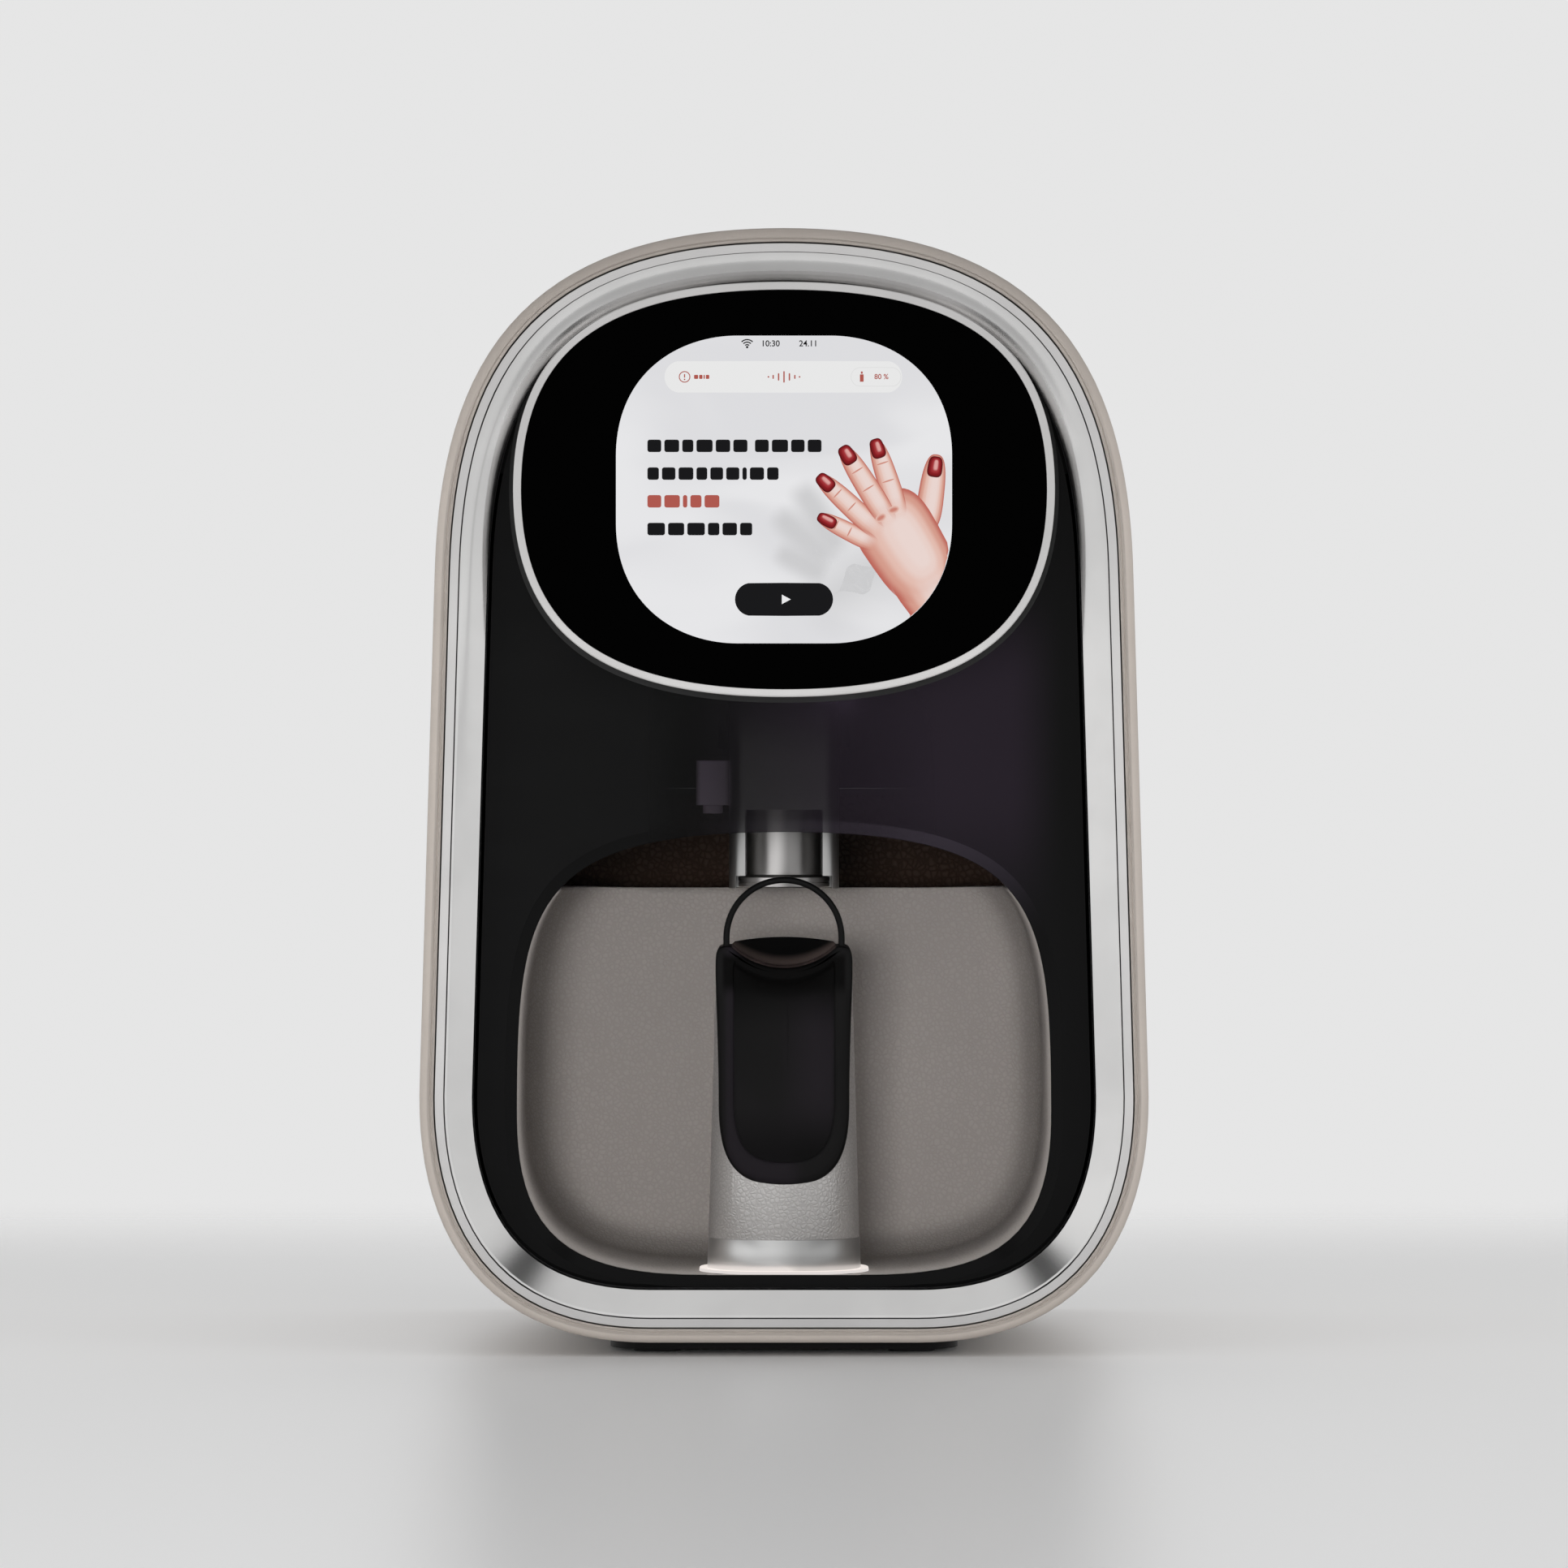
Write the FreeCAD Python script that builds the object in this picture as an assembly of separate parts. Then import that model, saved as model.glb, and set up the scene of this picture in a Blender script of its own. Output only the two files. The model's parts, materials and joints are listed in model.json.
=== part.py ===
"""Digital nail art printer: a counter-top cabinet with an arched front.

Frame: millimetres, +Z up, the front looks along -Y, +X is the user's right.
The origin is on the table, under the middle of the cabinet.

A leather-wrapped tube (body_shell and leather_wrap) is closed by a metal bezel and a smoked visor in
front, and by a screwed cover with a service door behind. Two bulkheads inside the tube carry the
chamber for the hand, the guide rods of the print gantry and the boards. The gantry has a bridge that
moves along Y, a carriage that moves along X on the bridge, and a print barrel that moves along Z in a
column on the carriage. The finger lies in a cradle on a post, under a wire hoop, below the barrel.
"""

import FreeCAD
import Part
import math
import os

V = FreeCAD.Vector
OUT = "parts"

# ---------------------------------------------------------------- cabinet outline, seen from the front
FOOT_RISE = 4.0  # table to the underside of the cabinet
CABINET_HEIGHT = 330.0
SHOULDER_HALF_WIDTH = 103.4
CROWN_DROP = 100.8  # top of the cabinet down to the shoulder
HIP_HALF_WIDTH = 107.9
HIP_HEIGHT = 75.6
SOLE_HALF_WIDTH = 39.9  # flat stretch of the underside
CROWN_RISE = 61.0  # how far the side runs on upward before the crown turns
CROWN_TUCK = 25.7  # how far inside the shoulder the crown's handle ends
HEEL_DROP = 38.2
HEEL_SWEEP = 53.5

# ---------------------------------------------------------------- cabinet depth and walls
CABINET_DEPTH = 200.0
WRAP_WALL = 1.2
SHELL_WALL = 3.0
EDGE_ROUND = 3.6  # bullnose of the leather at both ends
SLIP = 0.4  # gap between the shell and what slides into it
SEAM = 0.3  # gap between two trim pieces
TRIM_SET_BACK = 0.6  # trim and rear cover lie this far inside the bullnose
TRIM_WIDTH = 2.6
BEZEL_WIDTH = 8.0
BEZEL_ROUND = 7.7
FASCIA_DEPTH = 13.0  # front edge to the front bulkhead
VISOR_THICKNESS = 3.0
VISOR_EDGE_CHAMFER = 1.0
OPENING_BEVEL_RISE = 3.4
OPENING_BEVEL_DEPTH = 1.0
BULKHEAD_THICKNESS = 4.0
BULKHEAD_RING = 16.0

# ---------------------------------------------------------------- chamber opening, seen from the front
JAMB_WIDTH = 12.7  # visor beside the opening, at its widest
OPENING_SILL = 23.5  # all heights from here on are above the table
OPENING_WIDEST = 70.8
OPENING_CROWN = 155.1
OPENING_SOLE_HALF = 24.2
OPENING_CROWN_RISE = 62.3
OPENING_CROWN_TUCK = 3.3
OPENING_HEEL_DROP = 36.7
OPENING_HEEL_TUCK = 16.5
CHAMBER_DEPTH = 97.0
CHAMBER_ROUND = 14.0
CHAMBER_TOP = 137.2
LINER_WALL = 1.2
LINER_LIP = 0.2  # liner surface stands this far outside the opening's edge
TUB_WALL = 2.0
TUB_FLANGE = 6.0
TUB_FLANGE_WALL = 2.0

# ---------------------------------------------------------------- display pod
POD_HALF_HEIGHT = 61.5
POD_TOP_GAP = 0.5  # bezel to pod, at the top
POD_SIDE_GAP = 5.523  # bezel to pod, beside the pod's middle
POD_FULLNESS = 0.688  # 0.552 would be an ellipse
POD_RING = 2.4
POD_SET_BACK = 0.4
POD_BEVEL = 0.4
GLASS_WALL = 1.2
GLASS_SEAM = 0.1
GLASS_SET_BACK = 0.2
POD_HOUSING_WALL = 1.5
SCREEN_HALF_WIDTH = 49.7
SCREEN_HALF_HEIGHT = 45.5
SCREEN_FLAT_SIDE = 9.8
SCREEN_FLAT_TOP = 13.7
SCREEN_SIDE_RUN = 24.8
SCREEN_TOP_RUN = 17.5
PANEL_MARGIN = 3.0
PANEL_WALL = 2.6
BOARD_WALL = 1.6
DISPLAY_BOARD_WIDTH = 70.0
DISPLAY_BOARD_HEIGHT = 46.0
POD_NECK_WIDTH = 44.0
POD_NECK_HEIGHT = 24.0

# ---------------------------------------------------------------- finger post
POST_SET_BACK = 36.5  # front of the cabinet to the post's axis
POST_BASE_WIDTH = 45.8
POST_BASE_DEPTH = 41.0
POST_TOP_WIDTH = 41.0
POST_TOP_DEPTH = 37.0
POST_CORNER = 12.0
POST_TOP = 112.0
POST_WALL = 2.4
SKIRT_TOP = 33.5
SKIRT_PROUD = 0.15
RING_MARGIN = 2.5  # light ring past the post's foot, all round
RING_WALL = 1.0
RING_LIFT = 0.05  # keeps its ends clear of the floor, which starts to rise there
LED_COUNT = 12
LED_SIZE = 1.6
LED_HEIGHT = 0.5
POST_BRACKET_WIDTH = 60.0
POST_BRACKET_WALL = 2.0
POST_BOSS_R = 4.5
POST_SCREW_SPACING = 20.0

# ---------------------------------------------------------------- grip, cradle and hoop
GRIP_HALF_WIDTH = 19.5
GRIP_BOTTOM = 50.3
GRIP_PROUD = 2.6  # grip stands this far in front of the post
GRIP_FOOT_RISE = 1.25  # height of the round foot, as a share of the half width
GRIP_FOOT_FULLNESS = 0.62
GRIP_LIP = 4.6  # border between the grip's outline and its thumb groove
GROOVE_BOTTOM = 56.8
GROOVE_DEPTH = 1.3
SHOULDER_HALF = 20.4
SHOULDER_RISE = 9.0  # top of the post to the grip's shoulders
SHOULDER_ROUND = 2.6
CRADLE_HALF_CHORD = 15.7
CRADLE_DEPTH = 6.4
CRADLE_WALL = 1.5
CRADLE_STOP_RISE = 2.1  # above the shoulders, in the middle
CRADLE_STOP_EDGE = 0.6  # above the shoulders, at its ends
CRADLE_STOP_WALL = 3.0
HOOP_R = 17.2
HOOP_WIRE_R = 0.95
HOOP_RISE = 2.5  # shoulders to the centre of the arch
HOOP_LEAD = 12.5  # how far the hoop is in front of the post's axis
HOOP_LEG = 16.0
HOOP_SOCKET_WALL = 1.5

# ---------------------------------------------------------------- print column
HEAD_SET_BACK = 50.0  # front of the cabinet to the barrel's axis
SLEEVE_HALF = 16.5
SLEEVE_CORNER = 5.0
SLEEVE_BOTTOM = 138.0
SLEEVE_WINDOW = 23.7  # height of the front window
SLEEVE_LENGTH = 62.0
SLEEVE_POCKET_HALF = 14.5
WINDOW_HALF = 11.6
BARREL_R = 11.25
BARREL_WALL = 2.0
BARREL_LENGTH = 49.8
FLANGE_R = 13.8
FLANGE_LIFT = 0.2  # flange above the sleeve's foot
FLANGE_HEIGHT = 3.3
RUNNING_PLAY = 0.05
NOZZLE_R = 8.0
NOZZLE_WALL = 1.0
CARTRIDGE_LENGTH = 30.5
Z_NUT_HEIGHT = 4.0
Z_SCREW_R = 2.0
Z_SCREW_LENGTH = 25.5
Z_MOTOR_R = 10.0
Z_MOTOR_HEIGHT = 20.0
CAMERA_WIDTH = 10.0
CAMERA_DEPTH = 14.0
CAMERA_RISE = 25.0  # above the sleeve's foot
CAMERA_HEIGHT = 13.5
CAMERA_CORNER = 1.5
CAMERA_LENS_R = 3.0
CAMERA_LENS_LENGTH = 2.5

# ---------------------------------------------------------------- gantry
X_ROD_R = 3.0
X_ROD_RISE = 12.0  # top of the column to the lower cross rod
X_ROD_PITCH = 24.0
Y_ROD_R = 3.0
ROD_SEAT_FLOOR = 1.0
Y_ROD_MARGIN = 8.0  # outer face of an end block to its rod
BUSH_WALL = 3.0
CARRIAGE_HALF = 20.0
CARRIAGE_DEPTH = 16.0
CARRIAGE_LAP = 20.0  # how far the column overlaps the carriage's face
CARRIAGE_MARGIN = 10.0  # upper cross rod to the carriage's top
BLOCK_PLAY = 2.532  # shell to the end block's top corner
BLOCK_WIDTH = 17.0
BLOCK_MARGIN = 9.0  # cross rods to the end blocks' top and bottom
BLOCK_SET_BACK = 13.0  # behind the barrel's axis
BRIDGE_SET_BACK = 38.0
BRIDGE_DEPTH = 20.0
BRIDGE_WALL = 3.0
PULLEY_MARGIN = 11.0  # end block to the pulley's axis
PULLEY_R = 7.0
PULLEY_HEIGHT = 7.0
PULLEY_LIFT = 0.3
PULLEY_FLANGE = 1.2
BELT_WALL = 1.2
BELT_HEIGHT = 4.4
CLAMP_HALF_WIDTH = 8.0
CLAMP_LIP = 1.4
SHAFT_R = 1.5
MOTOR_SHAFT_REACH = 4.0  # how far the drive pulley's shaft goes down into the motor
X_MOTOR_SIDE = 20.0
X_MOTOR_HEIGHT = 22.0
Y_SCREW_MARGIN = 17.0  # end block to the screw's axis
Y_SCREW_R = 3.0
Y_SCREW_LEAD = 10.0  # how far the screw stands out in front of the bridge
Y_NUT_WIDTH = 14.0
Y_NUT_HEIGHT = 12.0
Y_MOTOR_SIDE = 24.0
Y_MOTOR_LENGTH = 24.0
MID_BULKHEAD_Y = 44.0
SERVICE_WINDOW_HALF = 45.0
BAY_LINER_HALF = 76.0
BAY_LINER_LOW = 100.0
BAY_LINER_HIGH = 166.0
TIE_BAR_R = 4.0
TIE_BAR_CROWN_SHARE = 0.55  # how far up the crown the upper pair is; the lower pair is at the hip

# ---------------------------------------------------------------- boards and fan
MAIN_BOARD_HALF = 46.0
MAIN_BOARD_LOW = 45.0
MAIN_BOARD_HIGH = 140.0
COOLER_SIDE = 28.0
COOLER_DEPTH = 7.0
COOLER_LOW = 92.0
COOLER_GROOVES = 6
COOLER_GROOVE = 1.8
DRIVER_COUNT = 3
DRIVER_SIDE = 9.0
DRIVER_PITCH = 16.0
DRIVER_DROP = 32.0
CHIP_WALL = 1.4
PLUG_COUNT = 4
PLUG_WIDTH = 12.0
PLUG_PITCH = 16.0
PLUG_DEPTH = 6.0
STANDOFF_LENGTH = 5.0
STANDOFF_R = 3.0
STANDOFF_EDGE = 5.0
FAN_SIDE = 50.0
FAN_DEPTH = 10.0
FAN_X = -28.0
FAN_Z = 90.0
FAN_BORE_R = 23.0
FAN_HUB_R = 10.0
FAN_BLADE_TIP_PLAY = 1.0
FAN_BLADES = 7
FAN_BLADE_WALL = 1.2
FAN_BLADE_TURN = 35.0
FAN_BLADE_HALF_DEPTH = 2.6
FAN_STRUTS = 3
FAN_STRUT = 3.0
FAN_STRUT_DEPTH = 2.0

# ---------------------------------------------------------------- rear cover, door, inlet and button
COVER_WALL = 4.0
COVER_SCREW_R = 1.5
COVER_SCREW_HEAD_R = 2.9
COVER_SCREW_HEAD = 1.8
COVER_BOSS_R = 4.5
COVER_BOSS_LENGTH = 14.0
COVER_BOSS_INSET = 9.0
COVER_SCREW_SHARES = (0.45, 0.5, 0.6)  # how far up the heel, the side and the crown each screw is
COVER_SCREW_THREAD = 9.0
DOOR_HALF = 50.0
DOOR_LOW = 168.0
DOOR_HIGH = 272.0
DOOR_PLAY = 0.4
DOOR_PIN_R = 1.0
DOOR_PIN_HALF = 5.0
DOOR_STOP = 2.0
DOOR_STOP_LAP = 7.0
DOOR_SCOOP_R = 9.0
DOOR_SCOOP_DEPTH = 2.4
DOOR_SCOOP_WIDTH = 14.0
MAGNET_R = 2.5
MAGNET_WALL = 1.2
VENT_COUNT = 9
VENT_PITCH = 5.0
VENT_WIDTH = 2.2
VENT_LENGTH = 40.0
IO_X = 42.0
USB_Z = 50.0
USB_WIDTH = 9.0
USB_HEIGHT = 3.2
USB_DEPTH = 8.0
USB_WALL = 0.35
TONGUE_WIDTH = 6.4
TONGUE_WALL = 0.7
TONGUE_SET_BACK = 1.4
BUTTON_Z = 78.0
BUTTON_R = 7.0
BUTTON_TRAVEL = 1.5
BUTTON_ROUND = 0.5
BUTTON_FLANGE = 1.6
BUTTON_FLANGE_LAP = 1.4
BUTTON_PLAY = 0.02
STEM_R = 2.2
STEM_LENGTH = 2.0
SWITCH_SIDE = 6.0
IO_BOARD_HALF = 15.0
IO_BOARD_BELOW = 13.0  # board's edges below the socket and above the button
IO_BOARD_ABOVE = 17.0
IO_BOARD_BACKSET = 8.0  # from the cover's inner face to the board
IO_PILLAR_R = 2.5
IO_PILLAR_EDGE = 3.5

# ---------------------------------------------------------------- foot
FOOT_HALF_WIDTH = 52.0
FOOT_HALF_DEPTH = 84.0
FOOT_CORNER = 14.0
PAD_LENGTH = 30.0
PAD_WIDTH = 14.0
PAD_CORNER = 4.0
PAD_HEIGHT = 1.6
PAD_SINK = 0.6
PAD_X = 38.0
PAD_Y = 64.0
FOOT_SCREW_X = 22.0
FOOT_SCREW_Y = 60.0

# ---------------------------------------------------------------- machine screws
SCREW_R = 1.5
SCREW_HEAD_R = 3.0
SCREW_HEAD = 1.4
SCREW_SLOT = 0.8
SLOT_REACH = 0.7  # of the head's radius
SCREW_GRIP = 1.0  # how far a screw stands past the wall it is driven into

# ---------------------------------------------------------------- places worked out from the sizes above
FRONT = -CABINET_DEPTH / 2
BACK = CABINET_DEPTH / 2
BULKHEAD_FRONT = FRONT + FASCIA_DEPTH
BULKHEAD_BACK = BULKHEAD_FRONT + BULKHEAD_THICKNESS
VISOR_FRONT = BULKHEAD_FRONT - VISOR_THICKNESS
INNER_INSET = WRAP_WALL + SHELL_WALL  # inner face of the shell, from the outer outline
TRIM_INSET = INNER_INSET + SLIP
BEZEL_INSET = TRIM_INSET + TRIM_WIDTH + SEAM
BEZEL_INNER = BEZEL_INSET + BEZEL_WIDTH
VISOR_INSET = BEZEL_INNER + SEAM
POD_FRONT = FRONT + POD_SET_BACK
GLASS_FRONT = POD_FRONT + GLASS_SET_BACK
CHAMBER_BACK = BULKHEAD_FRONT + CHAMBER_DEPTH
COVER_OUTER = BACK - TRIM_SET_BACK
COVER_INNER = COVER_OUTER - COVER_WALL
OPENING_HALF_WIDTH = HIP_HALF_WIDTH - VISOR_INSET - JAMB_WIDTH
FLOOR = OPENING_SILL - LINER_LIP  # surface that the post stands on
RING_TOP = FLOOR + RING_WALL
POD_CENTRE = FOOT_RISE + CABINET_HEIGHT - BEZEL_INNER - POD_TOP_GAP - POD_HALF_HEIGHT
POST_Y = FRONT + POST_SET_BACK
SHOULDER_TOP = POST_TOP + SHOULDER_RISE
CRADLE_FLOOR = SHOULDER_TOP - CRADLE_DEPTH
HOOP_CENTRE = SHOULDER_TOP + HOOP_RISE
HOOP_Y = POST_Y - HOOP_LEAD
HEAD_Y = FRONT + HEAD_SET_BACK
SLEEVE_BACK = HEAD_Y + SLEEVE_HALF
SLEEVE_COLLAR = SLEEVE_BOTTOM + SLEEVE_WINDOW
SLEEVE_TOP = SLEEVE_BOTTOM + SLEEVE_LENGTH
FLANGE_BOTTOM = SLEEVE_BOTTOM + FLANGE_LIFT
BARREL_TOP = FLANGE_BOTTOM + BARREL_LENGTH
CARTRIDGE_TOP = FLANGE_BOTTOM + FLANGE_HEIGHT + CARTRIDGE_LENGTH
CAMERA_BOTTOM = SLEEVE_BOTTOM + CAMERA_RISE
X_ROD_Y = SLEEVE_BACK + CARRIAGE_DEPTH / 2
X_ROD_LOW = SLEEVE_TOP + X_ROD_RISE
X_ROD_HIGH = X_ROD_LOW + X_ROD_PITCH
Y_ROD_Z = X_ROD_LOW + X_ROD_PITCH / 2
BLOCK_BOTTOM = X_ROD_LOW - BLOCK_MARGIN
BLOCK_TOP = X_ROD_HIGH + BLOCK_MARGIN
BLOCK_FRONT = HEAD_Y + BLOCK_SET_BACK
BRIDGE_FRONT = HEAD_Y + BRIDGE_SET_BACK
BRIDGE_BACK = BRIDGE_FRONT + BRIDGE_DEPTH
BRIDGE_TOP = BLOCK_BOTTOM + BRIDGE_WALL
PULLEY_Y = BRIDGE_FRONT + BRIDGE_DEPTH / 2
Y_SCREW_Z = BLOCK_BOTTOM - Y_NUT_HEIGHT / 2
MID_BULKHEAD_BACK = MID_BULKHEAD_Y + BULKHEAD_THICKNESS
OFFSET_SPANS = 10  # how finely an offset outline follows its curve
HALVINGS = 40  # steps of the search for a width at a height


# ---------------------------------------------------------------- helpers
def block(x0, x1, y0, y1, z0, z1):
    return Part.makeBox(x1 - x0, y1 - y0, z1 - z0, V(x0, y0, z0))


def rod(radius, start, end):
    """A round bar from one point to the other."""
    run = V(*end) - V(*start)
    return Part.makeCylinder(radius, run.Length, V(*start), run)


def joined(shapes):
    first, *others = shapes
    return first.fuse(others).removeSplitter() if others else first


def rounded_block(x0, x1, y0, y1, z0, z1, radius):
    """A block whose four upright edges are rounded."""
    solid = block(x0, x1, y0, y1, z0, z1)
    upright = [e for e in solid.Edges if abs(e.tangentAt(e.FirstParameter).z) > 0.99]
    return solid.makeFillet(radius, upright)


def rim_edges(solid, y):
    """The edges of a solid that lie in the plane at this y."""
    return [e for e in solid.Edges if max(abs(e.BoundBox.YMin - y), abs(e.BoundBox.YMax - y)) < 1e-4]


def edge_middle(edge):
    return edge.valueAt((edge.FirstParameter + edge.LastParameter) / 2)


def save(name, *solids):
    """Writes one node. Several solids make a group of separate pieces in the same node."""
    shape = solids[0] if len(solids) == 1 else Part.makeCompound(list(solids))
    shape.exportStep(os.path.join(OUT, name + ".step"))


# ---------------------------------------------------------------- outlines
# An outline is a list of runs up its right-hand side, from the bottom middle to the top middle. A run has
# two points if it is straight, or the four poles of a cubic curve. The left-hand side is its mirror image.
def cabinet_runs():
    sole, top = FOOT_RISE, FOOT_RISE + CABINET_HEIGHT
    hip = (HIP_HALF_WIDTH, FOOT_RISE + HIP_HEIGHT)
    shoulder = (SHOULDER_HALF_WIDTH, top - CROWN_DROP)
    lean = V(shoulder[0] - hip[0], 0, shoulder[1] - hip[1]).normalize()
    heel_end = (hip[0] - HEEL_DROP * lean.x, hip[1] - HEEL_DROP * lean.z)
    crown_start = (shoulder[0] + CROWN_RISE * lean.x, shoulder[1] + CROWN_RISE * lean.z)
    return [
        [(0, sole), (SOLE_HALF_WIDTH, sole)],
        [(SOLE_HALF_WIDTH, sole), (SOLE_HALF_WIDTH + HEEL_SWEEP, sole), heel_end, hip],
        [hip, shoulder],
        [shoulder, crown_start, (SHOULDER_HALF_WIDTH - CROWN_TUCK, top), (0, top)],
    ]


def opening_runs():
    side = (OPENING_HALF_WIDTH, OPENING_WIDEST)
    return [
        [(0, OPENING_SILL), (OPENING_SOLE_HALF, OPENING_SILL)],
        [
            (OPENING_SOLE_HALF, OPENING_SILL),
            (OPENING_HALF_WIDTH - OPENING_HEEL_TUCK, OPENING_SILL),
            (side[0], side[1] - OPENING_HEEL_DROP),
            side,
        ],
        [
            side,
            (side[0], side[1] + OPENING_CROWN_RISE),
            (OPENING_HALF_WIDTH - OPENING_CROWN_TUCK, OPENING_CROWN),
            (0, OPENING_CROWN),
        ],
    ]


def pod_runs():
    a, b, k = POD_HALF_WIDTH, POD_HALF_HEIGHT, POD_FULLNESS
    low, mid, high = POD_CENTRE - b, POD_CENTRE, POD_CENTRE + b
    return [
        [(0, low), (k * a, low), (a, mid - k * b), (a, mid)],
        [(a, mid), (a, mid + k * b), (k * a, high), (0, high)],
    ]


def screen_runs():
    a, b = SCREEN_HALF_WIDTH, SCREEN_HALF_HEIGHT
    side, flat = SCREEN_FLAT_SIDE, SCREEN_FLAT_TOP
    reach, rise = flat + SCREEN_TOP_RUN, side + SCREEN_SIDE_RUN
    low, mid, high = POD_CENTRE - b, POD_CENTRE, POD_CENTRE + b
    return [
        [(0, low), (flat, low)],
        [(flat, low), (reach, low), (a, mid - rise), (a, mid - side)],
        [(a, mid - side), (a, mid + side)],
        [(a, mid + side), (a, mid + rise), (reach, high), (flat, high)],
        [(flat, high), (0, high)],
    ]


def run_curve(run):
    curve = Part.BezierCurve()
    curve.setPoles([V(x, 0, z) for x, z in run])
    return curve


def inward(curve, share):
    """A point of a run and the direction into the outline there."""
    direction = curve.tangent(share)[0]
    return curve.value(share), V(-direction.z, 0, direction.x)


def moved_run(run, inset, y):
    """One run of an outline, moved inward by the inset, as an edge in the plane at this y."""
    lift = V(0, y, 0)
    curve = run_curve(run)
    shares = [i / OFFSET_SPANS for i in range(OFFSET_SPANS + 1)] if len(run) == 4 else [0, 1]
    points = []
    for share in shares:
        point, normal = inward(curve, share)
        points.append(point + normal * inset + lift)
    if len(run) == 2:
        return Part.LineSegment(*points).toShape()
    if inset == 0:
        curve.setPoles([V(x, y, z) for x, z in run])
        return curve.toShape()
    spline = Part.BSplineCurve()
    spline.interpolate(Points=points, InitialTangent=curve.tangent(0)[0], FinalTangent=curve.tangent(1)[0])
    return spline.toShape()


def outline_face(runs, inset, y):
    right = [moved_run(run, inset, y) for run in runs]
    left = [edge.mirror(V(0, 0, 0), V(1, 0, 0)) for edge in right]
    return Part.Face(Part.Wire(Part.__sortEdges__(right + left)))


def prism(runs, inset, y0, y1):
    """The outline, moved inward by the inset and drawn out from y0 to y1."""
    return outline_face(runs, inset, y0).extrude(V(0, y1 - y0, 0))


def band(runs, outer, inner, y0, y1):
    """A closed ring between two insets of one outline."""
    return prism(runs, outer, y0, y1).cut(prism(runs, inner, y0 - 1, y1 + 1))


def cabinet_rim(inset, run, share):
    """A point (x, z) at this inset from the cabinet's outline; run 1 is the heel, 2 the side, 3 the crown."""
    point, normal = inward(run_curve(cabinet_runs()[run]), share)
    spot = point + normal * inset
    return spot.x, spot.z


def rim_half_width(inset, z):
    """Half the room inside this inset of the cabinet's side or crown, at this height."""
    run = 2 if z < cabinet_rim(inset, 3, 0)[1] else 3
    low, high = 0.0, 1.0
    for _ in range(HALVINGS):
        share = (low + high) / 2
        low, high = (share, high) if cabinet_rim(inset, run, share)[1] < z else (low, share)
    return cabinet_rim(inset, run, low)[0]


def both_sides(spots):
    return [(sign * x, z) for x, z in spots for sign in (-1, 1)]


# widths of what has to fit between the cabinet's sides
POD_HALF_WIDTH = rim_half_width(BEZEL_INNER, POD_CENTRE) - POD_SIDE_GAP
BLOCK_OUTER_X = rim_half_width(INNER_INSET, BLOCK_TOP) - BLOCK_PLAY
BLOCK_INNER_X = BLOCK_OUTER_X - BLOCK_WIDTH
Y_ROD_X = BLOCK_OUTER_X - Y_ROD_MARGIN
PULLEY_X = BLOCK_INNER_X - PULLEY_MARGIN
Y_SCREW_X = BLOCK_INNER_X - Y_SCREW_MARGIN


# ---------------------------------------------------------------- cabinet
def cover_screw_spots():
    """(x, z) of the six cover screws, three on each side of the rim."""
    shares = enumerate(COVER_SCREW_SHARES)
    return both_sides([cabinet_rim(COVER_BOSS_INSET, i + 1, share) for i, share in shares])


def foot_screw_spots():
    """(x, y) of the four screws that hold the foot plate."""
    return [(x, y) for x in (-FOOT_SCREW_X, FOOT_SCREW_X) for y in (-FOOT_SCREW_Y, FOOT_SCREW_Y)]


def foot_screw_holes(radius):
    top = FOOT_RISE + INNER_INSET + 1
    return [rod(radius, (x, y, 0), (x, y, top)) for x, y in foot_screw_spots()]


def leather_wrap():
    """Leather skin: covers the tube and turns over both of its ends."""
    runs = cabinet_runs()
    solid = prism(runs, 0, FRONT, BACK)
    solid = solid.makeFillet(EDGE_ROUND, rim_edges(solid, FRONT) + rim_edges(solid, BACK))
    core = prism(runs, WRAP_WALL, FRONT + WRAP_WALL, BACK - WRAP_WALL)
    mouth = prism(runs, INNER_INSET, FRONT - 1, BACK + 1)
    return solid.cut(core).cut(mouth).cut(foot_screw_holes(SCREW_R + SLIP / 2))


def body_shell():
    """Moulded tube under the leather, with bosses for the rear cover's screws."""
    runs = cabinet_runs()
    front, back = FRONT + WRAP_WALL, BACK - WRAP_WALL
    outer = prism(runs, WRAP_WALL, front, back)
    inner = prism(runs, INNER_INSET, front - 1, back + 1)
    boss_start = COVER_INNER - COVER_BOSS_LENGTH
    bosses = []
    for x, z in cover_screw_spots():
        boss = rod(COVER_BOSS_R, (x, boss_start, z), (x, COVER_INNER, z))
        towards = V(x, 0, z - FOOT_RISE - CABINET_HEIGHT / 2).normalize()
        rib = Part.makeBox(COVER_BOSS_INSET, COVER_BOSS_LENGTH, COVER_BOSS_R)
        rib.translate(V(0, 0, -COVER_BOSS_R / 2))
        turn = -math.degrees(math.atan2(towards.z, towards.x))
        rib.rotate(V(0, 0, 0), V(0, 1, 0), turn)
        rib.translate(V(x, boss_start, z))
        bosses.append(boss.fuse(rib).common(outer))
    thread_end = COVER_INNER - COVER_SCREW_THREAD - SLIP
    holes = [rod(COVER_SCREW_R, (x, thread_end, z), (x, COVER_INNER + 1, z)) for x, z in cover_screw_spots()]
    return outer.cut(inner).fuse(bosses).removeSplitter().cut(holes + foot_screw_holes(SCREW_R))


def trim_ring():
    front = FRONT + TRIM_SET_BACK
    return band(cabinet_runs(), TRIM_INSET, TRIM_INSET + TRIM_WIDTH, front, BULKHEAD_FRONT)


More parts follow.
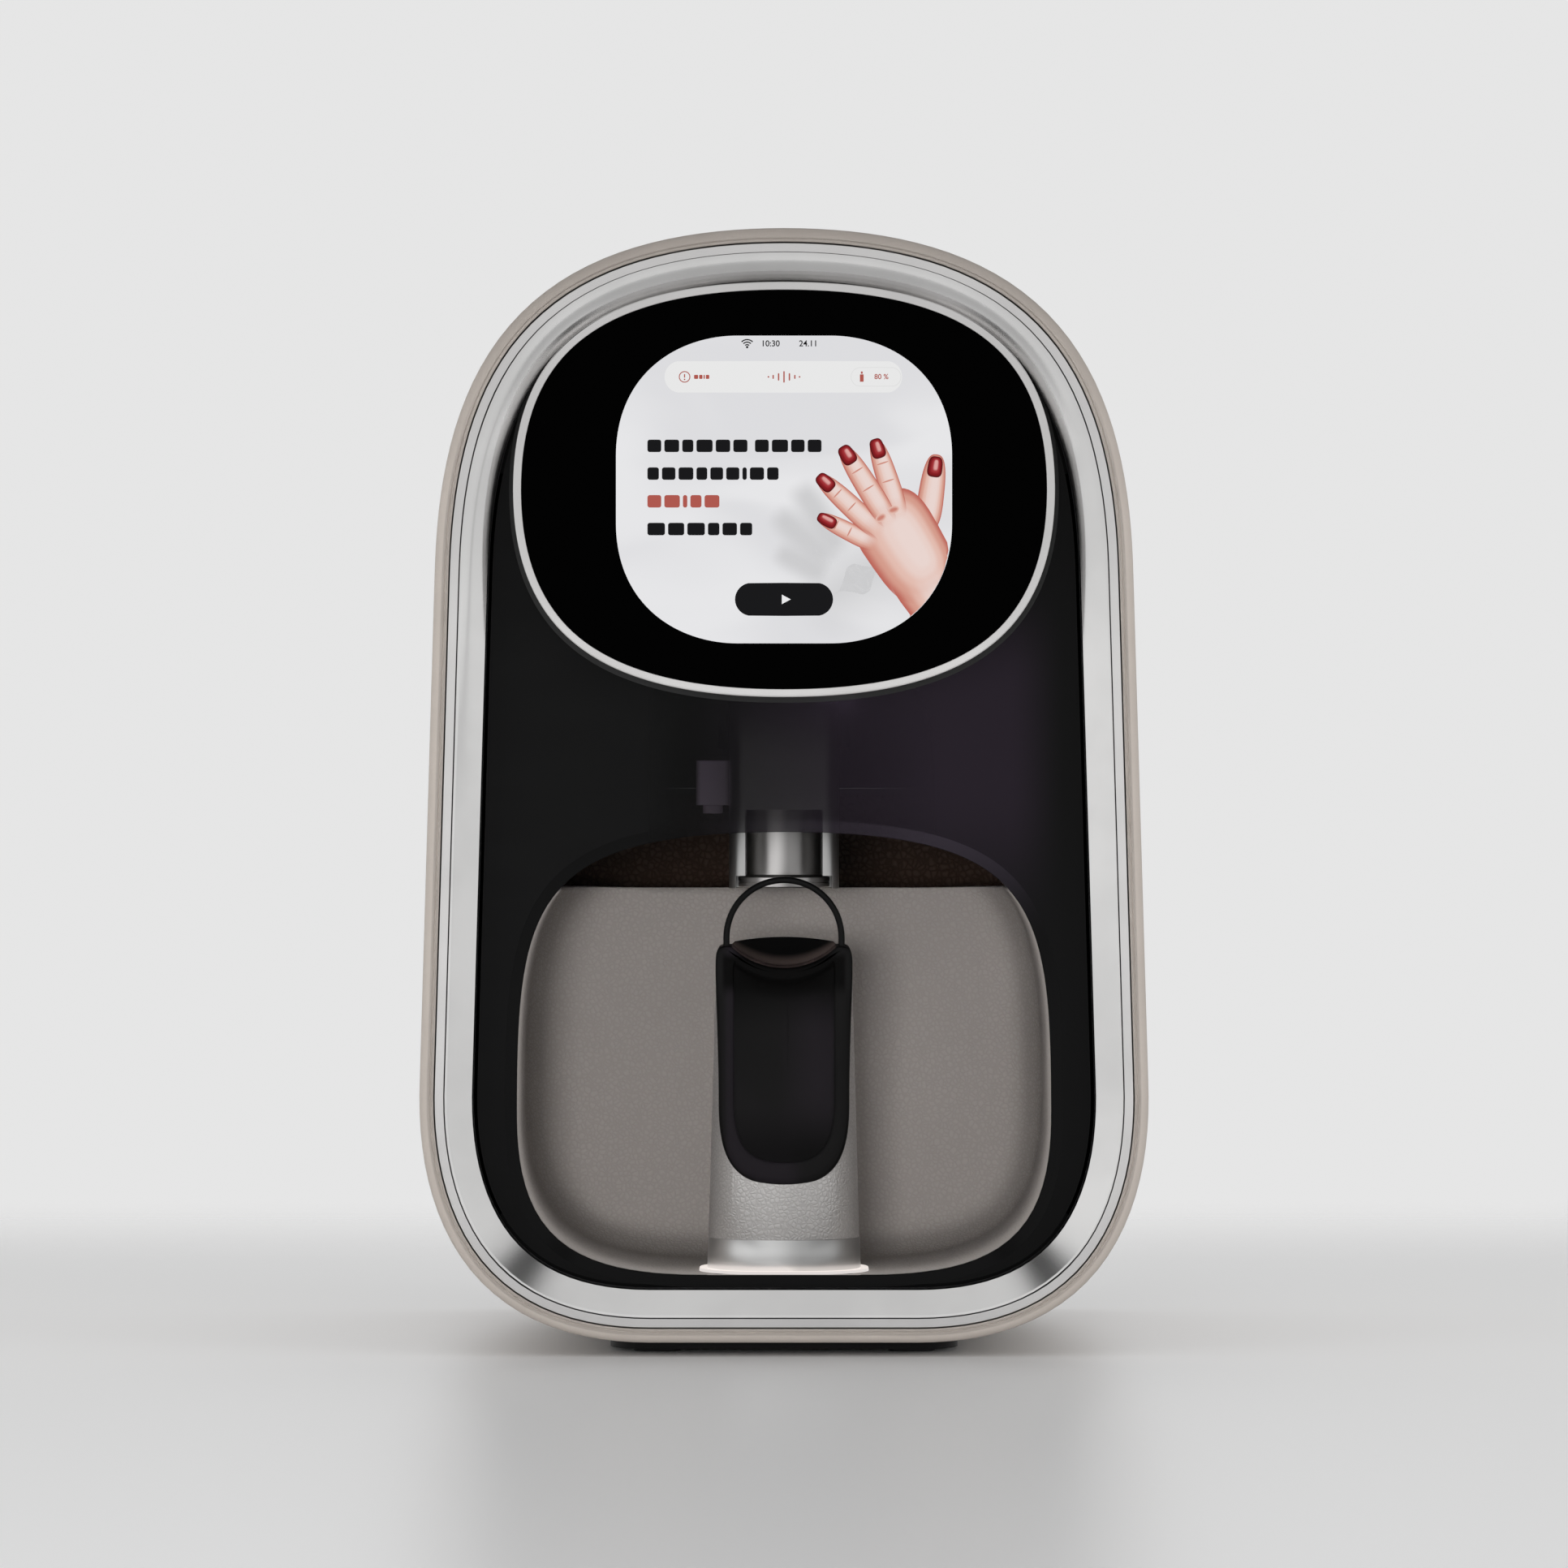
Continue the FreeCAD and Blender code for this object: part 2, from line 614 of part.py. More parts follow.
def front_bezel():
    """Metal bezel whose face rolls inward to the visor."""
    front = FRONT + TRIM_SET_BACK
    ring = band(cabinet_runs(), BEZEL_INSET, BEZEL_INNER, front, BULKHEAD_FRONT)
    middle = outline_face(cabinet_runs(), (BEZEL_INSET + BEZEL_INNER) / 2, front)
    inner = [edge for edge in rim_edges(ring, front) if middle.isInside(edge_middle(edge), 0.01, True)]
    return ring.makeFillet(min(BEZEL_ROUND, BEZEL_WIDTH - SEAM), inner)


def visor():
    """Smoked front panel with the bevelled chamber opening and the slot for the display's neck."""
    plate = prism(cabinet_runs(), VISOR_INSET, VISOR_FRONT, BULKHEAD_FRONT)
    plate = plate.makeChamfer(VISOR_EDGE_CHAMFER, rim_edges(plate, VISOR_FRONT))
    hole = prism(opening_runs(), 0, VISOR_FRONT - 1, BULKHEAD_FRONT + 1)
    wide = outline_face(opening_runs(), -OPENING_BEVEL_RISE, VISOR_FRONT - 0.001)
    narrow = outline_face(opening_runs(), 0, VISOR_FRONT + OPENING_BEVEL_DEPTH)
    bevel = Part.makeLoft([wide.OuterWire, narrow.OuterWire], True, True)
    return plate.cut([hole, bevel, pod_neck(SEAM)])


def pod_neck(play):
    """The display's cable neck, which passes through the visor."""
    half_w, half_h = POD_NECK_WIDTH / 2 + play, POD_NECK_HEIGHT / 2 + play
    return block(-half_w, half_w, VISOR_FRONT - 1, BULKHEAD_BACK, POD_CENTRE - half_h, POD_CENTRE + half_h)


# ---------------------------------------------------------------- display pod
def display_bezel():
    """Metal ring round the pod, its outer edge bevelled."""
    shoulder = POD_FRONT + POD_BEVEL
    small, large = outline_face(pod_runs(), POD_BEVEL, POD_FRONT), outline_face(pod_runs(), 0, shoulder)
    slope = Part.makeLoft([small.OuterWire, large.OuterWire], True, True)
    solid = joined([slope, prism(pod_runs(), 0, shoulder, VISOR_FRONT)])
    return solid.cut(prism(pod_runs(), POD_RING, POD_FRONT - 1, VISOR_FRONT + 1))


def touch_glass():
    """Glass over the whole pod, black round the screen."""
    return prism(pod_runs(), POD_RING + GLASS_SEAM, GLASS_FRONT, GLASS_FRONT + GLASS_WALL)


def display_housing():
    """Plastic tray behind the glass, with the neck through the visor."""
    inset = POD_RING + GLASS_SEAM
    tray = prism(pod_runs(), inset, GLASS_FRONT + GLASS_WALL, VISOR_FRONT)
    pocket = prism(pod_runs(), inset + POD_HOUSING_WALL, GLASS_FRONT, VISOR_FRONT - POD_HOUSING_WALL)
    neck = pod_neck(0)
    hollow_w, hollow_h = POD_NECK_WIDTH / 2 - POD_HOUSING_WALL, POD_NECK_HEIGHT / 2 - POD_HOUSING_WALL
    duct = block(-hollow_w, hollow_w, FRONT, BULKHEAD_BACK + 1, POD_CENTRE - hollow_h, POD_CENTRE + hollow_h)
    return tray.cut(pocket).fuse(neck).removeSplitter().cut(duct)


def display_panel():
    front = GLASS_FRONT + GLASS_WALL
    return prism(screen_runs(), -PANEL_MARGIN, front, front + PANEL_WALL)


def display_board():
    front = GLASS_FRONT + GLASS_WALL + PANEL_WALL
    half_w, half_h = DISPLAY_BOARD_WIDTH / 2, DISPLAY_BOARD_HEIGHT / 2
    return block(-half_w, half_w, front, front + BOARD_WALL, POD_CENTRE - half_h, POD_CENTRE + half_h)


# ---------------------------------------------------------------- chamber
def chamber_block(outset, y1):
    """The chamber's hollow grown outward by the outset, rounded where it meets its back wall."""
    solid = prism(opening_runs(), -outset, BULKHEAD_FRONT, y1)
    return solid.makeFillet(CHAMBER_ROUND + outset, rim_edges(solid, y1))


def above(z):
    """Everything in the cabinet above this height, as a block to cut with."""
    return block(-HIP_HALF_WIDTH, HIP_HALF_WIDTH, FRONT, BACK, z, FOOT_RISE + CABINET_HEIGHT)


def post_foot_hole(play):
    half_w = POST_BASE_WIDTH / 2 - POST_WALL + play
    half_d = POST_BASE_DEPTH / 2 - POST_WALL + play
    return block(-half_w, half_w, POST_Y - half_d, POST_Y + half_d, 0, FLOOR + 1)


def chamber_liner():
    """Leather lining of the hand chamber."""
    skin = chamber_block(LINER_LIP + LINER_WALL, CHAMBER_BACK + LINER_WALL)
    hollow = chamber_block(LINER_LIP, CHAMBER_BACK)
    return skin.cut([hollow, above(CHAMBER_TOP), post_foot_hole(SLIP)])


def chamber_tub():
    """Moulded tub that backs the lining, with a flange behind the front bulkhead."""
    inner = LINER_LIP + LINER_WALL
    outer = inner + TUB_WALL
    tub = chamber_block(outer, CHAMBER_BACK + LINER_WALL + TUB_WALL)
    flange = prism(opening_runs(), -outer - TUB_FLANGE, BULKHEAD_BACK, BULKHEAD_BACK + TUB_FLANGE_WALL)
    hollow = chamber_block(inner, CHAMBER_BACK + LINER_WALL)
    return tub.fuse(flange).cut([hollow, above(CHAMBER_TOP), post_foot_hole(SLIP)])


def front_bulkhead():
    """Ring frame just inside the front: it carries the trim, the visor, the tub and the guide rods."""
    ring = band(cabinet_runs(), TRIM_INSET, TRIM_INSET + BULKHEAD_RING, BULKHEAD_FRONT, BULKHEAD_BACK)
    tub_room = LINER_LIP + LINER_WALL + TUB_WALL + SEAM
    tub = prism(opening_runs(), -tub_room, BULKHEAD_FRONT - 1, BULKHEAD_BACK + 1)
    return ring.cut(tub).cut(y_rods())


def tie_bar_spots():
    middle = TRIM_INSET + BULKHEAD_RING / 2
    return both_sides([cabinet_rim(middle, 2, 0.0), cabinet_rim(middle, 3, TIE_BAR_CROWN_SHARE)])


def mid_bulkhead():
    """Plate across the cabinet behind the gantry, with the window that the service door opens onto."""
    y0, y1 = MID_BULKHEAD_Y, MID_BULKHEAD_BACK
    plate = prism(cabinet_runs(), TRIM_INSET, y0, y1)
    half = SERVICE_WINDOW_HALF
    window = block(-half, half, y0 - 1, y1 + 1, DOOR_LOW, DOOR_HIGH)
    screw = rod(Y_SCREW_R + SLIP, (Y_SCREW_X, y0 - 1, Y_SCREW_Z), (Y_SCREW_X, y1 + 1, Y_SCREW_Z))
    standoffs = [rod(STANDOFF_R, (x, y1 - 1, z), (x, y1 + STANDOFF_LENGTH, z)) for x, z in standoff_spots()]
    holes = [rod(SCREW_R, (x, y1, z), (x, y1 + STANDOFF_LENGTH + 1, z)) for x, z in standoff_spots()]
    return joined([plate] + standoffs).cut([window, screw] + y_rods() + holes)


def bay_liner():
    """Leather panel that closes off the view above the chamber."""
    y1 = MID_BULKHEAD_Y
    return block(-BAY_LINER_HALF, BAY_LINER_HALF, y1 - LINER_WALL, y1, BAY_LINER_LOW, BAY_LINER_HIGH)


def tie_bars():
    return [rod(TIE_BAR_R, (x, BULKHEAD_BACK, z), (x, MID_BULKHEAD_Y, z)) for x, z in tie_bar_spots()]


def rod_sides():
    return (-Y_ROD_X, Y_ROD_X)


def y_rods():
    """Two guide rods, each seated in blind holes in both bulkheads."""
    front, back = BULKHEAD_FRONT + ROD_SEAT_FLOOR, MID_BULKHEAD_BACK - ROD_SEAT_FLOOR
    return [rod(Y_ROD_R, (x, front, Y_ROD_Z), (x, back, Y_ROD_Z)) for x in rod_sides()]


# ---------------------------------------------------------------- finger post
def post_width(z, start, end):
    """A width of the post at this height, from its size at the foot and at the top."""
    return start + (end - start) * (z - RING_TOP) / (POST_TOP - RING_TOP)


def post_block(grow, z0, z1):
    """The post between two heights, its sides moved outward by grow."""
    sections = []
    for z in (z0, z1):
        half_w = post_width(z, POST_BASE_WIDTH, POST_TOP_WIDTH) / 2 + grow
        half_d = post_width(z, POST_BASE_DEPTH, POST_TOP_DEPTH) / 2 + grow
        slab = rounded_block(-half_w, half_w, POST_Y - half_d, POST_Y + half_d, z, z + 1, POST_CORNER + grow)
        bottom = min(slab.Faces, key=lambda f: f.CenterOfMass.z)
        sections.append(bottom.OuterWire)
    return Part.makeLoft(sections, True, True)


def post_screw_spots():
    return [(sign * POST_SCREW_SPACING / 2, POST_Y) for sign in (-1, 1)]


def post_body():
    """Tapered post, hollow, with two screw bosses inside. Its leather-grain skin is moulded on."""
    solid = post_block(0, SKIRT_TOP, POST_TOP)
    hollow = post_block(-POST_WALL, SKIRT_TOP - 1, POST_TOP - POST_WALL)
    bosses = [rod(POST_BOSS_R, (x, y, RING_TOP), (x, y, POST_TOP - 1)) for x, y in post_screw_spots()]
    holes = [rod(SCREW_R, (x, y, 0), (x, y, SKIRT_TOP)) for x, y in post_screw_spots()]
    linings = [lining.common(solid) for lining in hoop_columns(HOOP_SOCKET_WALL, HOOP_SOCKET_WALL)]
    return joined([solid.cut(hollow)] + bosses + linings).cut(holes + hoop_columns(RUNNING_PLAY, SLIP))


def post_skirt():
    """Metal band round the foot of the post."""
    sleeve = post_block(SKIRT_PROUD, RING_TOP, SKIRT_TOP)
    return sleeve.cut(post_block(-POST_WALL, RING_TOP - 1, SKIRT_TOP + 1))


def light_ring():
    """Clear plate under the post that glows round its foot."""
    half_w, half_d = POST_BASE_WIDTH / 2 + RING_MARGIN, POST_BASE_DEPTH / 2 + RING_MARGIN
    front, back, corner = POST_Y - half_d, POST_Y + half_d, POST_CORNER + RING_MARGIN
    plate = rounded_block(-half_w, half_w, front, back, FLOOR + RING_LIFT, RING_TOP, corner)
    bore = [rod(POST_BOSS_R, (x, y, 0), (x, y, RING_TOP + 1)) for x, y in post_screw_spots()]
    return plate.cut(bore + led_chips(SLIP / 2))


def led_chips(play):
    """The lamps, on an oval that follows the post's foot."""
    half_w, half_d = POST_BASE_WIDTH / 2 - POST_WALL - LED_SIZE, POST_BASE_DEPTH / 2 - POST_WALL - LED_SIZE
    chips = []
    for i in range(LED_COUNT):
        angle = 2 * math.pi * (i + 0.5) / LED_COUNT
        x, y, half = half_w * math.cos(angle), POST_Y + half_d * math.sin(angle), LED_SIZE / 2 + play
        chips.append(block(x - half, x + half, y - half, y + half, FLOOR, FLOOR + LED_HEIGHT + play))
    return chips


def led_board():
    half_w, half_d = POST_BASE_WIDTH / 2 - POST_WALL, POST_BASE_DEPTH / 2 - POST_WALL
    board = block(-half_w, half_w, POST_Y - half_d, POST_Y + half_d, FLOOR - BOARD_WALL, FLOOR)
    holes = [rod(POST_BOSS_R, (x, y, 0), (x, y, FLOOR + 1)) for x, y in post_screw_spots()]
    return [board.cut(holes)] + led_chips(0)


def bracket_top():
    return OPENING_SILL - LINER_LIP - LINER_WALL - TUB_WALL


def post_bracket():
    """Steel plate under the tub that the post is screwed to, with spacers up to the post's bosses."""
    top = bracket_top()
    half_w, half_d = POST_BRACKET_WIDTH / 2, POST_Y - (BULKHEAD_BACK + TUB_FLANGE_WALL + SLIP)
    plate = block(-half_w, half_w, POST_Y - half_d, POST_Y + half_d, top - POST_BRACKET_WALL, top)
    play = SLIP / 2
    spacers = [rod(POST_BOSS_R - play, (x, y, top - 1), (x, y, RING_TOP)) for x, y in post_screw_spots()]
    holes = [rod(SCREW_R + play, (x, y, 0), (x, y, RING_TOP + 1)) for x, y in post_screw_spots()]
    return joined([plate] + spacers).cut(holes)


def screw(seat, direction, length):
    """A pan-head screw: the head's underside is on the seat, and the shank runs in the direction given."""
    head = rod(SCREW_HEAD_R, (0, 0, -SCREW_HEAD), (0, 0, 0))
    shank = rod(SCREW_R, (0, 0, 0), (0, 0, length))
    reach, half = SCREW_HEAD_R * SLOT_REACH, SCREW_SLOT / 2
    slot_floor = -SCREW_HEAD + SCREW_SLOT
    slots = [block(-w, w, -h, h, -SCREW_HEAD - 1, slot_floor) for w, h in ((reach, half), (half, reach))]
    solid = joined([head, shank]).cut(slots)
    solid.Placement = FreeCAD.Placement(V(*seat), FreeCAD.Rotation(V(0, 0, 1), V(*direction)))
    return solid


def post_screws():
    head = bracket_top() - POST_BRACKET_WALL
    return [screw((x, y, head), (0, 0, 1), SKIRT_TOP - head - 1) for x, y in post_screw_spots()]


# ---------------------------------------------------------------- grip, cradle and hoop
def grip_outline_runs(half, bottom, top):
    """A tall U: straight sides and a full round foot, as runs for an outline."""
    k = GRIP_FOOT_FULLNESS * half
    rise = bottom + GRIP_FOOT_RISE * half
    return [
        [(0, bottom), (k, bottom), (half, rise - k), (half, rise)],
        [(half, rise), (half, top)],
        [(half, top), (0, top)],
    ]


def post_front(z):
    return POST_Y - post_width(z, POST_BASE_DEPTH, POST_TOP_DEPTH) / 2


def cradle_radius(half_chord, rise):
    return (half_chord**2 + rise**2) / (2 * rise)


def cradle_trough(grow):
    """The round trough that the finger lies in, from front to back, its wall moved outward by grow."""
    rise = SHOULDER_TOP - CRADLE_FLOOR
    radius = cradle_radius(CRADLE_HALF_CHORD, rise)
    centre = CRADLE_FLOOR + radius
    front = post_front(POST_TOP) - GRIP_PROUD - 1
    back = POST_Y + POST_TOP_DEPTH / 2 - CRADLE_STOP_WALL
    return rod(radius + grow, (0, front, centre), (0, back + grow, centre))


def grip_pad():
    """Soft saddle over the post: thumb pad in front, shoulders and finger stop on top."""
    front = post_front(POST_TOP) - GRIP_PROUD
    back = POST_Y + POST_TOP_DEPTH / 2
    pad = prism(grip_outline_runs(GRIP_HALF_WIDTH, GRIP_BOTTOM, POST_TOP), 0, front, POST_Y)
    pad = pad.cut(post_block(0, SKIRT_TOP, POST_TOP))
    groove_half = GRIP_HALF_WIDTH - GRIP_LIP
    groove_top = CRADLE_FLOOR - CRADLE_WALL - GRIP_LIP
    groove_runs = grip_outline_runs(groove_half, GROOVE_BOTTOM, groove_top)
    groove = prism(groove_runs, 0, front - 1, front + GROOVE_DEPTH)
    cap = rounded_block(-SHOULDER_HALF, SHOULDER_HALF, front, back, POST_TOP, SHOULDER_TOP, SHOULDER_ROUND)
    stop_y0 = back - CRADLE_STOP_WALL
    stop_r = cradle_radius(CRADLE_HALF_CHORD, CRADLE_STOP_RISE - CRADLE_STOP_EDGE)
    half, stop_top = CRADLE_HALF_CHORD, SHOULDER_TOP + CRADLE_STOP_RISE
    stop = rod(stop_r, (0, stop_y0, stop_top - stop_r), (0, back, stop_top - stop_r))
    stop = stop.common(block(-half, half, stop_y0, back, POST_TOP + 1, stop_top))
    cap = cap.cut(cradle_trough(CRADLE_WALL)).fuse(stop)
    return joined([pad.cut(groove), cap]).cut(hoop_columns(RUNNING_PLAY, SLIP))


def cradle_insert():
    """Silicone lining of the trough, notched for the hoop's legs."""
    front = post_front(POST_TOP) - GRIP_PROUD
    stop_y0 = POST_Y + POST_TOP_DEPTH / 2 - CRADLE_STOP_WALL
    lining = cradle_trough(CRADLE_WALL - SEAM / 3).cut(cradle_trough(0))
    half = CRADLE_HALF_CHORD + CRADLE_WALL
    lining = lining.common(block(-half, half, front, stop_y0, POST_TOP, SHOULDER_TOP))
    return lining.cut(hoop_columns(SEAM, SLIP))


def hoop_columns(grow, below):
    """Round columns about the hoop's two legs, from below their feet up to the arch."""
    bottom = HOOP_CENTRE - HOOP_LEG - below
    return [rod(HOOP_WIRE_R + grow, (x, HOOP_Y, bottom), (x, HOOP_Y, HOOP_CENTRE)) for x in (-HOOP_R, HOOP_R)]


def finger_hoop():
    """Wire hoop over the finger; its two legs slide in sockets in the shoulders."""
    foot = HOOP_CENTRE - HOOP_LEG
    left = Part.LineSegment(V(-HOOP_R, HOOP_Y, foot), V(-HOOP_R, HOOP_Y, HOOP_CENTRE)).toShape()
    arch = Part.Arc(
        V(-HOOP_R, HOOP_Y, HOOP_CENTRE), V(0, HOOP_Y, HOOP_CENTRE + HOOP_R), V(HOOP_R, HOOP_Y, HOOP_CENTRE)
    ).toShape()
    right = Part.LineSegment(V(HOOP_R, HOOP_Y, HOOP_CENTRE), V(HOOP_R, HOOP_Y, foot)).toShape()
    path = Part.Wire([left, arch, right])
    section = Part.Wire(Part.Circle(V(-HOOP_R, HOOP_Y, foot), V(0, 0, 1), HOOP_WIRE_R).toShape())
    return path.makePipeShell([section], True, True)


# ---------------------------------------------------------------- print head
def column_sleeve():
    """Square column on the carriage; the print barrel slides in its collar and shows in its window."""
    half, pocket = SLEEVE_HALF, SLEEVE_POCKET_HALF
    front, back = HEAD_Y - half, HEAD_Y + half
    column = rounded_block(-half, half, front, back, SLEEVE_BOTTOM, SLEEVE_TOP, SLEEVE_CORNER)
    bore = rod(BARREL_R + RUNNING_PLAY, (0, HEAD_Y, SLEEVE_BOTTOM - 1), (0, HEAD_Y, BARREL_TOP + SLIP))
    screw_hole = rod(Z_SCREW_R + SLIP, (0, HEAD_Y, SLEEVE_BOTTOM), (0, HEAD_Y, SLEEVE_TOP + 1))
    low = block(-pocket, pocket, HEAD_Y - pocket, HEAD_Y + pocket, SLEEVE_BOTTOM - 1, SLEEVE_COLLAR)
    window = block(-WINDOW_HALF, WINDOW_HALF, HEAD_Y - half - 1, HEAD_Y, SLEEVE_BOTTOM - 1, SLEEVE_COLLAR)
    flange_top = FLANGE_BOTTOM + FLANGE_HEIGHT + SEAM
    notch = block(-pocket, pocket, HEAD_Y - half - 1, HEAD_Y, SLEEVE_BOTTOM - 1, flange_top)
    return column.cut([bore, screw_hole, low, window, notch])


def print_barrel():
    """Polished barrel with the nozzle flange at its foot."""
    foot, shoulder = FLANGE_BOTTOM, FLANGE_BOTTOM + FLANGE_HEIGHT
    tube = rod(BARREL_R, (0, HEAD_Y, foot), (0, HEAD_Y, BARREL_TOP))
    flange = rod(FLANGE_R, (0, HEAD_Y, foot), (0, HEAD_Y, shoulder))
    bore = rod(BARREL_R - BARREL_WALL, (0, HEAD_Y, shoulder), (0, HEAD_Y, BARREL_TOP + 1))
    mouth = rod(NOZZLE_R, (0, HEAD_Y, foot - 1), (0, HEAD_Y, shoulder + 1))
    return tube.fuse(flange).removeSplitter().cut([bore, mouth])


def nozzle_plate():
    """Black plate in the flange that holds the jets."""
    low = FLANGE_BOTTOM + NOZZLE_WALL
    return rod(NOZZLE_R - RUNNING_PLAY, (0, HEAD_Y, low), (0, HEAD_Y, FLANGE_BOTTOM + FLANGE_HEIGHT))


def ink_cartridge():
    radius = BARREL_R - BARREL_WALL - SLIP / 2
    low = FLANGE_BOTTOM + FLANGE_HEIGHT
    return rod(radius, (0, HEAD_Y, low), (0, HEAD_Y, CARTRIDGE_TOP))


def z_nut():
    radius = BARREL_R - BARREL_WALL - RUNNING_PLAY
    disc = rod(radius, (0, HEAD_Y, BARREL_TOP - Z_NUT_HEIGHT), (0, HEAD_Y, BARREL_TOP))
    return disc.cut(rod(Z_SCREW_R + RUNNING_PLAY, (0, HEAD_Y, CARTRIDGE_TOP), (0, HEAD_Y, SLEEVE_TOP)))


def z_screw():
    return rod(Z_SCREW_R, (0, HEAD_Y, SLEEVE_TOP - Z_SCREW_LENGTH), (0, HEAD_Y, SLEEVE_TOP))


def z_motor():
    return rod(Z_MOTOR_R, (0, HEAD_Y, SLEEVE_TOP), (0, HEAD_Y, SLEEVE_TOP + Z_MOTOR_HEIGHT))


def camera_module():
    """Camera beside the column that finds the nail."""
    x1 = -SLEEVE_HALF
    x0, half = x1 - CAMERA_WIDTH, CAMERA_DEPTH / 2
    middle, top = (x0 + x1) / 2, CAMERA_BOTTOM + CAMERA_HEIGHT
    case = rounded_block(x0, x1, HEAD_Y - half, HEAD_Y + half, CAMERA_BOTTOM, top, CAMERA_CORNER)
    lens_foot = CAMERA_BOTTOM - CAMERA_LENS_LENGTH
    return [case, rod(CAMERA_LENS_R, (middle, HEAD_Y, lens_foot), (middle, HEAD_Y, CAMERA_BOTTOM))]


# ---------------------------------------------------------------- carriage on the bridge
def x_rod_heights():
    return (X_ROD_LOW, X_ROD_HIGH)


def carriage():
    """Block on the cross rods; the column is bolted to its face and the belt is clamped to its back."""
    back = SLEEVE_BACK + CARRIAGE_DEPTH
    low, high = SLEEVE_TOP - CARRIAGE_LAP, X_ROD_HIGH + CARRIAGE_MARGIN
    solid = block(-CARRIAGE_HALF, CARRIAGE_HALF, SLEEVE_BACK, back, low, high)
    reach = CARRIAGE_HALF + 1
    bores = [rod(X_ROD_R + BUSH_WALL, (-reach, X_ROD_Y, z), (reach, X_ROD_Y, z)) for z in x_rod_heights()]
    return joined([solid.cut(bores), belt_jaw(back)])


def x_bushes():
    bushes = []
    for z in x_rod_heights():
        start, end = (-CARRIAGE_HALF, X_ROD_Y, z), (CARRIAGE_HALF, X_ROD_Y, z)
        bushes.append(rod(X_ROD_R + BUSH_WALL, start, end).cut(rod(X_ROD_R + RUNNING_PLAY, start, end)))
    return bushes


def belt_middle():
    return BRIDGE_TOP + PULLEY_LIFT + PULLEY_HEIGHT / 2


def belt_jaw(back):
    """Arm on the carriage's back, with the groove that grips the belt's front strand."""
    strand = PULLEY_Y - PULLEY_R
    half_w, half_h, middle, play = CLAMP_HALF_WIDTH, BELT_HEIGHT / 2, belt_middle(), RUNNING_PLAY
    low, high = middle - half_h, middle + half_h
    arm = block(-half_w, half_w, back - 1, strand + CLAMP_LIP, low - CLAMP_LIP, high + CLAMP_LIP)
    slot_front, slot_back = strand - BELT_WALL - play, strand + play
    return arm.cut(block(-half_w - 1, half_w + 1, slot_front, slot_back, low - play, high + play))


def y_bridge():
    """Cross beam: two end blocks on the Y rods, joined by the plate that carries the belt drive."""
    blocks, bores = [], []
    for sign in (-1, 1):
        x0, x1 = sorted((sign * BLOCK_INNER_X, sign * BLOCK_OUTER_X))
        blocks.append(block(x0, x1, BLOCK_FRONT, BRIDGE_BACK, BLOCK_BOTTOM, BLOCK_TOP))
        x = sign * Y_ROD_X
        bores.append(rod(Y_ROD_R + BUSH_WALL, (x, BLOCK_FRONT - 1, Y_ROD_Z), (x, BRIDGE_BACK + 1, Y_ROD_Z)))
    plate = block(-BLOCK_INNER_X, BLOCK_INNER_X, BRIDGE_FRONT, BRIDGE_BACK, BLOCK_BOTTOM, BRIDGE_TOP)
    shaft_r = SHAFT_R + RUNNING_PLAY
    shafts = [rod(shaft_r, (x, PULLEY_Y, 0), (x, PULLEY_Y, BRIDGE_TOP + 1)) for x in pulley_sides()]
    return joined(blocks + [plate]).cut(bores + x_rods() + shafts)


def pulley_sides():
    return (-PULLEY_X, PULLEY_X)


def y_bushes():
    bushes = []
    for x in rod_sides():
        start, end = (x, BLOCK_FRONT, Y_ROD_Z), (x, BRIDGE_BACK, Y_ROD_Z)
        bushes.append(rod(Y_ROD_R + BUSH_WALL, start, end).cut(rod(Y_ROD_R + RUNNING_PLAY, start, end)))
    return bushes


def x_rods():
    seat = BLOCK_INNER_X + BUSH_WALL
    return [rod(X_ROD_R, (-seat, X_ROD_Y, z), (seat, X_ROD_Y, z)) for z in x_rod_heights()]


def pulley(x, shaft_bottom):
    """Flanged belt pulley with its shaft."""
    low = BRIDGE_TOP + PULLEY_LIFT
    high = low + PULLEY_HEIGHT
    drum = rod(PULLEY_R - RUNNING_PLAY, (x, PULLEY_Y, low), (x, PULLEY_Y, high))
    rims = []
    for z in (low, high - PULLEY_FLANGE):
        rims.append(rod(PULLEY_R + BELT_WALL, (x, PULLEY_Y, z), (x, PULLEY_Y, z + PULLEY_FLANGE)))
    shaft = rod(SHAFT_R, (x, PULLEY_Y, shaft_bottom), (x, PULLEY_Y, high))
    return joined([drum, shaft] + rims)


def x_belt():
    """Belt round both pulleys."""
    middle = belt_middle()
    low, high = middle - BELT_HEIGHT / 2, middle + BELT_HEIGHT / 2

    def loop(radius):
        ends = [rod(radius, (x, PULLEY_Y, low), (x, PULLEY_Y, high)) for x in pulley_sides()]
        span = block(-PULLEY_X, PULLEY_X, PULLEY_Y - radius, PULLEY_Y + radius, low, high)
        return joined(ends + [span])

    return loop(PULLEY_R + BELT_WALL).cut(loop(PULLEY_R))


def x_motor():
    half = X_MOTOR_SIDE / 2
    x0, x1 = -PULLEY_X - half, -PULLEY_X + half
    body = block(x0, x1, PULLEY_Y - half, PULLEY_Y + half, BLOCK_BOTTOM - X_MOTOR_HEIGHT, BLOCK_BOTTOM)
    return body.cut(rod(SHAFT_R + SLIP, (-PULLEY_X, PULLEY_Y, 0), (-PULLEY_X, PULLEY_Y, BLOCK_BOTTOM + 1)))


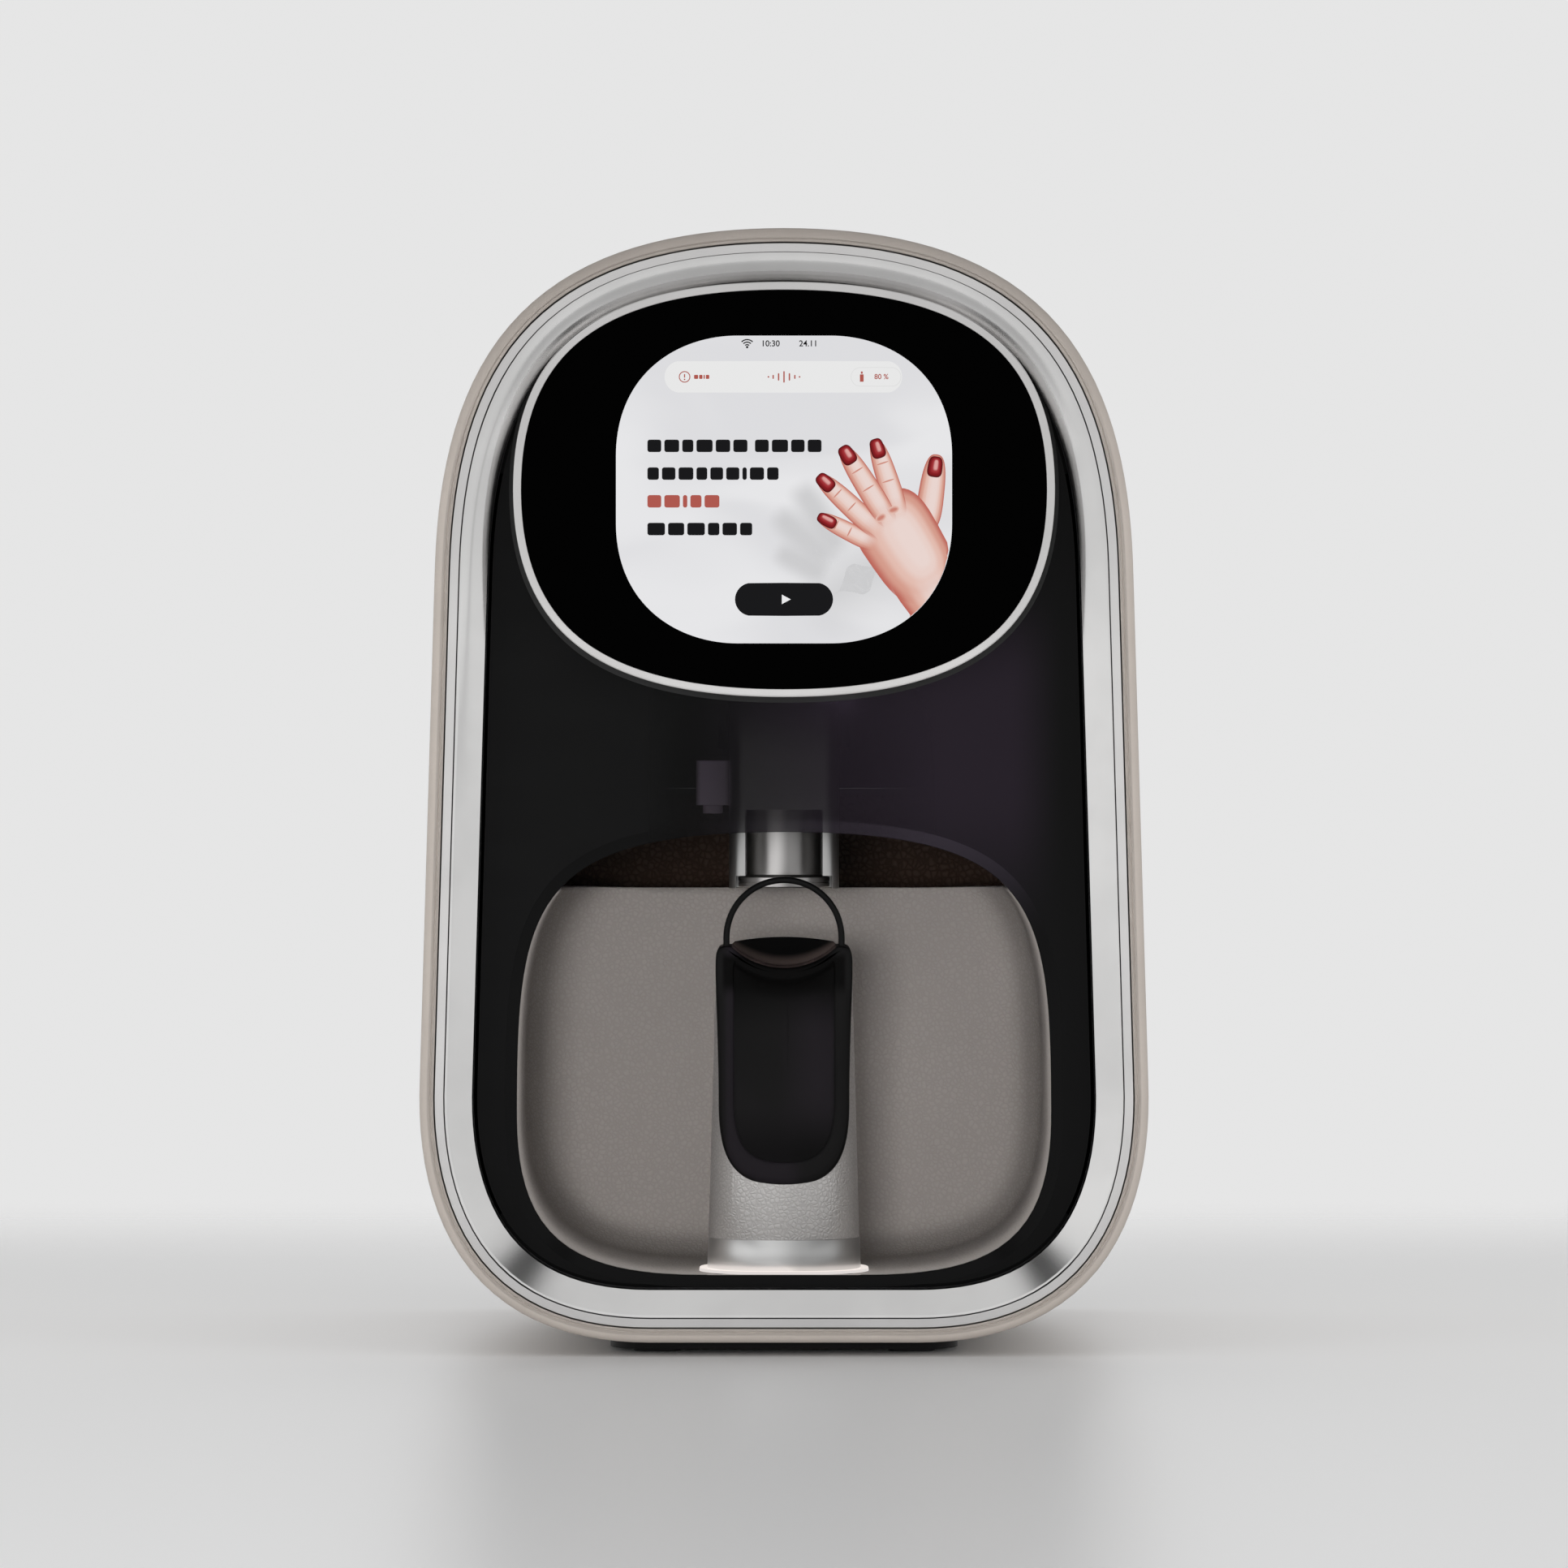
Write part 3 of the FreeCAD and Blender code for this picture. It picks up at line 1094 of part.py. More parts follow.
def y_nut():
    half = Y_NUT_WIDTH / 2
    low = BLOCK_BOTTOM - Y_NUT_HEIGHT
    body = block(Y_SCREW_X - half, Y_SCREW_X + half, BRIDGE_FRONT, BRIDGE_BACK, low, BLOCK_BOTTOM)
    bore_start, bore_end = (Y_SCREW_X, BRIDGE_FRONT - 1, Y_SCREW_Z), (Y_SCREW_X, BRIDGE_BACK + 1, Y_SCREW_Z)
    return body.cut(rod(Y_SCREW_R + RUNNING_PLAY, bore_start, bore_end))


def y_screw():
    front = BRIDGE_FRONT - Y_SCREW_LEAD
    return rod(Y_SCREW_R, (Y_SCREW_X, front, Y_SCREW_Z), (Y_SCREW_X, MID_BULKHEAD_BACK, Y_SCREW_Z))


def y_motor():
    half = Y_MOTOR_SIDE / 2
    x0, x1, y0 = Y_SCREW_X - half, Y_SCREW_X + half, MID_BULKHEAD_BACK
    return block(x0, x1, y0, y0 + Y_MOTOR_LENGTH, Y_SCREW_Z - half, Y_SCREW_Z + half)


# ---------------------------------------------------------------- boards and fan
def standoff_spots():
    """(x, z) of the main board's four standoffs."""
    x = MAIN_BOARD_HALF - STANDOFF_EDGE
    low, high = MAIN_BOARD_LOW + STANDOFF_EDGE, MAIN_BOARD_HIGH - STANDOFF_EDGE
    return both_sides([(x, low), (x, high)])


def main_board():
    """Controller board with its processor, driver chips and plugs."""
    y0 = MID_BULKHEAD_BACK + STANDOFF_LENGTH
    y1 = y0 + BOARD_WALL
    board = block(-MAIN_BOARD_HALF, MAIN_BOARD_HALF, y0, y1, MAIN_BOARD_LOW, MAIN_BOARD_HIGH)
    board = board.cut([rod(SCREW_R, (x, y0 - 1, z), (x, y1 + 1, z)) for x, z in standoff_spots()])
    half, low = COOLER_SIDE / 2, COOLER_LOW
    cooler = block(-half, half, y1, y1 + COOLER_DEPTH, low, low + COOLER_SIDE)
    grooves = []
    for i in range(COOLER_GROOVES):
        x = -half + COOLER_SIDE * (i + 0.5) / COOLER_GROOVES
        x0, x1, floor = x - COOLER_GROOVE / 2, x + COOLER_GROOVE / 2, y1 + BOARD_WALL
        grooves.append(block(x0, x1, floor, y1 + COOLER_DEPTH + 1, low - 1, low + COOLER_SIDE + 1))
    drivers, plugs = [], []
    for i in range(DRIVER_COUNT):
        x, z = DRIVER_PITCH * (i - (DRIVER_COUNT - 1) / 2), COOLER_LOW - DRIVER_DROP
        drivers.append(block(x, x + DRIVER_SIDE, y1, y1 + CHIP_WALL, z, z + DRIVER_SIDE))
    for i in range(PLUG_COUNT):
        x, z = PLUG_PITCH * (i - PLUG_COUNT / 2), MAIN_BOARD_LOW + BOARD_WALL
        plugs.append(block(x, x + PLUG_WIDTH, y1, y1 + PLUG_DEPTH, z, z + PLUG_DEPTH))
    return [board, cooler.cut(grooves)] + drivers + plugs


def board_screws():
    y0 = MID_BULKHEAD_BACK + STANDOFF_LENGTH + BOARD_WALL
    return [screw((x, y0, z), (0, -1, 0), STANDOFF_LENGTH + BOARD_WALL) for x, z in standoff_spots()]


def fan_frame():
    """Square fan frame on the rear cover, with three struts that hold the rotor."""
    half = FAN_SIDE / 2
    y0, y1 = COVER_INNER - FAN_DEPTH, COVER_INNER
    frame = block(FAN_X - half, FAN_X + half, y0, y1, FAN_Z - half, FAN_Z + half)
    frame = frame.cut(rod(FAN_BORE_R, (FAN_X, y0 - 1, FAN_Z), (FAN_X, y1 + 1, FAN_Z)))
    strut_back = y0 + FAN_STRUT_DEPTH
    seat = rod(FAN_HUB_R, (FAN_X, y0, FAN_Z), (FAN_X, strut_back, FAN_Z))
    struts = []
    for i in range(FAN_STRUTS):
        strut = block(0, FAN_BORE_R + 1, y0, strut_back, -FAN_STRUT / 2, FAN_STRUT / 2)
        strut.rotate(V(0, 0, 0), V(0, 1, 0), 360 * i / FAN_STRUTS + 90)
        strut.translate(V(FAN_X, 0, FAN_Z))
        struts.append(strut)
    return joined([frame, seat] + struts)


def fan_rotor():
    """Fan hub with its blades."""
    y0, y1 = COVER_INNER - FAN_DEPTH + FAN_STRUT_DEPTH + SEAM, COVER_INNER - FAN_BLADE_TIP_PLAY
    hub = rod(FAN_HUB_R, (FAN_X, y0, FAN_Z), (FAN_X, y1, FAN_Z))
    blades = []
    reach = FAN_BORE_R - FAN_BLADE_TIP_PLAY
    middle = (y0 + y1) / 2
    for i in range(FAN_BLADES):
        half_d, half_w = FAN_BLADE_HALF_DEPTH, FAN_BLADE_WALL / 2
        blade = block(0, reach, -half_d, half_d, -half_w, half_w)
        blade.rotate(V(0, 0, 0), V(1, 0, 0), FAN_BLADE_TURN)
        blade.rotate(V(0, 0, 0), V(0, 1, 0), 360.0 * i / FAN_BLADES)
        blade.translate(V(FAN_X, middle, FAN_Z))
        blades.append(blade)
    return joined([hub] + blades)


# ---------------------------------------------------------------- rear cover, door, inlet and button
def door_axis():
    """(x, y) of the service door's upright hinge axis."""
    return -DOOR_HALF + COVER_WALL / 2, COVER_OUTER - COVER_WALL / 2


def door_pin_holes(radius):
    x, y = door_axis()
    return [rod(radius, (x, y, z - DOOR_PIN_HALF), (x, y, z + DOOR_PIN_HALF)) for z in (DOOR_LOW, DOOR_HIGH)]


def catch_z():
    return (DOOR_LOW + DOOR_HIGH) / 2


def rear_cover():
    """Cover over the cabinet's back, with vents for the fan and openings for door, socket and button."""
    y0, y1 = COVER_INNER, COVER_OUTER
    plate = prism(cabinet_runs(), TRIM_INSET, y0, y1)
    gap = DOOR_PLAY
    doorway = block(-DOOR_HALF - gap, DOOR_HALF + gap, y0 - 1, y1 + 1, DOOR_LOW - gap, DOOR_HIGH + gap)
    lap = DOOR_STOP_LAP
    stop = block(DOOR_HALF - lap, DOOR_HALF + lap, y0 - DOOR_STOP, y0, DOOR_LOW + lap, DOOR_HIGH - lap)
    vents, half_l, half_w = [], VENT_LENGTH / 2, VENT_WIDTH / 2
    for i in range(VENT_COUNT):
        z = FAN_Z + (i - (VENT_COUNT - 1) / 2) * VENT_PITCH
        vents.append(block(FAN_X - half_l, FAN_X + half_l, y0 - 1, y1 + 1, z - half_w, z + half_w))
    usb = rounded_slot(USB_WIDTH / 2 + SEAM, USB_HEIGHT / 2 + SEAM, y0 - 1, y1 + 1)
    button = rod(BUTTON_R + SEAM, (IO_X, y0 - 1, BUTTON_Z), (IO_X, y1 + 1, BUTTON_Z))
    screws = []
    for x, z in cover_screw_spots():
        screws.append(rod(COVER_SCREW_R + SLIP / 2, (x, y0 - 1, z), (x, y1 + 1, z)))
        screws.append(rod(COVER_SCREW_HEAD_R + SLIP / 2, (x, y1 - COVER_SCREW_HEAD, z), (x, y1 + 1, z)))
    pillars = [rod(IO_PILLAR_R, (x, y0 - IO_BOARD_BACKSET, z), (x, y0, z)) for x, z in io_pillar_spots()]
    plate = plate.cut([doorway, usb, button] + vents + screws)
    plate = joined([plate, stop] + pillars)
    return plate.cut([cover_magnet()] + door_pin_holes(DOOR_PIN_R))


def rounded_slot(half_w, half_h, y0, y1):
    """The USB-C outline drawn out from y0 to y1."""
    x0, x1 = IO_X - half_w + half_h, IO_X + half_w - half_h
    middle = block(x0, x1, y0, y1, USB_Z - half_h, USB_Z + half_h)
    return joined([middle] + [rod(half_h, (x, y0, USB_Z), (x, y1, USB_Z)) for x in (x0, x1)])


def io_board_edges():
    """Left, right, lower and upper edge of the socket's board."""
    return IO_X - IO_BOARD_HALF, IO_X + IO_BOARD_HALF, USB_Z - IO_BOARD_BELOW, BUTTON_Z + IO_BOARD_ABOVE


def io_pillar_spots():
    x0, x1, z0, z1 = io_board_edges()
    inset = IO_PILLAR_EDGE
    return [(x, z) for x in (x0 + inset, x1 - inset) for z in (z0 + inset, z1 - inset)]


def service_door():
    """Door that opens onto the print carriage, to change the cartridge."""
    x, y = door_axis()
    radius = COVER_WALL / 2
    leaf = block(x, DOOR_HALF, COVER_INNER, COVER_OUTER, DOOR_LOW, DOOR_HIGH)
    edge = rod(radius, (x, y, DOOR_LOW), (x, y, DOOR_HIGH))
    scoop_y = COVER_OUTER + DOOR_SCOOP_R - DOOR_SCOOP_DEPTH
    scoop_x = DOOR_HALF - DOOR_STOP_LAP - SLIP
    pull = rod(DOOR_SCOOP_R, (scoop_x, scoop_y, catch_z()), (scoop_x - DOOR_SCOOP_WIDTH, scoop_y, catch_z()))
    return joined([leaf, edge]).cut([pull, door_magnet()] + door_pin_holes(DOOR_PIN_R + RUNNING_PLAY))


def magnet(y0, y1):
    x = DOOR_HALF - DOOR_STOP_LAP / 2
    return rod(MAGNET_R, (x, y0, catch_z()), (x, y1, catch_z()))


def door_magnet():
    return magnet(COVER_INNER, COVER_INNER + MAGNET_WALL)


def cover_magnet():
    """Magnet in the door stop, face to face with the door's own."""
    return magnet(COVER_INNER - MAGNET_WALL, COVER_INNER)


def cover_screws():
    screws = []
    for x, z in cover_screw_spots():
        head = rod(COVER_SCREW_HEAD_R, (x, COVER_OUTER - COVER_SCREW_HEAD, z), (x, COVER_OUTER, z))
        shank = rod(COVER_SCREW_R, (x, COVER_INNER - COVER_SCREW_THREAD, z), (x, COVER_OUTER, z))
        reach, half, floor = COVER_SCREW_HEAD_R * SLOT_REACH, SCREW_SLOT / 2, COVER_OUTER - SCREW_SLOT
        arms = ((reach, half), (half, reach))
        slots = [block(x - w, x + w, floor, COVER_OUTER + 1, z - h, z + h) for w, h in arms]
        screws.append(head.fuse(shank).removeSplitter().cut(slots))
    return screws


def io_board_y():
    return COVER_INNER - IO_BOARD_BACKSET - BOARD_WALL


def io_board():
    """Small board behind the cover that carries the socket and the switch."""
    y0, half = io_board_y(), SWITCH_SIDE / 2
    x0, x1, z0, z1 = io_board_edges()
    board = block(x0, x1, y0, y0 + BOARD_WALL, z0, z1)
    switch_top = button_back() - STEM_LENGTH - BUTTON_TRAVEL - SLIP
    switch = block(IO_X - half, IO_X + half, y0 + BOARD_WALL, switch_top, BUTTON_Z - half, BUTTON_Z + half)
    return [board, switch]


def usb_port():
    """USB-C socket that feeds the printer: a steel sleeve with its tongue."""
    y0, y1 = io_board_y() + BOARD_WALL, COVER_OUTER - SEAM
    sleeve = rounded_slot(USB_WIDTH / 2, USB_HEIGHT / 2, y0, y1)
    hollow = rounded_slot(USB_WIDTH / 2 - USB_WALL, USB_HEIGHT / 2 - USB_WALL, y1 - USB_DEPTH, y1 + 1)
    half_w, half_h, tip = TONGUE_WIDTH / 2, TONGUE_WALL / 2, y1 - TONGUE_SET_BACK
    tongue = block(IO_X - half_w, IO_X + half_w, y1 - USB_DEPTH, tip, USB_Z - half_h, USB_Z + half_h)
    return joined([sleeve.cut(hollow), tongue])


def button_back():
    return COVER_INNER - BUTTON_FLANGE


def power_button():
    """Round button, flush with the cover, kept in by its flange."""
    back, flange_front = button_back(), COVER_INNER - BUTTON_PLAY
    cap = rod(BUTTON_R, (IO_X, back, BUTTON_Z), (IO_X, COVER_OUTER, BUTTON_Z))
    cap = cap.makeFillet(BUTTON_ROUND, rim_edges(cap, COVER_OUTER))
    flange = rod(BUTTON_R + BUTTON_FLANGE_LAP, (IO_X, back, BUTTON_Z), (IO_X, flange_front, BUTTON_Z))
    stem = rod(STEM_R, (IO_X, back - STEM_LENGTH, BUTTON_Z), (IO_X, back, BUTTON_Z))
    return joined([cap, flange, stem])


# ---------------------------------------------------------------- foot
def pad_spots():
    return [(x, y) for x in (-PAD_X, PAD_X) for y in (-PAD_Y, PAD_Y)]


def pad_block(x, y, z0, z1):
    half_w, half_l = PAD_WIDTH / 2, PAD_LENGTH / 2
    return rounded_block(x - half_w, x + half_w, y - half_l, y + half_l, z0, z1, PAD_CORNER)


def foot_plate():
    """Plinth under the cabinet; its pockets hold the rubber pads and hide the screws."""
    low = PAD_HEIGHT - PAD_SINK
    w, d = FOOT_HALF_WIDTH, FOOT_HALF_DEPTH
    plate = rounded_block(-w, w, -d, d, low, FOOT_RISE, FOOT_CORNER)
    pockets = [pad_block(x, y, low - 1, PAD_HEIGHT) for x, y in pad_spots()]
    heads = [rod(SCREW_HEAD_R + SLIP / 2, (x, y, 0), (x, y, low + SCREW_HEAD)) for x, y in foot_screw_spots()]
    return plate.cut(pockets + heads + foot_screw_holes(SCREW_R + SLIP / 2))


def rubber_pads():
    return [pad_block(x, y, 0, PAD_HEIGHT) for x, y in pad_spots()]


def foot_screws():
    seat = PAD_HEIGHT - PAD_SINK + SCREW_HEAD
    length = FOOT_RISE + INNER_INSET - seat + SCREW_GRIP
    return [screw((x, y, seat), (0, 0, 1), length) for x, y in foot_screw_spots()]


def machine_screws():
    """Every small pan-head screw: under the foot, under the post and on the main board."""
    return foot_screws() + post_screws() + board_screws()


# ---------------------------------------------------------------- every node of the model
def main():
    os.makedirs(OUT, exist_ok=True)
    single = [
        leather_wrap, body_shell, trim_ring, front_bezel, visor,
        display_bezel, touch_glass, display_housing, display_panel, display_board,
        chamber_liner, chamber_tub, front_bulkhead, mid_bulkhead, bay_liner,
        post_body, post_skirt, light_ring, post_bracket,
        grip_pad, cradle_insert, finger_hoop,
        column_sleeve, print_barrel, nozzle_plate, ink_cartridge, z_nut, z_screw, z_motor,
        carriage,
        y_bridge, x_belt, x_motor, y_nut, y_screw, y_motor,
        fan_frame, fan_rotor, rear_cover, service_door, door_magnet, cover_magnet,
        usb_port, power_button, foot_plate,
    ]
    groups = [
        tie_bars, y_rods, led_board, camera_module, x_bushes, y_bushes, x_rods,
        main_board, cover_screws, io_board, rubber_pads, machine_screws,
    ]
    for make in single:
        save(make.__name__, make())
    for make in groups:
        save(make.__name__, *make())
    save("x_drive_pulley", pulley(-PULLEY_X, BLOCK_BOTTOM - MOTOR_SHAFT_REACH))
    save("x_idler_pulley", pulley(PULLEY_X, BLOCK_BOTTOM))
    save("door_pins", *door_pin_holes(DOOR_PIN_R))


main()
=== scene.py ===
import json
import math

import bmesh
import bpy
from mathutils import Matrix, Vector


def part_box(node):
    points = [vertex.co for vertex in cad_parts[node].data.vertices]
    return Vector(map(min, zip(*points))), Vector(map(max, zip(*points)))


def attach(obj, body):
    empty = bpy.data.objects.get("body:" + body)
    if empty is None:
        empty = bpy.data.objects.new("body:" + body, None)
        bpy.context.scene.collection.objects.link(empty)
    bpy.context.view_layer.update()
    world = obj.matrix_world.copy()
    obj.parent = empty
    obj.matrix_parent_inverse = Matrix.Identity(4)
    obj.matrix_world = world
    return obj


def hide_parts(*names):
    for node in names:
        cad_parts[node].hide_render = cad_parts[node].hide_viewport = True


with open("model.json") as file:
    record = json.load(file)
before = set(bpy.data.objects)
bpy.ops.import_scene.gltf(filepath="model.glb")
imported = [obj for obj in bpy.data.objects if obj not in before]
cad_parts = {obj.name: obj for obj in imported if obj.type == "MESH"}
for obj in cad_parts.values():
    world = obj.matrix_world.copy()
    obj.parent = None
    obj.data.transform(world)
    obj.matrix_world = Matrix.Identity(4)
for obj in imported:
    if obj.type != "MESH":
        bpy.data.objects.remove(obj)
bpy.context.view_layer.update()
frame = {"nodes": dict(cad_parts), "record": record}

# %% [markdown]
# ## The camera
# A product portrait is taken from far away with a long lens, so that upright edges stay upright. The camera
# looks straight along the Y axis at half the cabinet's height and makes the picture square.
# %% Place the camera
MM = 0.001
CAMERA_BACK = 2250 * MM
CAMERA_HEIGHT = 169.4 * MM
CAMERA_LENS = 166.96

bpy.ops.object.camera_add(location=(0, -CAMERA_BACK, CAMERA_HEIGHT), rotation=(math.pi / 2, 0, 0))
camera = bpy.context.object
camera.name = "portrait_camera"
camera.data.lens = CAMERA_LENS
bpy.context.scene.camera = camera
bpy.context.scene.view_settings.view_transform = "Standard"
print("camera at", [round(value, 3) for value in camera.location])

# %% [markdown]
# ## Reading places from the frame
# Every piece is fitted to the solids, so its sizes come from their boxes. A small reader turns a node's box
# into millimetres, the unit in which this machine is drawn. The driving sizes of the outlines, which a box
# can't tell, are named here as a maker would name them.
# %% Boxes in millimetres
class Box:
    """The lowest and highest corner of a node and its middle, in millimetres."""

    def __init__(self, node):
        low, high = ([value / MM for value in corner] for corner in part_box(node))
        self.x0, self.y0, self.z0 = low
        self.x1, self.y1, self.z1 = high
        self.x, self.y, self.z = ((a + b) / 2 for a, b in zip(low, high))


wrap, trim, bezel, visor = Box("leather_wrap"), Box("trim_ring"), Box("front_bezel"), Box("visor")
pod, glass, liner, post = Box("display_bezel"), Box("touch_glass"), Box("chamber_liner"), Box("post_body")
print("cabinet", round(wrap.x1 - wrap.x0, 1), "wide and", round(wrap.z1 - wrap.z0, 1), "high")

# %% [markdown]
# ## Outlines
# The cabinet, the chamber's mouth, the pod and the lit screen are all smooth closed outlines that are equal
# on both sides. Each is a chain of straight runs and curves up the right side. A run of two points is
# straight, and one of four is a curve with two handles, as in a drawing program.
# %% Outlines of the cabinet and of the chamber's mouth
HIP_HALF, HIP_RISE = 107.9, 75.6
SHOULDER_HALF = 103.4
CROWN_DROP = 100.8
SOLE_HALF = 39.9
HEEL_DROP, HEEL_SWEEP = 38.2, 53.5
CROWN_RISE, CROWN_TUCK = 61.0, 25.7
MOUTH_SILL, MOUTH_WIDEST, MOUTH_CROWN = 23.5, 70.8, 155.1
MOUTH_HALF = 79.4
MOUTH_SOLE_HALF = 24.2
MOUTH_HEEL_DROP, MOUTH_HEEL_TUCK = 36.7, 16.5
MOUTH_CROWN_RISE, MOUTH_CROWN_TUCK = 62.3, 3.3


def cabinet_runs():
    sole, top = wrap.z0, wrap.z1
    hip, shoulder = Vector((HIP_HALF, sole + HIP_RISE)), Vector((SHOULDER_HALF, top - CROWN_DROP))
    lean = (shoulder - hip).normalized()
    heel, crown = hip - lean * HEEL_DROP, shoulder + lean * CROWN_RISE
    return [
        [(0, sole), (SOLE_HALF, sole)],
        [(SOLE_HALF, sole), (SOLE_HALF + HEEL_SWEEP, sole), heel, hip],
        [hip, shoulder],
        [shoulder, crown, (SHOULDER_HALF - CROWN_TUCK, top), (0, top)],
    ]


def mouth_runs():
    side = (MOUTH_HALF, MOUTH_WIDEST)
    heel = (MOUTH_HALF, MOUTH_WIDEST - MOUTH_HEEL_DROP)
    crown = (MOUTH_HALF, MOUTH_WIDEST + MOUTH_CROWN_RISE)
    return [
        [(0, MOUTH_SILL), (MOUTH_SOLE_HALF, MOUTH_SILL)],
        [(MOUTH_SOLE_HALF, MOUTH_SILL), (MOUTH_HALF - MOUTH_HEEL_TUCK, MOUTH_SILL), heel, side],
        [side, crown, (MOUTH_HALF - MOUTH_CROWN_TUCK, MOUTH_CROWN), (0, MOUTH_CROWN)],
    ]


# %% Outlines of the pod and of the lit screen
POD_FULLNESS = 0.688
SCREEN_HALF_WIDTH, SCREEN_HALF_HEIGHT = 49.7, 45.5
SCREEN_FLAT_SIDE, SCREEN_FLAT_TOP = 9.8, 13.7
SCREEN_SIDE_RUN, SCREEN_TOP_RUN = 24.8, 17.5


def pod_runs():
    a, b, k = pod.x1, (pod.z1 - pod.z0) / 2, POD_FULLNESS
    low, mid, high = pod.z0, pod.z, pod.z1
    return [
        [(0, low), (k * a, low), (a, mid - k * b), (a, mid)],
        [(a, mid), (a, mid + k * b), (k * a, high), (0, high)],
    ]


def screen_runs():
    a, b, mid = SCREEN_HALF_WIDTH, SCREEN_HALF_HEIGHT, pod.z
    side, flat = SCREEN_FLAT_SIDE, SCREEN_FLAT_TOP
    reach, rise = flat + SCREEN_TOP_RUN, side + SCREEN_SIDE_RUN
    return [
        [(0, mid - b), (flat, mid - b)],
        [(flat, mid - b), (reach, mid - b), (a, mid - rise), (a, mid - side)],
        [(a, mid - side), (a, mid + side)],
        [(a, mid + side), (a, mid + rise), (reach, mid + b), (flat, mid + b)],
        [(flat, mid + b), (0, mid + b)],
    ]


# %% [markdown]
# ## From an outline to a ring of points
# Each outline is walked from the bottom centre up the right side, and the left side mirrors it. Equal steps
# along the line keep the faces even, and a step into the outline at each point gives the same shape inset, as
# a tailor marks a seam allowance.
# %% Walk an outline in equal steps
HALF_STEPS = 96
FINE_STEPS = 40


def on_run(run, share):
    """The point of a run and the direction along it, at a share from 0 to 1."""
    p = [Vector(point) for point in run]
    if len(p) == 2:
        return p[0].lerp(p[1], share), (p[1] - p[0]).normalized()
    s, t = 1 - share, share
    point = p[0] * s**3 + p[1] * 3 * s * s * t + p[2] * 3 * s * t * t + p[3] * t**3
    along = (p[1] - p[0]) * s * s + (p[2] - p[1]) * 2 * s * t + (p[3] - p[2]) * t * t
    return point, along.normalized()


def even_walk(runs, steps):
    """Points and directions in equal steps along the runs."""
    fine = [on_run(run, i / FINE_STEPS) for run in runs for i in range(FINE_STEPS + 1)]
    reach = [0.0]
    for (a, _), (b, _) in zip(fine, fine[1:]):
        reach.append(reach[-1] + (b - a).length)
    walk, k = [], 0
    for i in range(steps + 1):
        target = reach[-1] * i / steps
        while k < len(fine) - 2 and reach[k + 1] < target:
            k += 1
        span = reach[k + 1] - reach[k]
        share = (target - reach[k]) / span if span else 0
        walk.append((fine[k][0].lerp(fine[k + 1][0], share), fine[k][1].lerp(fine[k + 1][1], share)))
    return walk


def by_runs(runs, steps):
    """Points and directions with a set number of steps in each run, so that two outlines match run by run."""
    walk = [on_run(run, i / count) for run, count in zip(runs, steps) for i in range(count)]
    return walk + [on_run(runs[-1], 1)]


# %% Close the walk into a ring
def ring(walk, inset, y):
    """The whole outline, moved inward by the inset, as points in the plane at this y."""
    half = []
    for point, along in walk:
        along = along.normalized()
        half.append((point.x - along.y * inset, point.y + along.x * inset))
    left = [(-x, z) for x, z in reversed(half[1:-1])]
    return [Vector((x, y, z)) * MM for x, z in half + left]


def rings_of(walk, section):
    """A ring for each (inset, y) of a section."""
    return [ring(walk, inset, y) for inset, y in section]


cabinet, mouth = even_walk(cabinet_runs(), HALF_STEPS), even_walk(mouth_runs(), HALF_STEPS)
pod_line, screen_line = even_walk(pod_runs(), HALF_STEPS), even_walk(screen_runs(), HALF_STEPS)
print("each outline has", len(ring(cabinet, 0, 0)), "points")

# %% [markdown]
# ## Lofting a skin through rings
# Most pieces of the cabinet are bands that follow an outline. A band starts as a circle primitive, whose
# points are placed on the first ring. Each extrude grows one more strip of faces, and its new points are
# placed on the next ring. A whole number kept on every point says which spoke of the ring it belongs to.
# %% The loft
def select_only(*pieces):
    """Selects these pieces and nothing else, and takes the first in hand."""
    bpy.ops.object.select_all(action="DESELECT")
    for piece in pieces:
        piece.select_set(True)
    bpy.context.view_layer.objects.active = pieces[0]


def edit_mode():
    """Opens the piece in hand with all of its points selected."""
    bpy.ops.object.mode_set(mode="EDIT")
    bpy.ops.mesh.select_all(action="SELECT")


def close_skin(piece, smooth, merge):
    """Merges doubled points if asked, turns all faces outward and shades the piece smooth up to an angle."""
    bpy.ops.mesh.select_all(action="SELECT")
    if merge:
        bpy.ops.mesh.remove_doubles(threshold=0.001 * MM)
    bpy.ops.mesh.normals_make_consistent(inside=False)
    bpy.ops.object.mode_set(mode="OBJECT")
    bpy.ops.object.shade_smooth_by_angle(angle=math.radians(smooth))
    return piece


def put_selected(piece, points, number):
    """Moves the selected points of the mesh in hand to their places on a ring."""
    mesh = bmesh.from_edit_mesh(piece.data)
    spoke, band = mesh.verts.layers.int["spoke"], mesh.verts.layers.int["band"]
    for vert in mesh.verts:
        if vert.select:
            vert.co = points[vert[spoke]]
            vert[band] = number
    bmesh.update_edit_mesh(piece.data)


def select_where(piece, wanted):
    """Selects only the points of the mesh in hand for which wanted(point, band layer) holds."""
    bpy.ops.mesh.select_all(action="DESELECT")
    mesh = bmesh.from_edit_mesh(piece.data)
    band = mesh.verts.layers.int.get("band")
    for vert in mesh.verts:
        vert.select = wanted(vert, band)
    mesh.select_flush(True)
    bmesh.update_edit_mesh(piece.data)


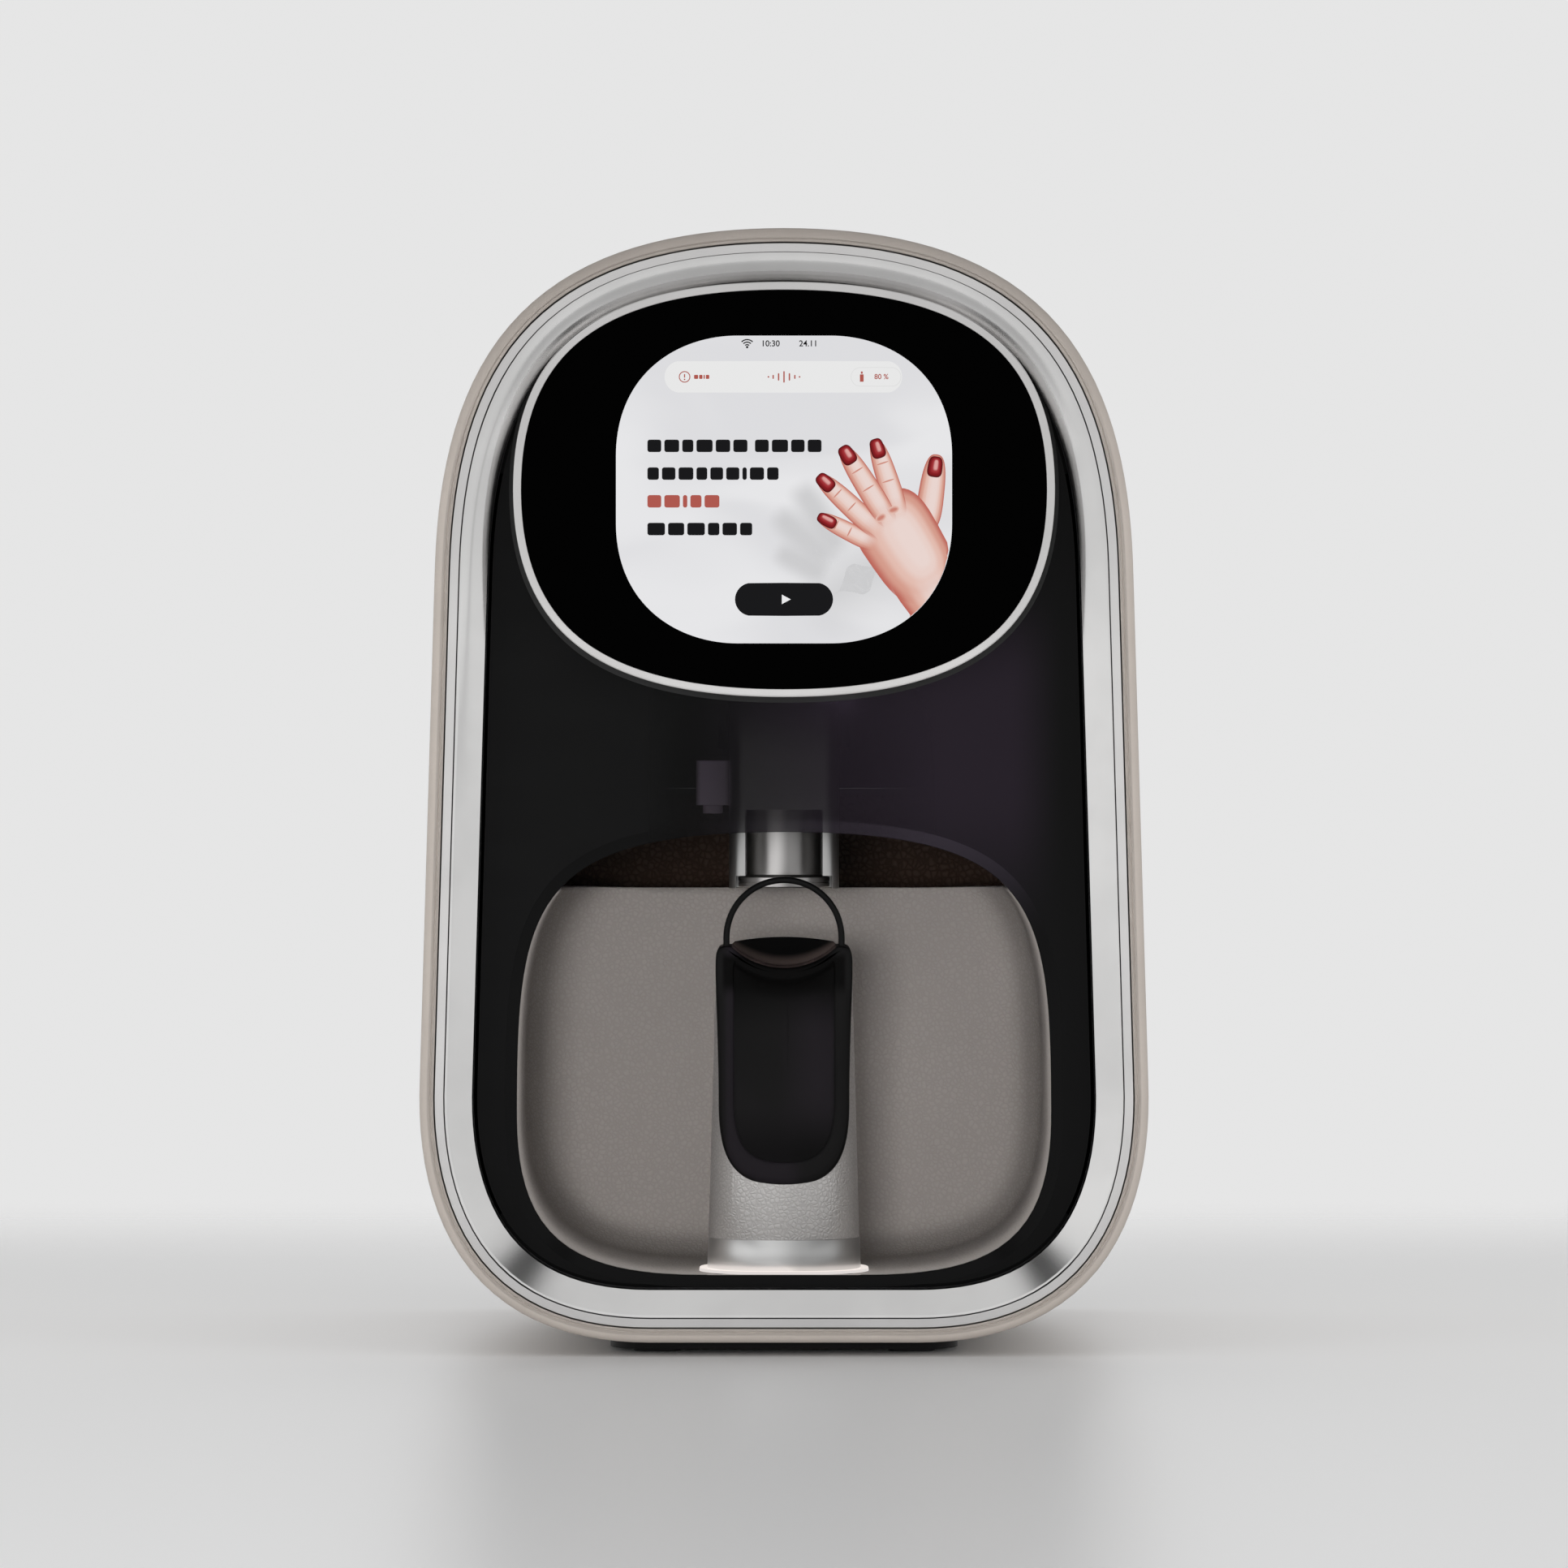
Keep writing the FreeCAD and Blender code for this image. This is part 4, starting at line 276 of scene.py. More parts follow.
def loft(name, rings, closed=False, first_cap=False, last_cap=False, smooth=35):
    """A skin through the rings. Closed joins the last ring to the first, and a cap fills an end."""
    bpy.ops.mesh.primitive_circle_add(vertices=len(rings[0]), radius=1 * MM)
    piece = bpy.context.object
    piece.name = piece.data.name = name
    for kept in ("spoke", "band"):
        piece.data.attributes.new(kept, "INT", "POINT")
    piece.data.attributes["spoke"].data.foreach_set("value", range(len(rings[0])))
    edit_mode()
    for number, points in enumerate(rings + rings[:1] if closed else rings):
        if number:
            bpy.ops.mesh.extrude_region_move()
        put_selected(piece, points, number)
    if last_cap:
        bpy.ops.mesh.edge_face_add()
    if first_cap:
        select_where(piece, lambda vert, band: vert[band] == 0)
        bpy.ops.mesh.edge_face_add()
    return close_skin(piece, smooth, closed)


# %% Finishing a piece
SLOT_OF = {part["node"]: part["material_slot"] for part in frame["record"]["subparts"]}
BODY_OF = {node: body for body, nodes in frame["record"]["behaviour"]["bodies"].items() for node in nodes}


def finish_piece(piece, material, *nodes, body="cabinet", slot=None):
    """Gives a piece its material and the body of the nodes that it stands for, or the body named. The slot is
    not used.
    """
    if nodes:
        body, slot = BODY_OF[nodes[0]], SLOT_OF[nodes[0]]
    piece.data.materials.clear()
    piece.data.materials.append(material)
    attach(piece, body)
    if nodes:
        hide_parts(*nodes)
    print(piece.name, "has", len(piece.data.polygons), "faces")
    return piece


def joined(name, pieces, material, slot="display_light", body="cabinet"):
    """Several pieces made one and finished; most of them are parts of the screen's picture."""
    select_only(*pieces)
    bpy.ops.object.join()
    pieces[0].name = pieces[0].data.name = name
    return finish_piece(pieces[0], material, body=body, slot=slot)


# %% [markdown]
# ## Round parts
# The barrel, its nozzle plate, the rods and the lens are turned on a lathe, so each is a loft through
# circles. A profile lists radius and place along the axis, and the axis may be any of the three.
# %% The lathe
LATHE_STEPS = 72


def circle(radius, at, centre, axis="z", steps=LATHE_STEPS):
    """A circle about an axis through the centre, at a place along that axis."""
    points = []
    for i in range(steps):
        a, b = radius * math.cos(2 * math.pi * i / steps), radius * math.sin(2 * math.pi * i / steps)
        spot = {"z": (a, b, at), "y": (b, at, a), "x": (at, a, b)}[axis]
        points.append((Vector(spot) + Vector(centre)) * MM)
    return points


def turned(name, profile, centre, axis="z", steps=LATHE_STEPS, caps=True, smooth=35):
    """A turned part; its profile runs from one end to the other as (radius, place)."""
    rings = [circle(radius, at, centre, axis, steps) for radius, at in profile]
    return loft(name, rings, first_cap=caps, last_cap=caps, smooth=smooth)


# %% [markdown]
# ## Building a material from nodes
# A finish is a Principled shader fed by procedural nodes. Small helpers keep the wiring short: they add a
# node and connect its inputs, calculate with sockets, and start a node group, the shared effect that several
# finishes use with their own values. Groups put out only masks, colours and heights, and the shader stays in
# the material.
# %% Node helpers
MADE = {}


def add_node(tree, kind, inputs=(), **settings):
    """A shader node; an input given as a socket is linked, and any other is set."""
    made = tree.nodes.new("ShaderNode" + kind)
    for key, value in settings.items():
        setattr(made, key, value)
    for key, value in dict(inputs).items():
        if isinstance(value, bpy.types.NodeSocket):
            tree.links.new(value, made.inputs[key])
        else:
            made.inputs[key].default_value = value
    return made


def add_group(group, place, **values):
    """The outputs of a node that holds a group, at a place and with its other sockets set."""
    return add_node(place.id_data, "Group", {"Place": place, **values}, node_tree=group).outputs


def link(node, sockets):
    """Links sockets to the inputs of a node by their labels."""
    for label, socket in sockets.items():
        node.id_data.links.new(socket, node.inputs[label])


def new_group(name, inputs, outputs):
    """An empty node group, with the sockets that it is given and the node that takes its results."""
    group = bpy.data.node_groups.new(name, "ShaderNodeTree")
    for way, sockets in (("INPUT", inputs), ("OUTPUT", outputs)):
        for label, kind in sockets.items():
            group.interface.new_socket(label, in_out=way, socket_type="NodeSocket" + kind)
    given = group.nodes.new("NodeGroupInput")
    return group, [given.outputs[label] for label in inputs], group.nodes.new("NodeGroupOutput")


def new_material(name, **values):
    """A material with a Principled shader whose plain sockets are set; it is also kept under its name."""
    material = MADE[name] = bpy.data.materials.new(name)
    material.use_nodes = True
    shader = shader_of(material)
    for label, value in values.items():
        shader.inputs[label.replace("_", " ")].default_value = value
    return material, shader, add_node(material.node_tree, "TexCoord").outputs["Object"]


def shader_of(material):
    return material.node_tree.nodes["Principled BSDF"]


def axes_of(material):
    """The three object coordinates in a material."""
    place = material.node_tree.nodes["Texture Coordinate"].outputs["Object"]
    return add_node(material.node_tree, "SeparateXYZ", {0: place}).outputs


# %% Calculating with sockets
def calculated(operation, *values):
    """A calculation, of which at least one value is a socket."""
    tree = next(value.id_data for value in values if isinstance(value, bpy.types.NodeSocket))
    return add_node(tree, "Math", enumerate(values), operation=operation).outputs[0]


def product(first, second):
    return calculated("MULTIPLY", first, second)


def scaled(socket, factor, shift=0.0):
    """A value times a factor, plus a shift."""
    return calculated("MULTIPLY_ADD", socket, factor, shift)


def noise(place, size, detail, **more):
    return add_node(place.id_data, "TexNoise", {"Vector": place, "Scale": size, "Detail": detail, **more})


def remap(socket, low, high, start, end):
    """A value taken smoothly from one range to another."""
    values = {"Value": socket, "From Min": low, "From Max": high, "To Min": start, "To Max": end}
    return add_node(socket.id_data, "MapRange", values, interpolation_type="SMOOTHSTEP").outputs["Result"]


def between(socket, start, full, fading, end):
    """A mask that rises between two values and falls between two later ones."""
    return product(remap(socket, start, full, 0.0, 1.0), remap(socket, fading, end, 1.0, 0.0))


def ramp(axis, low, high, start, end):
    """A value that changes smoothly between two places on an axis, which are in millimetres."""
    return remap(axis, low * MM, high * MM, start, end)


def strip(axis, *places):
    """A mask between four places on an axis, which are in millimetres."""
    return between(axis, *(place * MM for place in places))


def blended(share, first, second):
    """A colour between two, by a share from 0 to 1."""
    mix = add_node(share.id_data, "Mix", data_type="RGBA")
    for identifier, value in {"Factor_Float": share, "A_Color": first, "B_Color": second}.items():
        socket = next(s for s in mix.inputs if s.identifier == identifier)
        if isinstance(value, bpy.types.NodeSocket):
            mix.id_data.links.new(value, socket)
        else:
            socket.default_value = (*value, 1)
    return next(s for s in mix.outputs if s.identifier == "Result_Color")


# %% Tones
def toned(material, make_tone):
    """Multiplies a finish's base colour by a tone that a function makes from the three object coordinates."""
    base = shader_of(material).inputs["Base Color"].links[0].from_socket
    tone = make_tone(*axes_of(material))
    tinted = add_node(material.node_tree, "VectorMath", {0: base, "Scale": tone}, operation="SCALE")
    link(shader_of(material), {"Base Color": tinted.outputs[0]})


def toned_along(material, axis, *span):
    """Tones a finish along one axis; the span is two places in millimetres, and the tone at each."""
    toned(material, lambda *axes: ramp(axes["xyz".index(axis)], *span))


def surfaced(shader, colour, roughness, height, lift):
    """Gives a shader its colour, its roughness and the height of its grain, whose lift is in millimetres."""
    bump = add_node(shader.id_data, "Bump", {"Height": height, "Distance": lift * MM, "Strength": 1.0})
    link(shader, {"Base Color": colour, "Roughness": roughness, "Normal": bump.outputs[0]})


# %% [markdown]
# ## Leather grain
# Fine leather is a field of small soft pads with creases between them. A Voronoi pattern gives the pads, a
# noise bends it so that no two are alike, and a finer noise adds pores. A second, wide noise varies the tone,
# because a hide is never one colour.
# %% The leather grain group
def leather_grain_group():
    inputs = {"Place": "Vector", "Cells": "Float", "Pores": "Float"}
    outputs = {"Height": "Float", "Tone": "Float", "Crease": "Float"}
    group, (place, cells, depth), result = new_group("leather_grain", inputs, outputs)
    wander = noise(place, scaled(cells, 0.45), 2.0).outputs["Color"]
    offset = add_node(group, "VectorMath", {0: wander, 1: (0.5, 0.5, 0.5)}, operation="SUBTRACT").outputs[0]
    reach = calculated("DIVIDE", 1.1, cells)
    bend = add_node(group, "VectorMath", {0: offset, "Scale": reach}, operation="SCALE").outputs[0]
    bent = add_node(group, "VectorMath", {0: place, 1: bend}, operation="ADD").outputs[0]
    pads = add_node(group, "TexVoronoi", {"Vector": bent, "Scale": cells}, feature="DISTANCE_TO_EDGE")
    pad = remap(pads.outputs["Distance"], 0.0, 0.28, 0.0, 1.0)
    pores = product(noise(place, scaled(cells, 2.6), 3.0).outputs["Fac"], depth)
    wide = noise(place, scaled(cells, 0.03), 3.0).outputs["Fac"]
    tone, crease = remap(wide, 0.3, 0.7, 0.0, 1.0), scaled(pad, -1.0, 1.0)
    link(result, {"Height": calculated("ADD", pad, pores), "Tone": tone, "Crease": crease})
    return group


LEATHER_GRAIN = leather_grain_group()


# %% Leathers
def leather(name, light, deep, cells, lift, pores, roughness):
    """Leather with pads of 1 / cells metres, whose grain has a lift in millimetres."""
    material, shader, place = new_material(name, Specular_IOR_Level=0.35)
    grain = add_group(LEATHER_GRAIN, place, Cells=cells, Pores=pores)
    hide = blended(grain["Tone"], light, [c * 0.94 for c in light])
    colour = blended(scaled(grain["Crease"], 0.55), hide, deep)
    surfaced(shader, colour, scaled(grain["Crease"], 0.2, roughness), grain["Height"], lift)
    return material


def piping_shade(x, y, z):
    """Painted shade in the crease by the piping: the foremost face of the wrap is darkened, fading out over
    the crown.
    """
    foremost = ramp(y, -99.85, -99.97, 0.0, 0.28)
    return scaled(product(foremost, ramp(z, 250, 300, 1.0, 0.0)), -1.0, 1.0)


taupe_leather = leather("taupe_leather", (0.48, 0.431, 0.391), (0.45, 0.403, 0.365), 2000, 0.007, 0.4, 0.55)
chamber_leather = leather("chamber_leather", (0.43, 0.397, 0.373), (0.36, 0.327, 0.304), 680, 0.10, 0.25, 0.5)
post_leather = leather("post_leather", (0.66, 0.643, 0.632), (0.56, 0.543, 0.532), 760, 0.07, 0.25, 0.36)
shader_of(post_leather).inputs["Metallic"].default_value = 0.78
leather("dark_leather", (0.042, 0.025, 0.018), (0.016, 0.009, 0.006), 520, 0.18, 0.5, 0.5)
# Painted shade: the wrap's leather is darkened towards the top of the cabinet.
toned_along(taupe_leather, "z", 240, 334, 1.0, 0.68)
# Painted shade along the crease by the piping.
toned(taupe_leather, piping_shade)
# Painted shade: the post's leather is darker on its right side.
toned_along(post_leather, "x", -5, 6, 1.0, 0.88)
print("leathers ready")

# %% [markdown]
# ## Blasted and polished metal
# The trim is aluminium, blasted with fine beads and then anodised: it shines softly, and its face holds a
# speckle that is felt more than seen. The barrel is polished instead and mirrors the room. Both use one
# group, with more or less speckle.
# %% The speckle group and the metals
def speckle_group():
    inputs, outputs = {"Place": "Vector", "Size": "Float"}, {"Height": "Float", "Haze": "Float"}
    group, (place, size), result = new_group("speckle", inputs, outputs)
    beads = noise(place, size, 2.0, Roughness=0.7).outputs["Fac"]
    haze = noise(place, scaled(size, 0.012), 4.0).outputs["Fac"]
    link(result, {"Height": beads, "Haze": remap(haze, 0.3, 0.7, 0.0, 1.0)})
    return group


SPECKLE = speckle_group()


def speckled(name, colour, roughness, lift, size=3200, spread=0.06, metallic=1.0, level=0.5):
    """A finish with a fine speckle and a roughness that wanders a little; the lift is in millimetres."""
    material, shader, place = new_material(name, Metallic=metallic, Specular_IOR_Level=level)
    grain = add_group(SPECKLE, place, Size=size)
    tint = blended(grain["Haze"], colour, [c * 0.93 for c in colour])
    surfaced(shader, tint, scaled(grain["Haze"], spread, roughness), grain["Height"], lift)
    return material


def moulded(name, colour, roughness, lift, size=3200, level=0.5):
    """The same finish without metal."""
    return speckled(name, colour, roughness, lift, size, metallic=0.0, level=level)


satin_metal = speckled("satin_metal", (0.71, 0.705, 0.70), 0.16, 0.003, spread=0.03)
shoe_metal = speckled("shoe_metal", (0.80, 0.80, 0.795), 0.40, 0.005)
sleeve_metal = speckled("sleeve_metal", (0.50, 0.50, 0.495), 0.32, 0.004)
screw_metal = speckled("screw_metal", (0.16, 0.16, 0.165), 0.34, 0.004)
bright_metal = speckled("bright_metal", (0.69, 0.68, 0.675), 0.17, 0.001, spread=0.04)
polished_metal = speckled("polished_metal", (0.78, 0.76, 0.75), 0.34, 0.001, spread=0.04)
speckled("steel", (0.56, 0.56, 0.57), 0.28, 0.004, 2200)
speckled("bronze", (0.50, 0.34, 0.16), 0.4, 0.02, 2600)
speckled("brass", (0.60, 0.44, 0.17), 0.28, 0.004)
moulded("black_metal", (0.020, 0.020, 0.022), 0.45, 0.02, 2400)
black_wire = moulded("black_wire", (0.002, 0.002, 0.002), 0.35, 0.004, 2600, level=0.15)


# %% Tones of the metals
def roll_mask(y, z):
    """Where the bezel rolls in round the pod: behind its flat face, most of all at the shoulders."""
    return product(ramp(y, -99.2, -97.4, 0.0, 1.0), strip(z, 262, 280, 306, 328))


def hazed_roll():
    """The roll is blasted more coarsely than the flat, so it mirrors the dark pod only dimly."""
    x, y, z = axes_of(satin_metal)
    rough = shader_of(satin_metal).inputs["Roughness"].links[0].from_socket
    link(shader_of(satin_metal), {"Roughness": product(rough, scaled(roll_mask(y, z), 0.5, 1.0))})


# Painted shade: the bezel, trim and pod ring metals are darkened over the crown.
for metal in (satin_metal, bright_metal):
    toned_along(metal, "z", 205, 250, 1.0, 0.87)
# Painted reflection: the shoe's metal is darkened on its right side.
toned_along(shoe_metal, "x", -4, 6, 1.0, 0.62)
# Painted highlight: the shoe's metal is brightened along its foot.
toned_along(shoe_metal, "z", 24, 28.5, 1.75, 1.0)
# Painted reflection: the barrel is darkened right of its middle and lightens a little again towards its right
# edge.
toned_along(polished_metal, "x", -2.5, 1.6, 1.0, 0.40)
toned_along(polished_metal, "x", 3, 8, 1.0, 1.6)
hazed_roll()
# Painted light: the roll's colour is lifted by up to half again, so it reads lighter where it mirrors the
# dark pod.
toned(satin_metal, lambda x, y, z: scaled(roll_mask(y, z), 0.55, 1.0))
print("metals ready")

# %% [markdown]
# ## Mouldings and rubber
# Moulded parts take a fine spark-eroded texture from their tool, and soft-touch rubber is almost mute. They
# are the same speckle, larger and without metal.
# %% Plastics and rubbers
black_plastic = moulded("black_plastic", (0.010, 0.010, 0.0105), 0.48, 0.03, 1700)
grey_plastic = moulded("grey_plastic", (0.135, 0.125, 0.117), 0.5, 0.06, 1300, level=0.4)
soft_touch = moulded("soft_touch", (0.0036, 0.0034, 0.0036), 0.5, 0.006, 2600, level=0.22)
belt_rubber = moulded("belt_rubber", (0.010, 0.010, 0.010), 0.65, 0.02, 1800)
label_grey = moulded("label_grey", (0.34, 0.33, 0.32), 0.5, 0.004)
camera_grey = moulded("camera_grey", (0.74, 0.62, 0.76), 0.5, 0.004)
moulded("pad_rubber", (0.006, 0.006, 0.006), 0.7, 0.03, 1500)
moulded("board_green", (0.010, 0.060, 0.030), 0.35, 0.01, 900)
moulded("cartridge_plastic", (0.045, 0.045, 0.052), 0.25, 0.004)
print("plastics ready")

# %% [markdown]
# ## Smoked acrylic and black glass
# The visor is dyed so dark that only bright things behind it show, faintly, and only where the print column
# stands. Its own colour is neutral, and a plum glow is painted into it from the middle to the right as
# painted light; the mouth's bevel takes a brighter plum, a painted highlight. The touch glass is printed
# black from behind and has an anti-glare layer, so it hardly mirrors anything. The visor and the glass keep
# traces of wiping in their roughness, which one group gives them.
# %% Traces of wiping
def wipe_group():
    inputs = {"Place": "Vector", "Size": "Float"}
    group, (place, size), result = new_group("wipe_marks", inputs, {"Marks": "Float"})
    drift = add_node(group, "Mapping", {"Vector": place, "Rotation": (0, 0.6, 0), "Scale": (1, 1, 3)})
    marks = noise(drift.outputs[0], size, 4.0).outputs["Fac"]
    link(result, {"Marks": remap(marks, 0.35, 0.75, 0.0, 1.0)})
    return group


WIPE_MARKS = wipe_group()


def wiped(place, size, smooth, rough):
    """A roughness between two values, where a cloth has passed."""
    return scaled(add_group(WIPE_MARKS, place, Size=size)["Marks"], rough - smooth, smooth)


# %% The visor and the glass
BLACK = (0.0, 0.0, 0.0, 1)


def smoked_visor(name, black, plum):
    material, shader, place = new_material(name, Specular_IOR_Level=0.03)
    x, y, z = axes_of(material)
    # Painted light: a plum glow from the middle of the visor to its right.
    painted_glow = product(strip(x, -34, 30, 66, 84), strip(z, 120, 170, 200, 235))
    clear = product(strip(x, -42, -26, 22, 50), strip(z, 146, 156, 175, 212))
    link(shader, {
        "Base Color": blended(painted_glow, black, plum),
        "Roughness": wiped(place, 35.0, 0.05, 0.11),
        "Alpha": scaled(clear, -0.40, 1.0),
    })
    return material


def black_glass():
    material, shader, place = new_material("black_glass", Specular_IOR_Level=0.01)
    shader.inputs["Base Color"].default_value = (0.0001, 0.0001, 0.0001, 1)
    link(shader, {"Roughness": wiped(place, 40.0, 0.03, 0.09)})
    return material


visor_finish = smoked_visor("smoked_visor", (0.0058, 0.0058, 0.0059), (0.0165, 0.0125, 0.0180))
# Painted highlight: the mouth's polished bevel takes the same acrylic with a brighter plum.
edge_highlight = smoked_visor("polished_edge_highlight", (0.0058, 0.0058, 0.0059), (0.0380, 0.0310, 0.0420))
glass_finish = black_glass()


# %% Light that a piece gives off
def glowing(name, colour):
    """A lit surface of one colour, under the same glass."""
    values = {"Base_Color": BLACK, "Emission_Color": (*colour, 1), "Emission_Strength": 1.0}
    return new_material(name, Specular_IOR_Level=0.06, Roughness=0.06, **values)[0]


def glowing_by_band(name, stops, last, alphas=None):
    """A lit surface whose colour runs through stops from the first ring of its loft to the last."""
    material = glowing(name, stops[0])
    band = add_node(material.node_tree, "Attribute", attribute_name="band").outputs["Fac"]
    colour, spans = stops[0], len(stops) - 1
    for i, stop in enumerate(stops[1:]):
        share = remap(band, last * i / spans, last * (i + 1) / spans, 0.0, 1.0)
        colour = blended(share, colour, stop)
    if spans:
        link(shader_of(material), {"Emission Color": colour})
    if alphas:
        link(shader_of(material), {"Alpha": remap(band, 0.0, last, *alphas)})
    return material


ring_light = glowing_by_band("ring_light", [(0.73, 0.685, 0.665), (0.81, 0.74, 0.70)], 5)
print("glass and lights ready")

# %% [markdown]
# ## The leather wrap
# The hide is stretched over the moulded tube and turned over both of its ends, where it bends in a soft
# bullnose. Its inner edge is a fine piping, set off by a crease. The section is walked once round: side,
# bullnose, crease, piping, the short lip that is tucked in, and back along the inside.
# %% Leather wrap
BULLNOSE = 3.0
SKIN = 1.2
LIP_INSET, LIP_DEPTH = 4.2, 0.4
PIPING = [(3.10, 0.10), (3.18, 0.32), (3.26, 0.32), (3.34, 0.12)]
PIPING += [(3.46, 0.03), (3.75, 0.0), (4.0, 0.06), (4.14, 0.2)]
ARC_STEPS = 10


def quarter(steps=ARC_STEPS):
    """Shares (sine, cosine) of a quarter turn."""
    return [(math.sin(math.pi / 2 * i / steps), math.cos(math.pi / 2 * i / steps)) for i in range(steps + 1)]


# (inset, y) of the front half of the wrap's section, from the middle of its side to its inner face
front_half = [(BULLNOSE * (1 - c), wrap.y0 + BULLNOSE * (1 - s)) for s, c in quarter()]
front_half += [(inset, wrap.y0 + depth) for inset, depth in PIPING]
front_half += [(LIP_INSET, wrap.y0 + LIP_DEPTH), (LIP_INSET, wrap.y0 + SKIN), (SKIN, wrap.y0 + SKIN)]
back_half = [(inset, -y) for inset, y in reversed(front_half)]
skin = loft("wrap_leather", rings_of(cabinet, front_half + back_half), closed=True, smooth=60)
finish_piece(skin, taupe_leather, "leather_wrap")

# %% [markdown]
# ## Trim ring and bezel
# Two metal bands fill the front. The narrow one is flat with its edges just broken. The wide one leads the
# eye down to the visor. Low on the cabinet it is a plain bevel, which mirrors one piece of the room at a
# time, and over the crown it swells into a roll, whose slope grows evenly, so each ring of its loft mixes the
# two by height.
# %% Trim ring
TRIM_WIDTH, BROKEN_EDGE = 2.6, 0.14

trim_in, bezel_in = trim.z0 - wrap.z0, bezel.z0 - wrap.z0
trim_end = trim_in + TRIM_WIDTH
broken = [(0, BROKEN_EDGE), (BROKEN_EDGE * 0.3, BROKEN_EDGE * 0.3), (BROKEN_EDGE, 0)]
trim_section = [(trim_in, trim.y1)] + [(trim_in + inset, trim.y0 + depth) for inset, depth in broken]
trim_section += [(trim_end - inset, trim.y0 + depth) for inset, depth in reversed(broken)]
trim_section += [(trim_end, trim.y1)]
trim_piece = loft("trim_band", rings_of(cabinet, trim_section), closed=True, smooth=20)
finish_piece(trim_piece, bright_metal, "trim_ring")

# %% Bezel
BEZEL_WIDTH, BEZEL_FLAT, BEZEL_EDGE = 8.0, 0.5, 0.10
BEVEL_DROP = 3.2
ROLL_START, ROLL_END_SLOPE, ROLL_LEAN = 0.08, math.radians(58), 0.25
ROLL_STEPS = 18
ROLL_LOW, ROLL_HIGH = 150.0, 290.0
CLOSING_LOW, CLOSING_HEIGHT, CLOSING_GAP = 285, 35, 0.05


def clamped(value):
    return min(max(value, 0.0), 1.0)


def eased(value):
    """A share that starts and ends slowly."""
    value = clamped(value)
    return value * value * (3 - 2 * value)


def roll_drop(share):
    """How far the roll has sunk; its slope grows evenly from nothing to its end slope."""
    turn = max(share - ROLL_START, 0.0) / (1 - ROLL_START)
    run = (BEZEL_WIDTH - BEZEL_FLAT) * (1 - ROLL_START) / ROLL_END_SLOPE
    return ROLL_LEAN * share - run * math.log(math.cos(turn * ROLL_END_SLOPE))


def face_ring(share):
    """A ring of the bezel's face, from its outer edge at 0 to its inner edge at 1."""
    points = ring(cabinet, bezel_in + BEZEL_FLAT + (BEZEL_WIDTH - BEZEL_FLAT) * share, bezel.y0)
    bevel = BEVEL_DROP * share
    for point in points:
        swell = eased((point.z / MM - ROLL_LOW) / (ROLL_HIGH - ROLL_LOW))
        point.y += (bevel + (roll_drop(share) - bevel) * swell) * MM
    return points


def meeting_ring(inset, y):
    """A ring at the bezel's outer edge; over the crown it closes up to the trim."""
    closing = bezel_in - trim_in - TRIM_WIDTH - CLOSING_GAP
    wide, tight = ring(cabinet, inset, y), ring(cabinet, inset - closing, y)
    return [a.lerp(b, clamped((a.z / MM - CLOSING_LOW) / CLOSING_HEIGHT)) for a, b in zip(wide, tight)]


bezel_rings = [meeting_ring(bezel_in, bezel.y1), meeting_ring(bezel_in, bezel.y0 + BEZEL_EDGE)]
bezel_rings += [meeting_ring(bezel_in + BEZEL_EDGE, bezel.y0)]
bezel_rings += [face_ring(i / ROLL_STEPS) for i in range(ROLL_STEPS + 1)]
bezel_rings += [ring(cabinet, bezel_in + BEZEL_WIDTH, bezel.y1)]
bezel_piece = loft("bezel_band", bezel_rings, closed=True, smooth=30)
finish_piece(bezel_piece, satin_metal, "front_bezel")

# %% [markdown]
# ## The visor
# The visor is one plate of acrylic with a chamfered rim, and the chamber's mouth is cut through it with a
# wide polished bevel. The loft runs from the rim to the mouth, so the plate is one closed skin with a hole.
# The two outlines differ in shape, so each spoke points at one centre, and no face folds over its neighbour.
# %% Visor
VISOR_INSET = 15.8
VISOR_CHAMFER = 1.0
MOUTH_BEVEL, MOUTH_BEVEL_DEPTH = 3.4, 1.0
EDGE_SOFT = 0.12
VISOR_CENTRE = 88.0
FACING_STEPS = 1200
MOUTH_REACH, RIM_START = 83, 84

visor_rim = [(VISOR_INSET, visor.y1), (VISOR_INSET, visor.y0 + VISOR_CHAMFER)]
visor_rim += [(VISOR_INSET + VISOR_CHAMFER, visor.y0)]
mouth_rim = [
    (-MOUTH_BEVEL - EDGE_SOFT, visor.y0),
    (-MOUTH_BEVEL, visor.y0 + EDGE_SOFT * 0.3),
    (-EDGE_SOFT, visor.y0 + MOUTH_BEVEL_DEPTH - EDGE_SOFT * 0.3),
    (0, visor.y0 + MOUTH_BEVEL_DEPTH + EDGE_SOFT),
    (0, visor.y1),
]


def facing_walk(walk, runs, centre):
    """A walk of the runs whose points lie in the same directions from a centre as those of another walk."""
    fine = even_walk(runs, FACING_STEPS)
    ways = [math.atan2(point.x, centre - point.y) for point, _ in fine]
    found, k = [], 0
    for point, _ in walk:
        way = math.atan2(point.x, centre - point.y)
        while k < len(fine) - 1 and ways[k] < way:
            k += 1
        found.append(fine[k])
    return found


mouth_facing = facing_walk(cabinet, mouth_runs(), VISOR_CENTRE)
visor_rings = rings_of(cabinet, visor_rim) + rings_of(mouth_facing, mouth_rim)
visor_piece = loft("visor_plate", visor_rings, closed=True, smooth=12)
finish_piece(visor_piece, visor_finish, "visor")
visor_piece.data.materials.append(edge_highlight)
visor_piece.data.materials.append(glass_finish)
